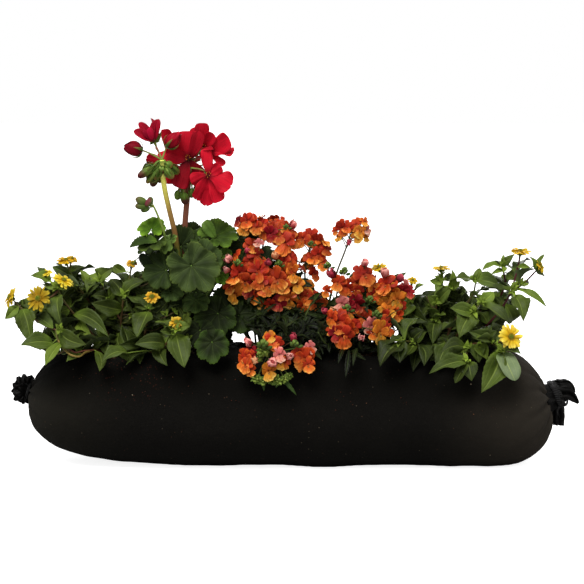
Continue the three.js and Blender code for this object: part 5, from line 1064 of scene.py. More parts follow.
def zinnia_leaf(sk, base, tip, width, face, young=0.0, fine=False, shade=1.0):
    c = sk.chance
    tone, other = green(c, young) * shade, green(c, young) * shade
    sk.blade(base, tip, width, face, tone, "sanvitalia_leaf", (0.78 + 0.14 * c.uniform(-1, 1), 1.04 + 0.12 * c.uniform(-1, 1)), c.uniform(0.05, 0.2), c.uniform(0.12, 0.75),
             wave=c.uniform(0.12, 0.32), waves=c.uniform(0.9, 2.2), cup=c.uniform(-0.25, 0.15), bend=c.uniform(-0.1, 0.1), twist=c.uniform(-1.0, 1.0), rows=9 if fine else 20, cols=4 if fine else 8, neck=0.1,
             thick=0.32, base_tint=mixed(tone, rgb(134, 162, 56) * shade, 0.5), tip_tint=other, teeth=0.0 if fine else 0.06)


def rosette(sk, p, size, away, count=5, shade=1.0):
    """Young leaves packed at a shoot's tip."""
    c = sk.chance
    for k in range(count):
        a = 2.4 * k + c.uniform(0, 6.28)
        s = across_of(V(1, 0, 0.2), away)
        o = np.cross(away, s)
        d = unit(away * c.uniform(0.3, 1.0) + (math.cos(a) * s + math.sin(a) * o) * c.uniform(0.6, 1.0))
        l = size * c.uniform(0.6, 1.2)
        sk.blade(p, p + d * l, l * c.uniform(0.36, 0.5), away + 0.3 * V(0, 0, 1) + 0.3 * c.normal(size=3), green(c, c.uniform(0.35, 1.0)) * shade, "sanvitalia_leaf", (0.65, 0.9), c.uniform(0.05, 0.2), c.uniform(0.1, 0.7), rows=8, cols=4, thick=0.3,
                 base_tint=rgb(150, 180, 66) * shade)
    sk.pod(p - away * 0.5, p + away * size * 0.3, size * 0.13, [rgb(96, 130, 40) * shade, rgb(150, 190, 60) * shade], "bud", 8, 5, 4, 0.15)


def scatter(poly, step, chance):
    """Points spread evenly inside a polygon of the layout."""
    us, vs = [p[0] for p in poly], [p[1] for p in poly]
    out, row = [], 0
    v = min(vs)
    while v < max(vs):
        u = min(us) + (row % 2) * step / 2
        while u < max(us):
            q = (u + chance.uniform(-0.35, 0.35) * step, v + chance.uniform(-0.35, 0.35) * step)
            if within(poly, *q) and not any(math.hypot(q[0] - a, q[1] - b) < r + 1.5 for a, b, r in GAPS):
                out.append(q)
            u += step
        v += step * 0.8
        row += 1
    return out


def hero_depth(marks, u, v):
    """How near the foremost leaves stand at a place of the layout."""
    w = np.array([1.0 / ((u - a) ** 2 + (v - b) ** 2 + 40) for a, b, _ in marks])
    return float((w * np.array([y for _, _, y in marks])).sum() / w.sum())


def hero_floor(leaves, u, v):
    """The farthest of the foremost leaves that cover a place of the layout."""
    far = -200.0
    for bu, bv, by, tu, tv, ty, w in leaves:
        du, dv = tu - bu, tv - bv
        f = min(1.0, max(0.0, ((u - bu) * du + (v - bv) * dv) / (du * du + dv * dv)))
        if math.hypot(u - bu - f * du, v - bv - f * dv) < w * 0.55 + 2:
            far = max(far, by + f * (ty - by))
    return far


def side_twig(sk, lines, node, tint, r=0.75):
    """A side shoot from the nearest stem up to a node; returns where it starts."""
    start = nearest(lines, node + V(0, 0, -14))
    reach = np.linalg.norm(node - start)
    mid = mixed(start, node, 0.5) + V(0, 0, -0.12 * reach)
    sk.tube(smooth([start, mid, node], 8), [r, r * 0.8], tint, "stem", 6)
    return start


HEAD_SPOTS = [(h[1], h[2], h[4]) for h in HEADS]


# leaves as they are seen, where they differ from the solids' leaves: (shoot, tip across, tip down) to new values
RESHAPED = {("sanvitalia_left_shoot_1", 20.5, 345.5): [53, 343.2, -62, 20.5, 345.5, -80, 17], ("sanvitalia_left_shoot_6", 99.5, 369): [128, 353, -58, 101, 363, -80, 14], ("sanvitalia_left_shoot_6", 185, 368): [176, 334, -61, 184.5, 367.5, -86, 21], ("sanvitalia_right_shoot_6", 383, 370): [399, 345, -58, 380, 367, -84, 23], ("sanvitalia_right_shoot_2", 482, 270.6): [502, 267, 8, 482, 270.6, -4, 7.5], ("sanvitalia_right_shoot_2", 514.6, 254): [500, 266, 8, 514.6, 254, 2, 7.5],
            ("sanvitalia_right_shoot_2", 492, 276): [503, 271, 8, 490, 275, -6, 5], ("sanvitalia_right_shoot_2", 521, 283): [507, 273, 8, 521, 283, -4, 11], ("sanvitalia_right_shoot_2", 497, 254): [502, 265, 8, 503, 254.5, 16, 4],
            ("sanvitalia_right_shoot_1", 547, 307.7): [513, 289, -9, 547, 307.7, -26, 7], ("sanvitalia_right_shoot_1", 529, 266): [518, 267, -8, 530.5, 267.5, -16, 5], ("sanvitalia_right_shoot_1", 534, 271): [519, 287, -5, 535.5, 269, -14, 13],
            ("sanvitalia_right_shoot_1", 529, 256): [535, 269, 0, 529, 256, -6, 6.5], ("sanvitalia_right_shoot_1", 482, 291.6): [511, 292, -9, 482, 289, -22, 9]}
HUBS = {"sanvitalia_left_shoot_1": [(59.4, 331, -65)], "sanvitalia_left_shoot_2": [(57, 289, -38), (50, 281.5, -28)], "sanvitalia_left_shoot_4": [(124, 296, -14), (100, 281, -5)], "sanvitalia_left_shoot_5": [(143, 346, -24)],
        "sanvitalia_left_shoot_6": [(177, 331, -67)], "sanvitalia_right_shoot_1": [(513, 291, -14), (521, 285, -9)], "sanvitalia_right_shoot_2": [(504, 267, 3)],
        "sanvitalia_right_shoot_3": [(475, 281, -8), (436, 303, -3), (436, 320, -2), (442, 281, -1)], "sanvitalia_right_shoot_4": [(481, 303, -42), (474, 313, -42)],
        "sanvitalia_right_shoot_5": [(466.4, 348.3, -65), (500.5, 352, -70), (483, 345, -50)], "sanvitalia_right_shoot_6": [(399, 345, -62), (411, 301, 6), (415, 345, -44)]}
EXTRA = {"sanvitalia_left_shoot_1": [[96, 351, -50, 99.5, 371.5, -84, 10], [70, 347, -62, 84, 333, -50, 12]], "sanvitalia_right_shoot_1": [[536, 267, 0, 544.5, 254, 4, 5], [536, 268, 0, 545, 276.5, -4, 5]],
         "sanvitalia_right_shoot_5": [[466, 349, -60, 447, 365, -72, 17], [480, 345, -50, 479, 363, -66, 14], [477, 345, -52, 487, 360, -68, 12], [498, 350, -62, 490, 372, -78, 14]],
         "sanvitalia_right_shoot_4": [[450, 345, -40, 438, 370, -66, 15], [440, 346, -36, 430, 361, -58, 15], [456, 343, -36, 459, 362, -60, 15]],
         "sanvitalia_right_shoot_6": [[418, 349, -30, 413, 372, -62, 14], [424, 350, -20, 440, 362, -52, 15], [411, 340, -30, 398, 350, -50, 12]],
         "sanvitalia_left_shoot_5": [[141, 350, -20, 140, 364, -58, 14], [139, 345, -20, 118, 345, -46, 15]], "sanvitalia_left_shoot_4": [[122, 340, -5, 108, 357, -50, 14], [122, 340, -5, 96, 346, -44, 13]],
         "sanvitalia_left_shoot_3": [[108, 338, 6, 92, 352, -34, 13], [98, 330, 0, 86, 351, -16, 14], [88, 284, -6, 80, 270, -2, 9], [97, 281, -4, 87, 293, -16, 11]], "sanvitalia_right_shoot_3": [[442, 281, 2, 436, 292, -12, 8], [450, 289, 0, 461, 281, -8, 8]]}


# the low leaves that the light still reaches, by where their tips are
BRIGHT = {(184.5, 367.5), (20.5, 345.5), (86.5, 344.5), (45.2, 365.7), (481.3, 392.7), (521.0, 354.4), (471.8, 381.2), (510.4, 325.3), (468.7, 331.4)}


def make_shoots():
    marks, heroes, tables = {"left": [], "right": []}, {"left": [], "right": []}, []
    for name, stems, leaves, pairs in SHOOTS:
        leaves = [RESHAPED.get((name, l[3], l[4]), l) for l in leaves] + EXTRA.get(name, [])
        tables.append((name, stems, leaves, pairs))
        for bu, bv, by, tu, tv, ty, w in leaves:
            marks["left" if "left" in name else "right"] += [(bu, bv, by), ((bu + tu) / 2, (bv + tv) / 2, (by + ty) / 2), (tu, tv, ty)]
            heroes["left" if "left" in name else "right"].append((bu, bv, by, tu, tv, ty, w))
    skins = {}
    for index, (name, stems, leaves, pairs) in enumerate(tables):
        sk = Skin(100 + index)
        c = sk.chance
        lines = [[at3(p) for p in s] for s in stems]
        skins[name] = (sk, lines)
        red, top = rgb(84, 40, 36), rgb(100, 116, 50)
        if name in ("sanvitalia_right_shoot_1", "sanvitalia_right_shoot_2"):
            top = rgb(86, 30, 46)
        for k, line in enumerate(lines):
            pts = smooth(line, 8 * (len(line) - 1))
            sk.tube(pts, [1.5, 1.2, 0.95] if k == 0 else [1.15, 0.9], [mixed(red, top, 0.1), mixed(red, top, 0.3), mixed(red, top, 0.7)], "stem", 8, 0.04)
        if name == "sanvitalia_left_shoot_1":  # bare runners that arch over the rim
            for pts, r, tone in (([(58, 340, -62), (64, 349, -70), (71, 355, -77), (79, 356.5, -76), (85, 352.5, -68), (92, 351, -48)], 1.15, rgb(132, 112, 54)), ([(59, 341, -62), (67, 347.5, -69), (75, 352.5, -73), (83, 351, -66), (96, 350, -44)], 1.0, rgb(112, 66, 50))):
                sk.tube(smooth([at3(p) for p in pts], 30), [r, r, r * 0.8], tone, "stem", 8, 0.03)
        bases = {}
        top = rgb(100, 116, 50)
        for bu, bv, by, tu, tv, ty, w in leaves:
            b, t = at(bu, bv, by), at(tu, tv, ty)
            near = nearest(lines, b)
            if np.linalg.norm(near - b) > 0.6:
                sk.tube(smooth([near, mixed(near, b, 0.5) + V(0, 0, 0.6), b, mixed(b, t, 0.06)], 6), [0.8, 0.65], mixed(top, rgb(124, 150, 56), 0.5), "stem", 6)
            face = TO_VIEW + 0.4 * c.normal(size=3)
            young = 0.1 if w > 12 else 0.3
            under = (tu, tv) == (515, 381)  # a leaf that shows its pale underside
            if under:
                sk.blade(b, t, w * SCALE * 1.2, TO_VIEW + V(0.2, 0, 0), rgb(126, 142, 104), "sanvitalia_leaf", (0.55, 0.5), 0.1, 0.3, wave=0.1, waves=1.4, bend=0.05, rows=18, cols=8, neck=0.1, thick=0.32, base_tint=rgb(140, 168, 96), tip_tint=rgb(112, 128, 96), blunt=1.3)
            else:
                # painted shade and light: these leaves are darkened low down, on the right half of the left plant and
                # at the lower left of the right plant, and lightened high on the right plant and on the low leaves that
                # the light still reaches
                dim = 1.0
                if "left" in name and bu > 100:
                    dim = 0.84
                if "right" in name and bv > 315 and bu < 470:
                    dim = 0.85
                if bv > 338 and (round(tu, 1), round(tv, 1)) not in BRIGHT:
                    dim = min(dim, 0.76)
                if "right" in name and bv < 305:
                    dim = 1.2
                if (round(tu, 1), round(tv, 1)) in BRIGHT:
                    dim = 1.1
                if "right" in name and bv > 318 and bu < 425:
                    dim = 0.32
                zinnia_leaf(sk, b, t, w * SCALE * 1.12, face, young * c.uniform(0, 1.7), shade=dim)
            key = (round(bu / 6), round(bv / 6))
            bases.setdefault(key, []).append((b, w))
        for found in bases.values():
            if len(found) >= 2:
                p = np.mean([b for b, _ in found], axis=0)
                rosette(sk, p + V(0, -1.6, 1.6), 9.0, unit(V(c.uniform(-0.3, 0.3), -0.8, 0.75)), 5)
        for u, v, y in HUBS.get(name, []):
            p = at(u, v, y)
            away = unit(V(c.uniform(-0.25, 0.25), -0.9, 0.55))
            near = nearest(lines, p)
            if np.linalg.norm(near - p) > 0.8:
                sk.tube(smooth([near, mixed(near, p, 0.5), p], 4), [0.9, 0.8], rgb(124, 146, 56), "stem", 6)
            rosette(sk, p, 9.5, away, 8, 1.0)
            rosette(sk, p + away * 1.2, 4.6, away, 6, 1.2)
        # pairs on the far side, as in the solids
        dice = Dice(900 + 31 * index)
        for i in range(pairs):
            p = curve_point(lines[0], 0.42 + 0.5 * i / pairs)
            for side in (-1, 1):
                d = unit(V(side * (0.5 + 0.5 * dice()), 0.55 + 0.5 * dice(), 0.1 + 0.5 * dice()))
                l = 34 + 10 * dice()
                while (p + d * l)[1] > 78 or abs((p + d * l)[0]) > 320:
                    l *= 0.9
                zinnia_leaf(sk, p, p + d * l, l * 0.42, V(0, 0.3, 1), 0.05)
    # side shoots that fill each plant, from just behind the foremost leaves to its back
    chance = np.random.RandomState(7)
    for part, poly in (("left", LEFT_MASS), ("right", RIGHT_MASS)):
        own = [skins[n] for n in skins if part in n]
        for layer, (step, count) in enumerate(((12.0, 4), (13.5, 4), (15.0, 4), (17.0, 4))):
            for u, v in scatter(poly, step, chance):
                front = hero_depth(marks[part], u, v)
                y = (front + 12 + chance.uniform(-6, 8), front + 34 + chance.uniform(-8, 10), 34 + chance.uniform(-12, 12), 62 + chance.uniform(-10, 6))[layer]
                y = min(max(y, hero_floor(heroes[part], u, v) + 7), 70)
                if layer >= 2 and at(u, v, y)[0] < -258:
                    y = max(min(y, front + 20), hero_floor(heroes[part], u, v) + 7)
                node = at(u, v, y)
                if layer >= 2:
                    node = at(u, v, y) + V(0, 0, -0.12 * y)
                if node[2] < 139 + 3 * layer:
                    if layer > 1 or node[2] < 130 and y > -76:
                        continue
                if any(math.hypot(u - a, v - b) < r * 0.9 for a, b, r in HEAD_SPOTS) and layer == 0:
                    continue
                sk, lines = min(own, key=lambda e: np.linalg.norm(nearest(e[1], node + V(0, 0, -14)) - node))
                c = sk.chance
                back = layer >= 2
                away = unit(V(c.uniform(-0.25, 0.25), 0.75 if back else -0.75, 0.65))
                side_twig(sk, lines, node, mixed(rgb(84, 40, 36), rgb(84, 100, 46), c.uniform(0.2, 1.0)))
                # painted shade: filler leaves are darker the deeper inside the plant they stand, darker still in the
                # right plant and low at the front; the back layer stays light
                shade = (0.74, 0.42, 0.5, 0.95)[layer] * (0.84 if part == "right" and layer < 3 else 1.0)
                if layer == 0 and v > 318:
                    shade *= 0.8
                s = across_of(V(1, 0, 0), away)
                o = np.cross(away, s)
                turn = c.uniform(0, 6.28)
                for k in range(count):
                    for attempt in range(5):
                        a = turn + 2 * math.pi * k / count + c.uniform(-0.4, 0.4)
                        d = unit(math.cos(a) * s + math.sin(a) * o + away * c.uniform(-0.1, 0.35) - V(0, 0, 0.15))
                        l = c.uniform(15, 30) if layer < 3 else c.uniform(22, 36)
                        tip, half = node + d * l, node + d * l * 0.55
                        w = l * c.uniform(0.4, 0.52)
                        q = unit(np.cross(d, away)) * w * 0.42
                        if not (tip[2] > (104 if tip[1] < -76 else 131) and -88 < tip[1] < 78 and abs(tip[0]) < 316 and clear(poly, tip, half + q, half - q)):
                            continue
                        if layer < 2 and any(x[1] < hero_floor(heroes[part], *drawn(x)) + 2 for x in (tip, half)):
                            continue
                        if layer == 0 and any(math.hypot(drawn(x)[0] - e, drawn(x)[1] - f) < r * 0.8 for x in (tip, half) for e, f, r in HEAD_SPOTS):
                            continue
                        zinnia_leaf(sk, node, tip, w, away + 0.35 * c.normal(size=3), c.uniform(0, 0.2), True, shade)
                        break
                if layer == 0 and c.uniform() < 0.5 or layer == 3 and c.uniform() < 0.4:
                    rosette(sk, node, 8.0, away, 5, shade)
    for name, (sk, _) in skins.items():
        sk.build(name, MATS, name, slot="sanvitalia_leaf")


HEAD_TINTS = {"sanvitalia_left_flower_1": ((166, 136, 22), (198, 178, 50)), "sanvitalia_left_flower_2": ((234, 208, 30), (250, 238, 90)), "sanvitalia_left_flower_3": ((208, 164, 18), (234, 196, 42)),
              "sanvitalia_left_flower_4": ((204, 172, 24), (224, 200, 50)), "sanvitalia_left_flower_5": ((202, 150, 24), (232, 196, 70)), "sanvitalia_left_flower_6": ((198, 156, 28), (228, 200, 80)),
              "sanvitalia_right_flower_3": ((240, 208, 44), (252, 238, 104))}
HEAD_FACES = {"sanvitalia_left_flower_2": (63.5, 280.5, 11.4, (0.46, -0.32, 0.82)), "sanvitalia_left_flower_5": (152.0, 297.2, 8.0, (0.0, -0.66, 0.75)), "sanvitalia_left_flower_6": (176.5, 322.6, 7.6, (0.05, -0.72, 0.69))}


def sun_head(sk, centre, n, size, rays, inner, outer, eye=0.25, slim=1.0):
    c = sk.chance
    up = across_of(V(0.1, 0.2, 1), n)
    side = np.cross(up, n)
    for ring, (count, reach, lift) in enumerate(((rays + 3, 1.0, 0.0), (rays - 2, 0.88, 0.8))):
        for k in range(count):
            a = 2 * np.pi * (k + 0.5 * ring) / count + 0.09 * c.normal()
            d = math.cos(a) * side + math.sin(a) * up
            long = size * reach * c.uniform(0.88, 1.06)
            base = centre + d * size * 0.16 + n * (lift - 0.4)
            tip = centre + d * long + n * (lift + size * c.uniform(-0.2, 0.14))
            w = 2 * np.pi * size / rays * c.uniform(0.5, 0.64) * slim
            sk.blade(base, tip, w, n + 0.25 * c.normal(size=3), inner * c.uniform(0.75, 1.1), "golden_petal", (0.42, 0.16), 0.05, -0.2, 0.06, 1.5, cup=c.uniform(-0.1, 0.3), rows=11, cols=8, notch=0.11,
                     thick=0.3, tip_tint=outer * c.uniform(0.85, 1.1), base_tint=inner * V(0.7, 0.5, 0.5), twist=0.4 * c.normal(), neck=0.3, blunt=1.7)
    # the domed disc with its florets
    a = 2 * np.pi * np.arange(20) / 20
    rings = [centre + n * h + (w * size * np.cos(a))[:, None] * side + (w * size * np.sin(a))[:, None] * up for w, h in ((eye * 0.4, -1.2), (eye * 0.95, -1.0), (eye, 0.3), (eye * 0.9, 1.4), (eye * 0.6, 2.0), (eye * 0.2, 2.3))]
    sk.loft(rings, rgb(96, 98, 28), "disc_floret")
    for k in range(72):
        f = math.sqrt((k + 0.5) / 72)
        b = 2.39996 * k
        d = math.cos(b) * side + math.sin(b) * up
        foot = centre + d * size * eye * f + n * (2.2 - 2.0 * f * f)
        head = foot + unit(n + 0.6 * f * d) * size * 0.1
        t = mixed(rgb(120, 140, 40), rgb(196, 146, 34), f**2.5) * c.uniform(0.7, 1.3)
        sk.pod(foot, head, size * 0.032, [t * 0.6, t, t * 1.2], "disc_floret", 5, 3)
    # green cup of bracts behind
    for k in range(9):
        b = 2 * np.pi * k / 9
        d = math.cos(b) * side + math.sin(b) * up
        sk.blade(centre - n * 4.2 + d * 1.2, centre - n * 1.3 + d * size * c.uniform(0.42, 0.58), size * 0.3, -n + 0.6 * d, green(c, 0.35), "sanvitalia_leaf", (0.5, 0.8), 0.1, 0.1, rows=7, cols=4, thick=0.3)
    sk.loft([centre - n * h + (w * np.cos(a))[:, None] * side + (w * np.sin(a))[:, None] * up for w, h in ((1.0, 6.4), (1.5, 5.0), (size * 0.22, 3.0), (size * 0.24, 1.0), (size * 0.18, 0.4))], rgb(86, 108, 40), "stem")


# smaller heads beside the others: owner, across, down, depth, size, facing
MORE_HEADS = [("sanvitalia_left_flower_2", 46.5, 273, -26, 7.2, (-0.22, -0.3, 0.92)), ("sanvitalia_left_flower_3", 72, 258.8, -8, 6.0, (0.3, -0.35, 0.88)), ("sanvitalia_left_flower_5", 132, 263.5, -10, 6.2, (0.1, -0.5, 0.85)),
              ("sanvitalia_right_flower_5", 412.5, 280.5, 0, 5.6, (0.2, -0.55, 0.8))]


def make_heads():
    for index, (name, u, v, y, r, nx, ny, nz, rays) in enumerate(HEADS):
        sk = Skin(300 + index)
        if name in HEAD_FACES:
            u, v, r, (nx, ny, nz) = HEAD_FACES[name]
        centre, n, size = at(u, v, y - 3), unit(V(nx, ny, nz)), r * SCALE
        inner, outer = (rgb(*x) for x in HEAD_TINTS.get(name, ((210, 174, 24), (236, 208, 54))))
        sun_head(sk, centre, n, size, rays, inner, outer, 0.4 if name[-13:] in ("left_flower_5", "left_flower_6") else 0.25, 0.8 if name[-13:] == "left_flower_1" else 1.0)
        for owner, u2, v2, y2, r2, face in MORE_HEADS:
            if owner == name:
                c2, n2 = at(u2, v2, y2), unit(V(*face))
                sun_head(sk, c2, n2, r2 * SCALE, 9, inner * 0.95, outer * 0.95)
                line = next([at3(p) for p in s] for s in [s for nm, st, _, _ in SHOOTS for s in st] if math.hypot(s[-1][0] - u2, s[-1][1] - v2) < 14)
                start = nearest([line], c2 + V(0, 0, -12))
                sk.tube(smooth([start, mixed(start, c2 - n2 * 6, 0.5) + V(0, 0, 1), c2 - n2 * 6, c2 - n2 * 4], 8), [0.8, 0.9], rgb(96, 84, 50), "stem", 6)
        sk.build(name, MATS, name, slot="golden_petal")


# ---- pelargonium -----------------------------------------------------------------------------------
TRUNK = [at3(p) for p in [[188, 353, 6], [187, 335, 5], [185, 312, 4], [183, 290, 3], [182, 272, 2]]]
BRANCH = [[at3(p) for p in l] for l in [[[184, 300, 3], [176, 285, -6], [171, 272, -12], [167, 258, -14]], [[186, 318, 4], [198, 306, 0], [210, 292, -4], [217, 276, -6]], [[187, 332, 5], [200, 336, -16], [210, 338, -34]]]]
STALK_A = [at3(p) for p in [[181, 275, 2], [179, 262, -1], [175, 234, -8], [169.6, 211.3, -13], [164.5, 188, -17], [162.3, 170, -19], [162, 160, -20]]]
STALK_B = [at3(p) for p in [[183, 273, 6], [184, 255, 8], [185, 225, 6], [187, 200, 1], [188.5, 180, -4], [190, 168, -6]]]
STALK_C = [at3(p) for p in [[169, 262, -13], [166, 245, -16], [163.8, 231.8, -20], [159, 218.4, -22], [154, 206.8, -24]]]
STEM_LINES = [TRUNK] + BRANCH


def round_leaf(sk, hub, r, face, way, tint, margin=None, deep=1.0, fine=True, even=0.26):
    """A pleated, scalloped kidney leaf: way is its middle lobe's direction in the view."""
    c = sk.chance
    n = unit(face)
    w = math.radians(way)
    up = across_of(V(math.cos(w), 0.25 * math.sin(w), math.sin(w)), n)
    side = np.cross(up, n)
    m, k, teeth = (222, 14, 5) if fine else (132, 9, 3)
    a = np.linspace(160, -160, m + 1)
    rho = np.linspace(0.03, 1, k + 1) ** 0.9
    A, R = np.meshgrid(a, rho, indexing="ij")
    rad = np.radians(A)
    lobe = A / 44.0
    ph = c.uniform(0, 6.28, 4)
    vary = 1 + 0.05 * np.sin(2 * rad + ph[1]) + 0.03 * np.sin(5 * rad + ph[2])
    edge = (1 - even + even * np.cos(rad)) * vary
    ripple = np.abs(np.cos(np.pi * lobe)) ** 0.8
    edge = edge * (1 + (0.16 * (ripple - 0.62) + 0.055 * (np.abs(np.cos(teeth * np.pi * lobe)) ** 0.7 - 0.55)) * R**2.5)
    dist = R * r * edge * 1.02
    pleat = -np.cos(2 * np.pi * lobe) * 0.075 * r * R**1.2 * deep * (1 - 0.25 * R) + 0.03 * r * np.cos(4 * np.pi * lobe + 0.4) * R**3 * deep
    dish = 0.2 * r * R**1.5 * deep - 0.12 * r * R**4 * deep
    wave = (0.09 * np.sin(2.5 * rad + ph[3]) + 0.05 * np.sin(4 * rad + ph[0])) * r * R**2.2 * deep
    G = hub + (dist * np.sin(-rad))[..., None] * side + (dist * np.cos(rad))[..., None] * up + (pleat + dish + wave)[..., None] * n
    T = np.broadcast_to(tint, G.shape).copy()
    if margin is not None:
        f = (np.clip((R - 0.5) / 0.5, 0, 1) ** 1.6)[..., None]
        T = T * (1 - f) + np.asarray(margin) * f
    # painted light and shade across the pleats: the tint is lighter along the sunk veins and darker on the raised folds
    # between them
    shade = 1 - 0.28 * min(1.0, deep) * np.clip(-np.cos(2 * np.pi * lobe), -1, 1) * np.minimum(1, R * 1.5)
    # the grid turns so that its upper side is towards n
    sk.sheet(G, T * shade[..., None], "pelargonium_leaf", 0.45, lobe, R)


def leaf_stalk(sk, hub, face, r0=1.25, r1=0.9):
    start = nearest(STEM_LINES, hub + V(0, 8, -14))
    end = hub - unit(face) * 0.2
    mid = mixed(start, end, 0.5) + V(0, 4, -5)
    sk.tube(smooth([start, mid, end], 16), [r0 * 1.25, r0, r1], [rgb(80, 92, 42), rgb(92, 116, 50), rgb(100, 130, 54)], "pelargonium_stem", 10, 0.02)


LEAF_TINTS = {"pelargonium_leaf_05": ((55, 76, 23), (90, 120, 40)), "pelargonium_leaf_06": ((40, 52, 22), (54, 74, 30)), "pelargonium_leaf_04": ((42, 54, 24), (58, 74, 32)), "pelargonium_leaf_01": ((86, 122, 30), (118, 156, 42)),
              "pelargonium_leaf_02": ((52, 66, 26), (76, 94, 36)), "pelargonium_leaf_03": ((86, 108, 50), (106, 132, 62)), "pelargonium_leaf_07": ((46, 60, 27), (56, 72, 32)),
              "pelargonium_leaf_09": ((36, 46, 21), (48, 64, 27)), "pelargonium_leaf_10": ((34, 43, 19), (58, 80, 30)), "pelargonium_leaf_08": ((54, 67, 34), (68, 84, 40))}
# leaves as they are seen, where they differ from the solids: hub across, down, depth, radius, facing, way, how even
LEAF_FORMS = {"pelargonium_leaf_08": (191.5, 265.5, -44, 28, (0.05, -0.88, 0.47), 304, 0.13), "pelargonium_leaf_07": (166, 270, -30, 24, (-0.3, -0.82, 0.5), 150, 0.16), "pelargonium_leaf_05": (214.5, 236.5, -12, 22.5, (0.15, -0.66, 0.74), 42, 0.2),
              "pelargonium_leaf_01": (151.5, 229.5, -16, 14, (-0.05, -0.72, 0.7), 92, 0.1), "pelargonium_leaf_10": (212, 342, -58, 20, (0.05, -0.86, 0.5), 275, 0.2)}
# leaves behind the others that close the middle of the plant: across, down, depth, radius, facing x, y, z, way
BEHIND = [[152, 246, 22, 15, -0.3, -0.6, 0.7, 170], [176, 252, 34, 18, 0.1, -0.7, 0.6, 120], [203, 250, 34, 17, 0.1, -0.6, 0.7, 60], [224, 264, 26, 19, 0.3, -0.7, 0.6, 40], [240, 258, 40, 15, 0.4, -0.6, 0.7, 30],
          [160, 278, 24, 17, -0.3, -0.7, 0.6, 200], [186, 284, 30, 19, 0.0, -0.8, 0.6, 260], [214, 270, 10, 17, 0.1, -0.8, 0.5, 300], [236, 284, 22, 16, 0.3, -0.8, 0.5, 320], [172, 306, 22, 17, -0.2, -0.8, 0.5, 240],
          [196, 318, 26, 19, 0.1, -0.8, 0.5, 280], [220, 326, 26, 17, 0.2, -0.8, 0.5, 310], [192, 342, 14, 15, -0.1, -0.8, 0.5, 260], [221, 344, 10, 15, 0.2, -0.8, 0.5, 300], [244, 318, 20, 14, 0.3, -0.8, 0.5, 340],
          [184, 300, -26, 13, -0.2, -0.85, 0.5, 230], [193, 312, -22, 13, 0.1, -0.85, 0.5, 250], [228, 284, 0, 14, 0.2, -0.8, 0.5, 330],
          [196, 292, 8, 16, 0.0, -0.85, 0.5, 270], [208, 244, 10, 12, 0.1, -0.7, 0.6, 80], [168, 280, 6, 15, -0.1, -0.85, 0.5, 200]]


# across, down, depth, radius, facing x, y, z, way, blade, margin
FRONT = [[203, 262, -34, 22, 0.05, -0.85, 0.52, 80, (46, 60, 28), (62, 80, 36)], [181, 246, 0.5, 20, -0.05, -0.98, 0.2, 96, (44, 57, 27), (56, 70, 33)], [228, 247, -2, 16, 0.3, -0.8, 0.5, 330, (44, 58, 26), (56, 74, 32)],
         [218, 313, -30, 24, -0.1, -0.88, 0.45, 235, (34, 43, 20), (52, 70, 28)], [239, 315, -26, 19, 0.3, -0.85, 0.4, 320, (34, 43, 20), (54, 74, 28)], [200, 330, -40, 18, -0.05, -0.88, 0.45, 265, (32, 40, 19), (42, 54, 25)],
         [177, 284, -22, 17, -0.1, -0.85, 0.5, 235, (36, 46, 22), (46, 60, 28)], [199, 238, 0, 12, -0.2, -0.65, 0.7, 95, (58, 76, 34), (78, 98, 46)], [224, 254, -16, 8, 0.1, -0.7, 0.7, 40, (72, 104, 32), (96, 134, 44)],
         [266, 257, -22, 10, 0.1, -0.8, 0.6, 80, (30, 40, 20), (44, 58, 28)], [252, 240, -4, 9, 0.2, -0.7, 0.6, 60, (30, 40, 20), (44, 58, 28)]]


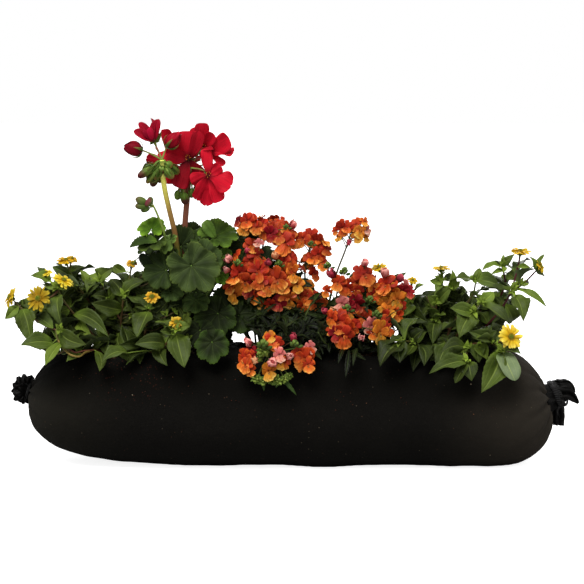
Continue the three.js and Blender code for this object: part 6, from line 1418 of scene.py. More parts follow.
def make_pelargonium():
    sk = Skin(500)
    c = sk.chance
    brown, grn, pale = rgb(96, 74, 48), rgb(92, 120, 52), rgb(176, 196, 84)
    sk.tube(smooth(TRUNK, 40), [5.2, 4.6, 4.2, 3.9, 3.4], [brown, mixed(brown, grn, 0.3), mixed(brown, grn, 0.6), grn], "pelargonium_stem", 16, 0.035)
    for l in BRANCH:
        sk.tube(smooth(l, 26), [3.1, 2.6, 2.1], [mixed(brown, grn, 0.5), grn], "pelargonium_stem", 12, 0.04)
    sk.tube(smooth(STALK_C, 26), [1.7, 1.3, 1.1], [grn, mixed(grn, pale, 0.5)], "pelargonium_stem", 10)
    # papery stipules at the joints
    for line, f in [(TRUNK, 0.3), (TRUNK, 0.6), (TRUNK, 0.85), (BRANCH[0], 0.5), (BRANCH[1], 0.5), (BRANCH[0], 0.9)]:
        p = curve_point(line, f)
        for k in range(2):
            d = unit(V(math.cos(3.14 * k + f * 9), 0.5 * math.sin(f * 9), 0.8))
            sk.blade(p + d * 2.2, p + d * 9, 5, TO_VIEW, grn * 0.9, "sanvitalia_leaf", (0.3, 0.9), 0.05, 0.2, rows=6, cols=4)
    crown = at(154, 206.8, -24)
    for (u, v, y), r, red in (((135.5, 198.5, -25), 4.4, 0.1), ((135, 206, -24), 4.0, 0.1), ((146, 201, -28), 5.4, 0.75), ((141, 210.5, -20), 3.6, 0.0), ((149, 197, -22), 3.2, 0.05), ((140, 203, -16), 3.8, 0.2)):
        tip = at(u, v, y)
        foot = mixed(crown, tip, 0.3)
        sk.tube(smooth([crown, foot + V(0, 0, 0.5), mixed(foot, tip, 0.2)], 6), [0.6], pale * 0.8, "pelargonium_stem", 6)
        sk.pod(foot, tip, r, [rgb(80, 108, 42), rgb(92, 118, 50), mixed(rgb(92, 112, 50), rgb(110, 16, 54), red), mixed(rgb(96, 84, 52), rgb(126, 22, 64), red)], "bud", 15, 9, 5, 0.1)
    for u, v, y, r, nx, ny, nz, way in INNER:
        hub, face = at(u, v, y), V(nx, ny, nz)
        leaf_stalk(sk, hub, face, 1.1 if r > 12 else 0.7, 0.9 if r > 12 else 0.6)
        young = (92, 130, 40) if r < 13 else (50, 66, 28)
        round_leaf(sk, hub, r * SCALE, face, way, rgb(*young) * c.uniform(0.85, 1.1), rgb(*young) * 1.35, 1.4 if r < 13 else 1.0, r < 13)
    for u, v, y, r, nx, ny, nz, way, tone, margin in FRONT:
        hub, face = at(u, v, y), V(nx, ny, nz)
        leaf_stalk(sk, hub, face, 1.0, 0.8)
        round_leaf(sk, hub, r * SCALE, face, way, rgb(*tone), rgb(*margin), 0.8, True, 0.18)
    for u, v, y, r, nx, ny, nz, way in BEHIND:
        hub, face = at(u, v, y), V(nx, ny, nz)
        leaf_stalk(sk, hub, face, 1.0, 0.8)
        tone = rgb(40, 52, 24) * c.uniform(0.8, 1.25)
        round_leaf(sk, hub, r * SCALE, face, way + c.uniform(-25, 25), tone, tone * 1.35, 1.0, False)
    sk.build("pelargonium_stem", MATS, "pelargonium_stem", slot="pelargonium_stem")

    # the stalk with hanging buds and the first half-open flower
    sk = Skin(501)
    c = sk.chance
    sk.tube(smooth(STALK_A, 60), [3.3, 3.2, 3.0, 2.9, 2.9, 3.0, 2.6], [rgb(110, 146, 44), rgb(118, 146, 46), rgb(142, 102, 56), rgb(172, 134, 72), rgb(236, 230, 104), rgb(255, 255, 128), rgb(248, 255, 122)], "pelargonium_stem", 14, 0.015)
    crown = at(162, 160, -20)
    hang = [(141, 172), (148.5, 171.5), (153, 180.5), (161.5, 168), (160, 177), (171, 161), (177, 168), (171, 173), (144, 166), (156, 174), (166, 166), (149, 178)]
    full, fresh, dark = rgb(84, 112, 38), rgb(138, 164, 72), rgb(84, 12, 26)
    for i, (u, v) in enumerate(hang):
        foot, tip = crown, at(u - (162 - u) * 0.12, v + 6, -20 + ((i * 37) % 25) - 12)
        m = mixed(foot, tip, 0.35)
        over = mixed(foot, m, 0.6) + V(0, 0, 1.6)
        sk.tube(smooth([foot, over, mixed(m, tip, 0.1)], 10), [0.75, 0.9, 1.1], [fresh, full], "pelargonium_stem", 8)
        red = i in (0, 1, 2, 3, 4)
        shade = c.uniform(0.85, 1.15)
        hood = {0: 0.6, 3: 0.55, 1: 0.74, 2: 0.76}.get(i, 0.93)
        sk.pod(m, tip, 4.3 if i < 8 else 3.2, [full * 0.8 * shade, fresh * shade, full * 1.1 * shade, mixed(full, dark, 0.8) if red else full * shade, dark if red else rgb(150, 110, 60)], "bud", 20, 12, 5, 0.13, (0.6, 0.42), curl=c.uniform(-0.08, 0.08))
        # sepals with pale edges that close round the bud
        axis = unit(tip - m)
        s = across_of(V(0, -1, 0.2), axis)
        o = np.cross(axis, s)
        for k in range(5):
            a = 2 * np.pi * k / 5 + i
            d = math.cos(a) * s + math.sin(a) * o
            l = np.linalg.norm(tip - m)
            sk.blade(m + d * 1.6 + axis * 0.5, m + axis * l * hood + d * 1.6, 3.4, d, full * 0.95 * shade, "sanvitalia_leaf", (0.5, 0.7), 0.3, -0.25, rows=9, cols=4, thick=0.4, tip_tint=mixed(fresh, rgb(150, 70, 60), 0.5) * shade)
    for k in range(7):  # bracts under the crown
        a = 2 * np.pi * k / 7
        d = unit(V(math.cos(a), math.sin(a), -0.5))
        sk.blade(crown + V(0, 0, -1.5), crown + d * 8, 3.4, V(0, 0, 1) - 0.4 * d, fresh * 0.8, "sanvitalia_leaf", (0.5, 0.8), 0.1, 0.2, rows=7, cols=4)
    for a3, b3, r, tone in (((142.5, 150.5, -22), (125.0, 147.2, -24), 10.0, (132, 9, 30)), ((166.5, 147.5, -18), (179.5, 133.5, -16), 8.4, (166, 12, 36))):
        foot, tip = at3(a3), at3(b3)
        sk.tube(smooth([crown, mixed(crown, foot, 0.5) + V(0, 0, 1), foot, mixed(foot, tip, 0.1)], 10), [0.95, 0.9, 1.3], [fresh, rgb(160, 140, 90)], "pelargonium_stem", 8)
        axis = unit(tip - foot)
        s = across_of(V(0, -1, 0.2), axis)
        o = np.cross(axis, s)
        l = np.linalg.norm(tip - foot)
        sk.pod(foot + axis * 0.6, tip, r * 0.86, [rgb(*tone) * 0.7, rgb(*tone), rgb(*tone) * 1.2, rgb(*tone) * 0.8], "crimson_petal", 20, 12, 5, 0.06, (0.5, 0.6), curl=0.05)
        for k in range(4):  # overlapping petals
            a = 2 * np.pi * k / 4 + 0.6
            d = math.cos(a) * s + math.sin(a) * o
            sk.blade(foot + d * 1.2, tip + d * r * 0.25 + axis * (k % 2) * 1.5, r * 1.75, d, rgb(*tone) * c.uniform(0.85, 1.35), "crimson_petal", (0.6, 0.5), 0.2, -0.45, 0.05, rows=12, cols=8, thick=0.4, cup=-0.1)
        for k in range(5):
            a = 2 * np.pi * k / 5
            d = math.cos(a) * s + math.sin(a) * o
            sk.blade(foot - axis * 0.4 + d * 0.8, foot + axis * l * 0.55 + d * r * 1.08, 3.4, d, full, "sanvitalia_leaf", (0.4, 0.8), 0.26, -0.2, rows=9, cols=4, thick=0.4, tip_tint=rgb(160, 140, 80))
    a = at(156, 147, -20)
    sk.tube(smooth([crown, mixed(crown, a, 0.5) + V(0.5, 0, 0), a], 10), [1.1, 1.0, 1.5], [fresh, rgb(170, 130, 90), rgb(150, 90, 70)], "pelargonium_stem", 8)
    sk.build("pelargonium_stalk_budding", MATS, "pelargonium_stalk_budding", slot="pelargonium_stem")

    # the stalk of the open head
    sk = Skin(502)
    c = sk.chance
    sk.tube(smooth(STALK_B, 50), [3.5, 3.4, 3.3, 3.3, 3.2, 2.8], [rgb(110, 90, 50), rgb(140, 84, 62), rgb(150, 92, 70), rgb(144, 92, 68), rgb(120, 96, 56)], "pelargonium_stem", 14, 0.015)
    crown = at(190, 168, -6)
    for p in [[209.5, 173, -15], [214, 165, 3], [203, 148, 8], [190, 161, -4], [170, 163, 14], [178.5, 190, -8], [183.5, 196, -8], [196, 185, 14], [200, 160, 22], [186, 176, 24]]:
        e = at3(p)
        sk.tube(smooth([crown, mixed(crown, e, 0.5) + V(0, 0, 1.5), e], 10), [0.95, 0.85, 1.1], [fresh, rgb(140, 100, 70)], "pelargonium_stem", 8)
    for a3, b3, r, red in (((178.5, 190, -8), (177, 200, -9), 3.6, 0.1), ((183.5, 192, -8), (186, 204.5, -9), 4.4, 0.9), ((192, 188, -4), (191.5, 198, -6), 3.4, 0.3), ((196, 185, 14), (198, 196, 16), 4.2, 0.2), ((184, 186, 18), (182, 197, 20), 3.8, 0.4)):
        foot, tip = at3(a3), at3(b3)
        sk.tube(smooth([crown, mixed(crown, foot, 0.6) + V(0, 0, 0.5), foot, mixed(foot, tip, 0.1)], 8), [0.8, 1.0], fresh * 0.8, "pelargonium_stem", 8)
        sk.pod(foot, tip, r, [full * 0.8, full, mixed(full, rgb(70, 24, 30), red), mixed(full, rgb(90, 20, 30), red)], "bud", 20, 10, 5, 0.14, (0.6, 0.45))
        axis = unit(tip - foot)
        s = across_of(V(0, -1, 0.2), axis)
        o = np.cross(axis, s)
        for k in range(5):
            a = 2 * np.pi * k / 5
            d = math.cos(a) * s + math.sin(a) * o
            sk.blade(foot + d * 1.2, tip - axis * 1.0 + d * 1.3, 3.2, d, full * 0.9, "sanvitalia_leaf", (0.5, 0.7), 0.28, -0.25, rows=8, cols=4, thick=0.4)
    sk.build("pelargonium_stalk_open", MATS, "pelargonium_stalk_open", slot="pelargonium_stem")

    # florets
    bright, deep = rgb(210, 18, 43), rgb(154, 10, 30)
    for index, (name, u, v, y, petals) in enumerate(FLORETS):
        sk = Skin(520 + index)
        c = sk.chance
        centre = at(u, v, y)
        front = V(0.15, -1, 0.3)
        for k, (tu, tv, ty, w) in enumerate(petals):
            tip = at(tu, tv, ty)
            d = unit(tip - centre)
            # painted shade: the florets other than the first two, on the left and further back, get the deeper crimson,
            # and the fourth floret's lower petals are darkened further
            tone = mixed(bright, deep, c.uniform(0, 0.3) if index < 2 else c.uniform(0.3, 0.8))
            if index == 3 and k > 2:
                tone = tone * 0.6
            if index == 5:
                sk.blade(centre, tip, w * SCALE * 0.92, front + 0.5 * d + 0.4 * c.normal(size=3), mixed(rgb(170, 12, 44), deep, c.uniform(0, 0.6)), "crimson_petal", (0.7, 0.55), c.uniform(0.02, 0.1), 0.55, 0.06, 1.5,
                         bend=c.uniform(-0.06, 0.06), twist=c.uniform(-0.6, 0.6), rows=18, cols=10, neck=0.25, thick=0.4, base_tint=rgb(140, 12, 40), blunt=1.15)
                continue
            sk.blade(centre, tip, w * SCALE * 1.04, front + 0.2 * d + 0.36 * c.normal(size=3), tone, "crimson_petal", (0.74, 0.24), c.uniform(-0.04, 0.1), c.uniform(-0.25, 0.25), c.uniform(0.14, 0.3), c.uniform(0.8, 1.5),
                     cup=c.uniform(-0.25, 0.3), bend=c.uniform(-0.06, 0.06), twist=c.uniform(-0.5, 0.5), rows=24, cols=16, neck=0.22, thick=0.4, base_tint=rgb(60, 2, 12), blunt=1.7, notch=c.choice([0, 0, 0.03, 0.04]), pleats=c.uniform(0.02, 0.04))
        if index != 5:
            # the petals that face away
            for k in range(4):
                a = 1.57 * k + index + c.uniform(-0.3, 0.3)
                d = unit(V(0.62 * math.cos(a), c.uniform(0.5, 0.9), 0.62 * (abs(math.sin(a)) + 0.3 if index == 1 else math.sin(a))))
                l = c.uniform(19, 25)
                tip = centre + d * l
                sk.blade(centre + V(0, 2, 0), tip, c.uniform(15, 20), V(0, 1, 0.2) + 0.3 * c.normal(size=3), mixed(bright, deep, c.uniform(0.1, 0.5)), "crimson_petal", (0.78, 0.3), c.uniform(-0.08, 0.05), 0.05,
                         c.uniform(0.1, 0.2), 2, cup=c.uniform(-0.1, 0.2), rows=14, cols=10, neck=0.22, thick=0.4, base_tint=rgb(70, 4, 18), blunt=1.7)
            for k in range(7):  # stamens and the style
                d = unit(V(0.35 * math.cos(k * 0.9), -1, 0.35 * math.sin(k * 0.9) + 0.3) + 0.1 * c.normal(size=3))
                sk.tube([centre, centre + d * 3.5, centre + d * c.uniform(5, 7.5)], [0.3, 0.22], rgb(150, 30, 50), "crimson_petal", 5)
                sk.pod(centre + d * 6, centre + d * 8, 0.55, [rgb(196, 120, 40)], "disc_floret", 6, 4)
        else:
            for tu, tv, ty, w, tone in ((148.5, 128, -30, 9.5, (204, 22, 62)), (143, 131, -28, 8, (150, 10, 40)), (154, 124, -14, 9, (120, 6, 30)), (145, 127, -10, 9, (110, 6, 24))):
                sk.blade(centre, at(tu, tv, ty), w, V(0.3, -0.8, 0.2) + 0.3 * c.normal(size=3), rgb(*tone), "crimson_petal", (0.65, 0.5), 0.16, -0.5, 0.05, 2, rows=16, cols=10, neck=0.25, thick=0.4, base_tint=rgb(90, 6, 30), blunt=1.2)
            sk.tube(smooth([at(155.0, 142.5, -20), at(156.4, 147.0, -20), at(158.4, 151.6, -20)], 8), [1.5, 1.0, 0.8], [rgb(104, 120, 44), rgb(140, 110, 62)], "stem", 8)
            for (u0, v0), (u1, v1) in (((150, 139), (141.5, 135.5)), ((156, 143), (153.5, 131)), ((157, 142), (161.5, 131.5)), ((154, 143), (146, 137.5)), ((157, 143), (158, 133))):
                sk.blade(at(u0, v0, -20), at(u1, v1, -24 + (u1 % 5)), 4.6, V(0, -1, 0.2), rgb(104, 120, 44), "sanvitalia_leaf", (0.5, 0.8), 0.12, 0.2, rows=8, cols=4, thick=0.4, tip_tint=rgb(150, 120, 80))
        for k in range(5):
            a = 2 * np.pi * k / 5
            back = V(0, 1, -0.2)
            d = unit(V(math.cos(a), 0.3, math.sin(a)))
            sk.blade(centre + back * 1.5, centre + back * 1.0 + d * 7, 3, back, rgb(96, 120, 44), "sanvitalia_leaf", (0.4, 0.8), 0.05, 0.2, rows=6, cols=4, thick=0.4)
        sk.pod(centre + V(0, 4, -2), centre + V(0, -2.5, 0.5), 2.0, [rgb(96, 120, 44), rgb(70, 6, 20)], "bud", 10, 6)
        sk.build(name, MATS, name, slot="crimson_petal")

    for index, (name, u, v, y, r, nx, ny, nz, way) in enumerate(ROUNDS):
        sk = Skin(540 + index)
        hub, face = at(u, v, y), V(nx, ny, nz)
        tone, margin = LEAF_TINTS.get(name, ((54, 82, 34), (66, 98, 40)))
        even = 0.26
        if name in LEAF_FORMS:
            u, v, y, r, face, way, even = LEAF_FORMS[name]
            hub, face = at(u, v, y), V(*face)
        leaf_stalk(sk, hub, face)
        round_leaf(sk, hub, r * SCALE, face, way, rgb(*tone), rgb(*margin), 0.8 if name[-2:] in ("09", "10") else 1.0, True, even)
        if name == "pelargonium_leaf_02":  # its longest lobe, seen almost from the side
            sk.blade(at(157, 241, -23), at(129.5, 247.6, -30), 17 * SCALE, V(-0.1, -0.6, 0.8), rgb(54, 74, 28), "pelargonium_leaf", (0.5, 0.75), 0.12, 0.35, 0.06, 2, rows=20, cols=10, teeth=0.18, neck=0.3, thick=0.4, tip_tint=rgb(52, 72, 28), base_tint=rgb(90, 122, 38), pleats=0.12)
        if name == "pelargonium_leaf_07":  # a lobe behind it, that stands up past its left edge
            sk.blade(at(153, 272, -20), at(140.5, 254.0, -23), 11 * SCALE, V(-0.3, -0.7, 0.6), rgb(30, 42, 20), "pelargonium_leaf", (0.62, 0.4), 0.1, 0.25, 0.06, 2, rows=20, cols=10, teeth=0.14, neck=0.3, thick=0.4, tip_tint=rgb(28, 38, 19), base_tint=rgb(36, 50, 24), blunt=1.6, pleats=0.1)
        if name == "pelargonium_leaf_05":  # the half that folds over and shows its paler side
            sk.blade(at(215, 238, -16), at(204.5, 221, -9), 14 * SCALE, V(-0.5, -0.75, 0.45), rgb(80, 108, 40), "pelargonium_leaf", (0.6, 0.4), 0.05, 0.2, 0.05, 2, rows=16, cols=8, teeth=0.1, neck=0.3, thick=0.4, tip_tint=rgb(112, 140, 66), base_tint=rgb(88, 118, 44), blunt=1.5, pleats=0.08)
        sk.build(name, MATS, name, slot="pelargonium_leaf")


# ---- nemesia ---------------------------------------------------------------------------------------
KINDS = {0: ((182, 42, 22), (206, 84, 28), (248, 160, 70)), 1: ((192, 60, 24), (220, 112, 32), (254, 190, 90)), 2: ((206, 94, 28), (232, 150, 44), (255, 212, 112)), 5: ((146, 18, 32), (172, 38, 40), (232, 130, 86)),
         6: ((226, 126, 122), (242, 168, 146), (255, 224, 196)), 9: ((214, 120, 30), (240, 170, 48), (255, 220, 110))}
BUDS = {3: ((214, 84, 94), (252, 190, 176)), 7: ((176, 30, 66), (212, 84, 100)), 8: ((222, 130, 80), (240, 190, 140))}


def nemesia_flower(sk, c0, n, size, kind, stem_point):
    c = sk.chance
    upper, lip, throat = (rgb(*x) for x in KINDS[kind])
    maroon = rgb(96, 16, 18)
    up = across_of(V(0, 0, 1) if abs(n[2]) < 0.9 else V(0, 1, 0), n)
    roll = c.uniform(-0.4, 0.4)
    side = np.cross(up, n)
    up, side = math.cos(roll) * up + math.sin(roll) * side, math.cos(roll) * side - math.sin(roll) * up
    back = c0 - n * size * 0.35
    mid = mixed(stem_point, back, 0.55) + V(0, 0, 1.5)
    stalk = rgb(92, 52, 40) if kind in (0, 5) else rgb(84, 90, 46)
    sk.tube(smooth([stem_point, mid, back - n * 1.4], 8), [0.55, 0.45, 0.6], [rgb(60, 74, 34), stalk], "stem", 6)
    shade = c.uniform(0.72, 1.04)
    # the petal bases darken towards maroon and the tips lighten: partly the flower's own colours, partly painted shade
    # in the throat and painted highlight at the edges
    for a, l, w in ((20, 0.92, 0.66), (66, 1.04, 0.62), (112, 1.04, 0.62), (160, 0.92, 0.66)):
        a = math.radians(a + c.uniform(-7, 7))
        d = math.cos(a) * side + math.sin(a) * up
        tip = c0 + d * size * l * c.uniform(0.9, 1.08) + n * size * c.uniform(-0.34, 0.12)
        sk.blade(c0 + d * 0.4 - n * 0.5, tip, size * w * 1.1, n + 0.25 * c.normal(size=3), upper * shade * c.uniform(0.75, 1.15), "orange_petal", (0.55, 0.22), c.uniform(-0.06, 0.12), c.uniform(-0.2, 0.15), 0.18, c.uniform(0.8, 1.6),
                 cup=c.uniform(-0.2, 0.2), rows=11, cols=8, neck=0.4, thick=0.35, base_tint=mixed(upper, maroon, 0.6), blunt=1.7, tip_tint=mixed(upper, lip, c.uniform(0.1, 0.7)) * shade, notch=c.choice([0, 0.05, 0.08]), pleats=0.03)
    d = unit(-up + 0.25 * n * c.uniform(0.0, 1.3))
    for a, w, l in ((-0.46, 0.8, 0.98), (0.46, 0.8, 0.98), (0.0, 0.62, 1.06)):
        e = math.cos(a) * d + math.sin(a) * side
        sk.blade(c0 + n * size * 0.06, c0 + e * size * l * c.uniform(0.92, 1.08) + n * size * c.uniform(-0.08, 0.12), size * w, n + 0.2 * c.normal(size=3) - 0.1 * e, lip * shade * c.uniform(0.85, 1.12), "orange_petal", (0.5, 0.2), c.uniform(-0.02, 0.09),
                 c.uniform(-0.25, 0.25), 0.2, c.uniform(0.8, 1.6), cup=c.uniform(-0.3, 0.25), rows=12, cols=10, neck=0.5, thick=0.35, base_tint=mixed(lip, maroon, 0.6), blunt=1.8, tip_tint=mixed(lip, throat, c.uniform(0.45, 1.0)) * shade, notch=0.07, pleats=0.05)
    for a in (-0.17, 0.17):  # the two yellow swellings in the throat
        e = math.cos(a) * d + math.sin(a) * side
        sk.pod(c0 + n * size * 0.0 + e * size * 0.06, c0 + e * size * 0.34 + n * size * 0.13, size * 0.07, [maroon * 0.6, maroon, throat * 0.6], "orange_petal", 8, 6, shape=(0.6, 0.5))
    sk.pod(c0 + n * size * 0.02, c0 - n * size * 0.5 - up * size * 0.25, size * 0.18, [maroon, upper * 0.6, throat * 0.8], "orange_petal", 9, 6)
    for k in range(4):
        a = 2 * np.pi * (k + 0.5) / 4
        e = math.cos(a) * side + math.sin(a) * up
        sk.blade(back - n * 1.2, back + e * size * 0.34 + n * 0.6, size * 0.17, -n, rgb(70, 90, 38), "nemesia_leaf", (0.4, 0.8), 0.05, 0.1, rows=5, cols=4, thick=0.3)


def nemesia_bud(sk, c0, n, size, kind, stem_point):
    c = sk.chance
    low, high = (rgb(*x) for x in BUDS[kind])
    shade = c.uniform(0.8, 1.05)
    low, high = low * shade, high * shade
    way = unit(n + V(c.uniform(-0.2, 0.2), 0, 0.45))
    back = c0 - n * 2.5
    sk.tube(smooth([stem_point, mixed(stem_point, back, 0.55) + V(0, 0, 1.0), back], 8), [0.5, 0.42, 0.6], [rgb(60, 74, 34), rgb(104, 56, 50)], "stem", 6)
    tip = back + way * size * 1.55
    s = across_of(V(0, -1, 0.3), way)
    o = np.cross(way, s)
    sk.pod(back, mixed(back, tip, 0.8), size * 0.42, [low * 0.5, low * 0.8, mixed(low, high, 0.4)], "orange_petal", 12, 8, 2, 0.1, (0.6, 0.5), curl=c.uniform(-0.2, 0.2), up=V(0, -1, 0.2))
    for k in range(4):  # folded petals that wrap it, their tips loose
        a = 1.6 * k + c.uniform(-0.3, 0.3)
        e = math.cos(a) * s + math.sin(a) * o
        sk.blade(back + e * 0.6, mixed(back, tip, c.uniform(0.72, 1.05)) + e * size * c.uniform(0.05, 0.5), size * c.uniform(0.95, 1.3), e + 0.25 * c.normal(size=3), mixed(low, high, c.uniform(0.0, 0.7)) * c.uniform(0.8, 1.1), "orange_petal", (0.5, 0.34),
                 c.uniform(0.1, 0.26), c.uniform(-0.7, -0.1), 0.12, 1.2, rows=10, cols=6, thick=0.35, base_tint=low * 0.6, tip_tint=high, blunt=1.3, notch=c.choice([0, 0.06]))
    for k in range(4):
        a = 1.57 * k
        e = math.cos(a) * s + math.sin(a) * o
        sk.blade(back - way * 0.8, back + e * size * 0.4 + way * size * 0.5, size * 0.28, e, rgb(76, 98, 40), "nemesia_leaf", (0.4, 0.8), 0.1, 0.1, rows=5, cols=4, thick=0.3)


def bud_cluster(sk, c0, size, stem_point):
    """The green tip of a raceme."""
    c = sk.chance
    sk.tube(smooth([stem_point, mixed(stem_point, c0, 0.5), c0], 6), [0.7, 0.6], rgb(76, 96, 42), "stem", 6)
    for k in range(13):
        f = k / 12
        a = 2.4 * k
        d = unit(V(math.cos(a) * (1 - f * 0.8), math.sin(a) * (1 - f * 0.8), 0.35 + 1.2 * f))
        foot = c0 + V(0, 0, size * 0.5 * f)
        l = size * (0.95 - 0.35 * f) * c.uniform(0.85, 1.15)
        t = mixed(rgb(54, 78, 30), rgb(130, 154, 66), c.uniform(0, 1) * (0.3 + 0.7 * f))
        sk.pod(foot + d * l * 0.25, foot + d * l, size * 0.2, [t * 0.7, t, t * 1.1], "bud", 7, 5, shape=(0.6, 0.5))
        sk.blade(foot, foot + d * l * 0.85 + V(0, 0, -size * 0.12), size * 0.22, V(0, 0, 1), rgb(70, 96, 36) * c.uniform(0.8, 1.3), "nemesia_leaf", (0.5, 0.9), 0.1, 0.3, rows=5, cols=4, thick=0.3)


def narrow_leaf(sk, b, t, w, n, bright=0.0, shade=1.0, rows=12):
    c = sk.chance
    tone = mixed(rgb(38, 44, 23), rgb(62, 73, 33), c.uniform(0, 1)) * 0.76 * shade * c.uniform(0.6, 1.2)
    sk.blade(b, t, w, n, mixed(tone, rgb(104, 136, 48) * shade, bright), "nemesia_leaf", (0.6, 0.85), c.uniform(0.04, 0.16), c.uniform(0.1, 0.5), 0.08, 2.5, rows=rows, cols=4, teeth=0.2, bend=c.uniform(-0.08, 0.08), twist=c.uniform(-0.7, 0.7),
             neck=0.15, thick=0.3)


# flowers that thicken the heads of some racemes: across, down, depth, size, facing, kind
MORE_FLOWERS = {0: [[247, 221, -14, 8.5, -0.3, -0.8, 0.4, 0], [256, 228, -16, 7.5, 0.0, -0.9, 0.2, 1], [262, 224, -8, 8, 0.1, -0.7, 0.6, 0], [271, 234, -16, 8, 0.1, -0.95, 0, 5], [277, 231, -12, 8.5, 0.2, -0.9, 0.2, 1], [284, 228, -8, 8, 0.3, -0.8, 0.4, 1],
                    [290, 231, -6, 7.5, 0.4, -0.8, 0.2, 0], [245, 229, -14, 6.5, -0.4, -0.9, 0, 2], [262, 236, -14, 6.5, -0.2, -0.9, -0.1, 0]],
                1: [[250, 262, -22, 8, -0.1, -0.95, 0.2, 0], [240, 273, -28, 9, -0.2, -0.9, 0.2, 0], [229, 287, -24, 7, -0.6, -0.7, 0.1, 1], [249, 290, -28, 8, 0, -0.95, 0, 5], [247, 271, -22, 8, 0, -0.9, 0.2, 0]],
                2: [[259, 280, -34, 9, 0, -0.97, 0, 0], [270, 286, -36, 8.5, 0, -0.97, 0, 1], [283, 286, -34, 8, 0.1, -0.97, 0.1, 1], [267, 277, -32, 8, 0, -0.95, 0.2, 5], [257, 264, -26, 8, -0.1, -0.9, 0.2, 0]],
                3: [[279, 236, -16, 8.5, -0.2, -0.9, 0.3, 0], [291, 241, -16, 8.5, 0.3, -0.9, 0.3, 0], [287, 249, -20, 8.5, 0.1, -0.95, 0, 2], [279, 249, -18, 7, -0.3, -0.9, 0, 1], [284, 262, -24, 8, 0, -0.95, 0.1, 0], [286, 279, -28, 8.5, 0, -0.97, 0, 0],
                    [283, 293, -28, 8, 0, -0.97, 0, 0]],
                4: [[303, 240, -8, 8, -0.2, -0.8, 0.4, 1], [316, 241, -8, 7.5, 0.2, -0.85, 0.4, 0], [303, 253, -10, 8, -0.2, -0.9, 0.1, 2], [318, 255, -10, 7.5, 0.2, -0.9, 0, 0], [322, 268, -10, 5.5, 0.3, -0.8, -0.3, 2], [306, 297, -18, 8, 0, -0.95, 0, 1], [314, 283, -10, 5.5, 0.2, -0.8, 0.2, 5],
                    [303, 306, -20, 6.5, 0, -0.9, -0.2, 1], [327, 292, -14, 6.5, 0.4, -0.8, 0.1, 1], [321, 299, -14, 7, 0.2, -0.9, 0, 0]],
                5: [[348, 227, -12, 7, -0.1, -0.9, 0.3, 0], [360, 232, -14, 7, 0.3, -0.9, 0.1, 9], [364, 222, -8, 5.5, 0.4, -0.8, 0.3, 2]],
                6: [[334, 285, -30, 7.5, -0.3, -0.9, 0.1, 1], [345, 287, -30, 8, 0.2, -0.9, 0.1, 0], [337, 297, -26, 6.5, 0, -0.9, 0, 1], [347, 300, -32, 6, 0.2, -0.8, 0.2, 3]],
                7: [[357, 283, -24, 8.5, -0.2, -0.95, 0.1, 1], [371, 283, -22, 8, 0.3, -0.9, 0.1, 1], [358, 291, -26, 6.5, 0, -0.95, 0, 0], [349, 306, -32, 7, -0.2, -0.9, 0.1, 5]],
                8: [[381, 292, -20, 8.5, -0.1, -0.95, 0, 1], [391, 292, -18, 8.5, 0.2, -0.9, 0, 2], [401, 292, -14, 8, 0.4, -0.85, 0, 5], [389, 310, -26, 8, 0, -0.95, 0, 9], [397, 316, -20, 7, 0.1, -0.9, -0.2, 1], [385, 317, -28, 7, 0, -0.95, 0, 0]],
                9: [[332, 319, -56, 8, -0.4, -0.85, 0.1, 1], [345, 325, -60, 9, 0, -0.97, 0, 1], [349, 333, -62, 7.5, 0.2, -0.95, 0, 0], [337, 334, -62, 8, -0.1, -0.97, 0, 5], [388, 329, -52, 7.5, 0.3, -0.9, 0.1, 0], [373, 333, -54, 6.5, 0, -0.95, 0, 1]],
                10: [[248, 357, -84, 7.5, -0.3, -0.9, 0, 0], [246, 366, -86, 7, -0.4, -0.9, -0.1, 1], [272, 341, -80, 7.5, 0, -0.9, 0.3, 0], [285, 363, -88, 6, 0.1, -0.95, 0, 1], [299, 355, -84, 8, 0, -0.95, 0.1, 0], [308, 365, -86, 7.5, 0.2, -0.95, 0, 1],
                     [272, 364, -88, 6.5, 0, -0.95, 0.1, 3]]}


def knob(sk, p, size, count, low=(62, 92, 34), high=(150, 172, 76)):
    """A rounded knot of small leaves and buds."""
    c = sk.chance
    for k in range(count):
        f = (k + 0.5) / count
        a = 2.39996 * k
        h = 1 - 1.5 * f
        w = math.sqrt(max(0.0, 1 - h * h))
        d = unit(V(w * math.cos(a), -h, w * math.sin(a)) + 0.12 * c.normal(size=3))
        l = size * c.uniform(0.75, 1.1)
        t = mixed(rgb(*low), rgb(*high), min(1.0, max(0.0, 0.95 - 1.0 * f + 0.25 * c.normal())))
        sk.blade(p + d * l * 0.15, p + d * l, l * c.uniform(0.42, 0.6), d + V(0, -0.5, 0.6), t, "nemesia_leaf", (0.55, 0.7), c.uniform(-0.1, 0.12), c.uniform(-0.3, 0.4), 0.08, 1.5, rows=8, cols=4, thick=0.3, tip_tint=t * 1.15, base_tint=t * 0.55)
        if k % 3 == 0:
            sk.pod(p + d * l * 0.3, p + d * l * 0.8, l * 0.14, [t * 0.7, t, mixed(t, rgb(196, 204, 120), 0.5)], "bud", 7, 5, shape=(0.6, 0.5))


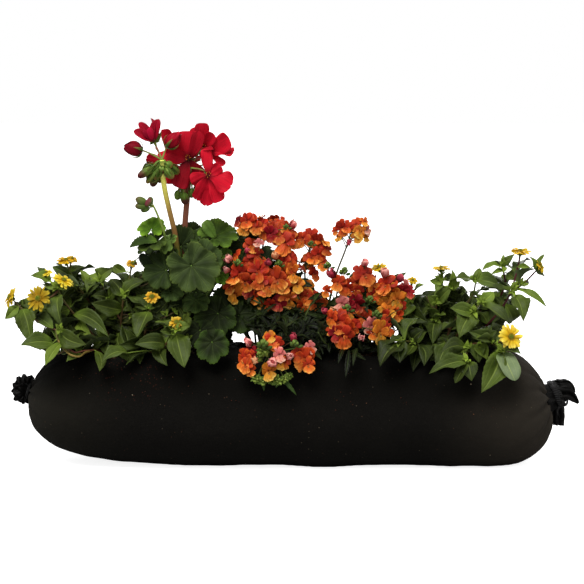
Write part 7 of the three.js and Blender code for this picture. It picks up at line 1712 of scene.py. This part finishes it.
def make_nemesia():
    marks = [(u, v, y) for _, _, flowers in RACEMES for u, v, y, *_ in flowers]
    for index, (name, stem, flowers) in enumerate(RACEMES):
        sk = Skin(600 + index)
        c = sk.chance
        line = [at3(p) for p in stem]
        sk.tube(smooth(line, 36), [1.5, 1.25, 1.0, 0.8], [rgb(60, 74, 34), rgb(66, 80, 38), rgb(84, 66, 42)], "stem", 10, 0.03)
        extra = [f for f in MORE_FLOWERS.get(index, []) if not any(math.hypot(f[0] - a, f[1] - b) < g + 4.0 for a, b, g in GAPS)]
        for u, v, y, r, nx, ny, nz, kind in flowers + extra:
            c0, n, size = at(u, v, y), unit(V(nx, ny, nz)), r * SCALE
            start = nearest([line], c0 + V(0, 3, -10))
            if kind in KINDS:
                nemesia_flower(sk, c0, unit(n + 0.24 * c.normal(size=3)), size * (1.0 if index == 5 else 1.12), kind, start)
            elif kind == 4:
                bud_cluster(sk, c0 + V(0, -5, 1), size * 1.75, start)
            else:
                nemesia_bud(sk, c0 + V(0, -3, 0), n, size * 1.3, kind, start)
        if index == 10:  # green rosettes and hanging leaf tips of the low front stem
            for u, v, y, r in ((263.5, 350.5, -86, 7.5), (256.5, 379, -87, 6.5), (263, 381, -88, 5.5), (270, 380, -87, 5.5), (277, 380.5, -89, 7), (284.5, 379, -87, 6), (289, 376, -84, 4.5), (260, 358, -84, 4.5)):
                p = at(u, v, y)
                sk.tube(smooth([nearest([line], p), mixed(line[-1], p, 0.6) + V(0, 4, 0), p], 10), [0.8, 0.6], rgb(82, 98, 44), "stem", 6)
                knob(sk, p, r * SCALE * 0.95, 22)
            for u0, v0, u1, v1 in ((262, 376, 264, 391), (282, 378, 296.7, 395.6), (275, 376, 276, 388)):
                b, t = at(u0, v0, -84), at(u1, v1, -88)
                sk.blade(b, t, 5.4, V(0.2, -0.9, 0.4), rgb(52, 74, 30), "nemesia_leaf", (0.5, 0.9), 0.06, 0.2, rows=10, cols=4, teeth=0.15, thick=0.3)
        sk.build(name, MATS, name, slot="orange_petal")
    clumps = []
    for index, (name, stems, count) in enumerate(LEAFY):
        sk = Skin(640 + index)
        lines = [[at3(p) for p in s] for s in stems]
        dice = Dice(4100 + 17 * index)
        for line in lines:
            sk.tube(smooth(line, 24), [1.4, 1.1, 0.8], [rgb(60, 74, 34), rgb(72, 86, 40)], "stem", 8, 0.03)
            for i in range(6):
                p = curve_point(line, 0.22 + 0.76 * i / 5)
                a = 2.4 * i + 1.3 * dice()
                out = unit(V(math.cos(a), math.sin(a), 0.35 + 0.5 * dice()))
                l = 30 * (0.75 + 0.4 * dice())
                narrow_leaf(sk, p, p + out * l, l * 0.3, V(0, 0, 1) - 0.3 * out)
        near = {0: RACEMES[0:3] + [RACEMES[10]], 1: RACEMES[3:6], 2: RACEMES[6:10]}[index]
        clumps.append((sk, lines + [[at3(p) for p in stem] for _, stem, _ in near]))
    # leaves that fill the clumps, from behind the foremost flowers to the back
    chance = np.random.RandomState(11)
    for layer, step in enumerate((10.0, 11.0, 13.0, 15.0)):
        for u, v in scatter(NEMESIA_MASS, step, chance):
            front = hero_depth(marks, u, v)
            y = (front + 12 + chance.uniform(-6, 8), front + 30 + chance.uniform(-8, 10), 36 + chance.uniform(-10, 10), 64 + chance.uniform(-8, 6))[layer]
            y = min(y, 72)
            if v < 285 and (layer in (1, 3) or chance.uniform() < 0.45):
                continue
            node = at(u, v, y)
            if node[2] < 138 and (layer > 0 or node[2] < 128):
                continue
            sk, lines = min(clumps, key=lambda e: np.linalg.norm(nearest(e[1], node + V(0, 0, -10)) - node))
            c = sk.chance
            back = layer >= 2
            away = unit(V(c.uniform(-0.3, 0.3), 0.7 if back else -0.7, 0.7))
            side_twig(sk, lines, node, mixed(rgb(58, 72, 34), rgb(92, 70, 46), c.uniform(0, 0.8)), 0.6)
            s = across_of(V(1, 0, 0), away)
            o = np.cross(away, s)
            turn = c.uniform(0, 6.28)
            # painted shade: filler leaves inside the clumps, and the low ones, are darkened; the back layer stays light
            shade = (0.5, 0.34, 0.42, 1.0)[layer] * (0.9 if v < 310 or layer == 3 else 0.46)
            for k in range(6):
                for attempt in range(4):
                    a = turn + 1.05 * k + c.uniform(-0.4, 0.4)
                    d = unit(math.cos(a) * s + math.sin(a) * o + away * c.uniform(0.0, 0.5) - V(0, 0, 0.1))
                    l = c.uniform(12, 24) * (1.15 if layer == 3 else 1.0)
                    tip = node + d * l
                    if tip[2] > 129 and -88 < tip[1] < 78 and clear(NEMESIA_MASS, tip, node + d * l * 0.5):
                        narrow_leaf(sk, node, tip, l * c.uniform(0.26, 0.38), away + 0.3 * c.normal(size=3), c.uniform(0, 0.35) * (node[2] > 165), shade, 9)
                        break
    for index, (sk, _) in enumerate(clumps):
        # painted shade: the narrow leaves that hang low in front of the sleeve get very dark tints
        if index == 2:
            narrow_leaf(sk, at(349, 350, -66), at(345.4, 378, -88), 7, V(0.3, -0.8, 0.5), 0.0, 0.22)
            narrow_leaf(sk, at(343, 350, -62), at(338, 364, -84), 6, V(0.1, -0.8, 0.5), 0.0, 0.2)
            narrow_leaf(sk, at(357, 348, -62), at(353, 366, -86), 6, V(-0.2, -0.8, 0.5), 0.1, 0.24)
            narrow_leaf(sk, at(352, 350, -60), at(366, 360, -86), 6, V(0, -0.8, 0.5), 0.1, 0.24)
        if index == 1:
            narrow_leaf(sk, at(310, 350, -60), at(322, 360, -84), 6, V(0, -0.8, 0.5), 0.1, 0.24)
        name = LEAFY[index][0]
        sk.build(name, MATS, name, slot="nemesia_leaf")


# ---- scene -----------------------------------------------------------------------------------------
def make_stage():
    world = bpy.data.worlds.new("studio")
    bpy.context.scene.world = world
    world.use_nodes = True
    tree = world.node_tree
    tree.nodes.clear()
    out, mix_, path = tree.nodes.new("ShaderNodeOutputWorld"), tree.nodes.new("ShaderNodeMixShader"), tree.nodes.new("ShaderNodeLightPath")
    a, b = tree.nodes.new("ShaderNodeBackground"), tree.nodes.new("ShaderNodeBackground")
    a.inputs[0].default_value, a.inputs[1].default_value = (0.97, 0.98, 1.0, 1), 0.30
    b.inputs[0].default_value, b.inputs[1].default_value = (1, 1, 1, 1), 1.0
    tree.links.new(path.outputs["Is Camera Ray"], mix_.inputs[0])
    tree.links.new(a.outputs[0], mix_.inputs[1])
    tree.links.new(b.outputs[0], mix_.inputs[2])
    tree.links.new(mix_.outputs[0], out.inputs[0])

    me = bpy.data.meshes.new("floor")
    s, z = 30.0, -0.0006
    me.from_pydata([(-s, -s, z), (s, -s, z), (s, s, z), (-s, s, z)], [], [(0, 1, 2, 3)])
    floor = bpy.data.objects.new("floor", me)
    bpy.context.scene.collection.objects.link(floor)
    m = Finish("floor_finish")
    g = m.noise(3.0, 2.0)
    seen = m.new("LightPath").outputs["Is Camera Ray"]
    lit, dim, glow, both, pick = m.new("BsdfDiffuse"), m.new("BsdfDiffuse"), m.new("Emission"), m.new("AddShader"), m.new("MixShader")
    m.put(lit.inputs[0], m.mix(m.step(g, 0.3, 0.7), (0.66, 0.66, 0.66), (0.69, 0.69, 0.69)))
    m.put(dim.inputs[0], (0.34, 0.34, 0.34))
    m.put(glow.inputs[0], (1, 1, 1))
    m.put(glow.inputs[1], 0.86)
    for x, y in ((lit.outputs[0], both.inputs[0]), (glow.outputs[0], both.inputs[1]), (seen, pick.inputs[0]), (dim.outputs[0], pick.inputs[1]), (both.outputs[0], pick.inputs[2]), (pick.outputs[0], m.new("OutputMaterial").inputs[0])):
        m.tree.links.new(x, y)
    me.materials.append(m.mat)

    def area(name, where, towards, size, watts, colour=(1, 1, 1)):
        light = bpy.data.lights.new(name, "AREA")
        light.shape, light.size, light.size_y = "RECTANGLE", size[0], size[1]
        light.energy, light.color = watts, colour
        o = bpy.data.objects.new(name, light)
        o.location = where
        o.rotation_euler = (Vector(towards) - Vector(where)).to_track_quat("-Z", "Y").to_euler()
        bpy.context.scene.collection.objects.link(o)

    sun = bpy.data.lights.new("key", "SUN")
    sun.energy, sun.angle, sun.color = 3.1, math.radians(38), (1.0, 0.985, 0.955)
    o = bpy.data.objects.new("key", sun)
    o.rotation_euler = Vector((0.26, 0.5, -1.0)).to_track_quat("-Z", "Y").to_euler()
    bpy.context.scene.collection.objects.link(o)
    area("front", (-0.9, -2.0, 1.1), (0, 0, 0.18), (1.4, 1.0), 7, (1.0, 0.99, 0.98))
    area("right", (1.7, -0.5, 0.9), (0.2, 0, 0.15), (0.8, 1.0), 7, (1.0, 0.98, 0.95))
    area("back", (0.3, 1.8, 1.0), (0, 0, 0.12), (1.6, 0.9), 20)

    cam = bpy.data.cameras.new("camera")
    cam.sensor_width, cam.lens = 36.0, 36.0 * EYE / (584 * SCALE)
    cam.clip_end = 100.0
    o = bpy.data.objects.new("camera", cam)
    o.location = EYE_AT * 0.001
    o.rotation_euler = (math.pi / 2 - TILT, 0, 0)
    bpy.context.scene.collection.objects.link(o)
    bpy.context.scene.camera = o
    view = bpy.context.scene.view_settings
    view.view_transform, view.look, view.exposure, view.gamma = "Standard", "None", 0.0, 1.0


make_stage()
make_sleeve()
tails = make_tails()
gathered = tails.build("gathered_ends", MATS, slot="sleeve_fabric")
make_cords()
make_soil()
make_shoots()
make_heads()
make_pelargonium()
make_nemesia()
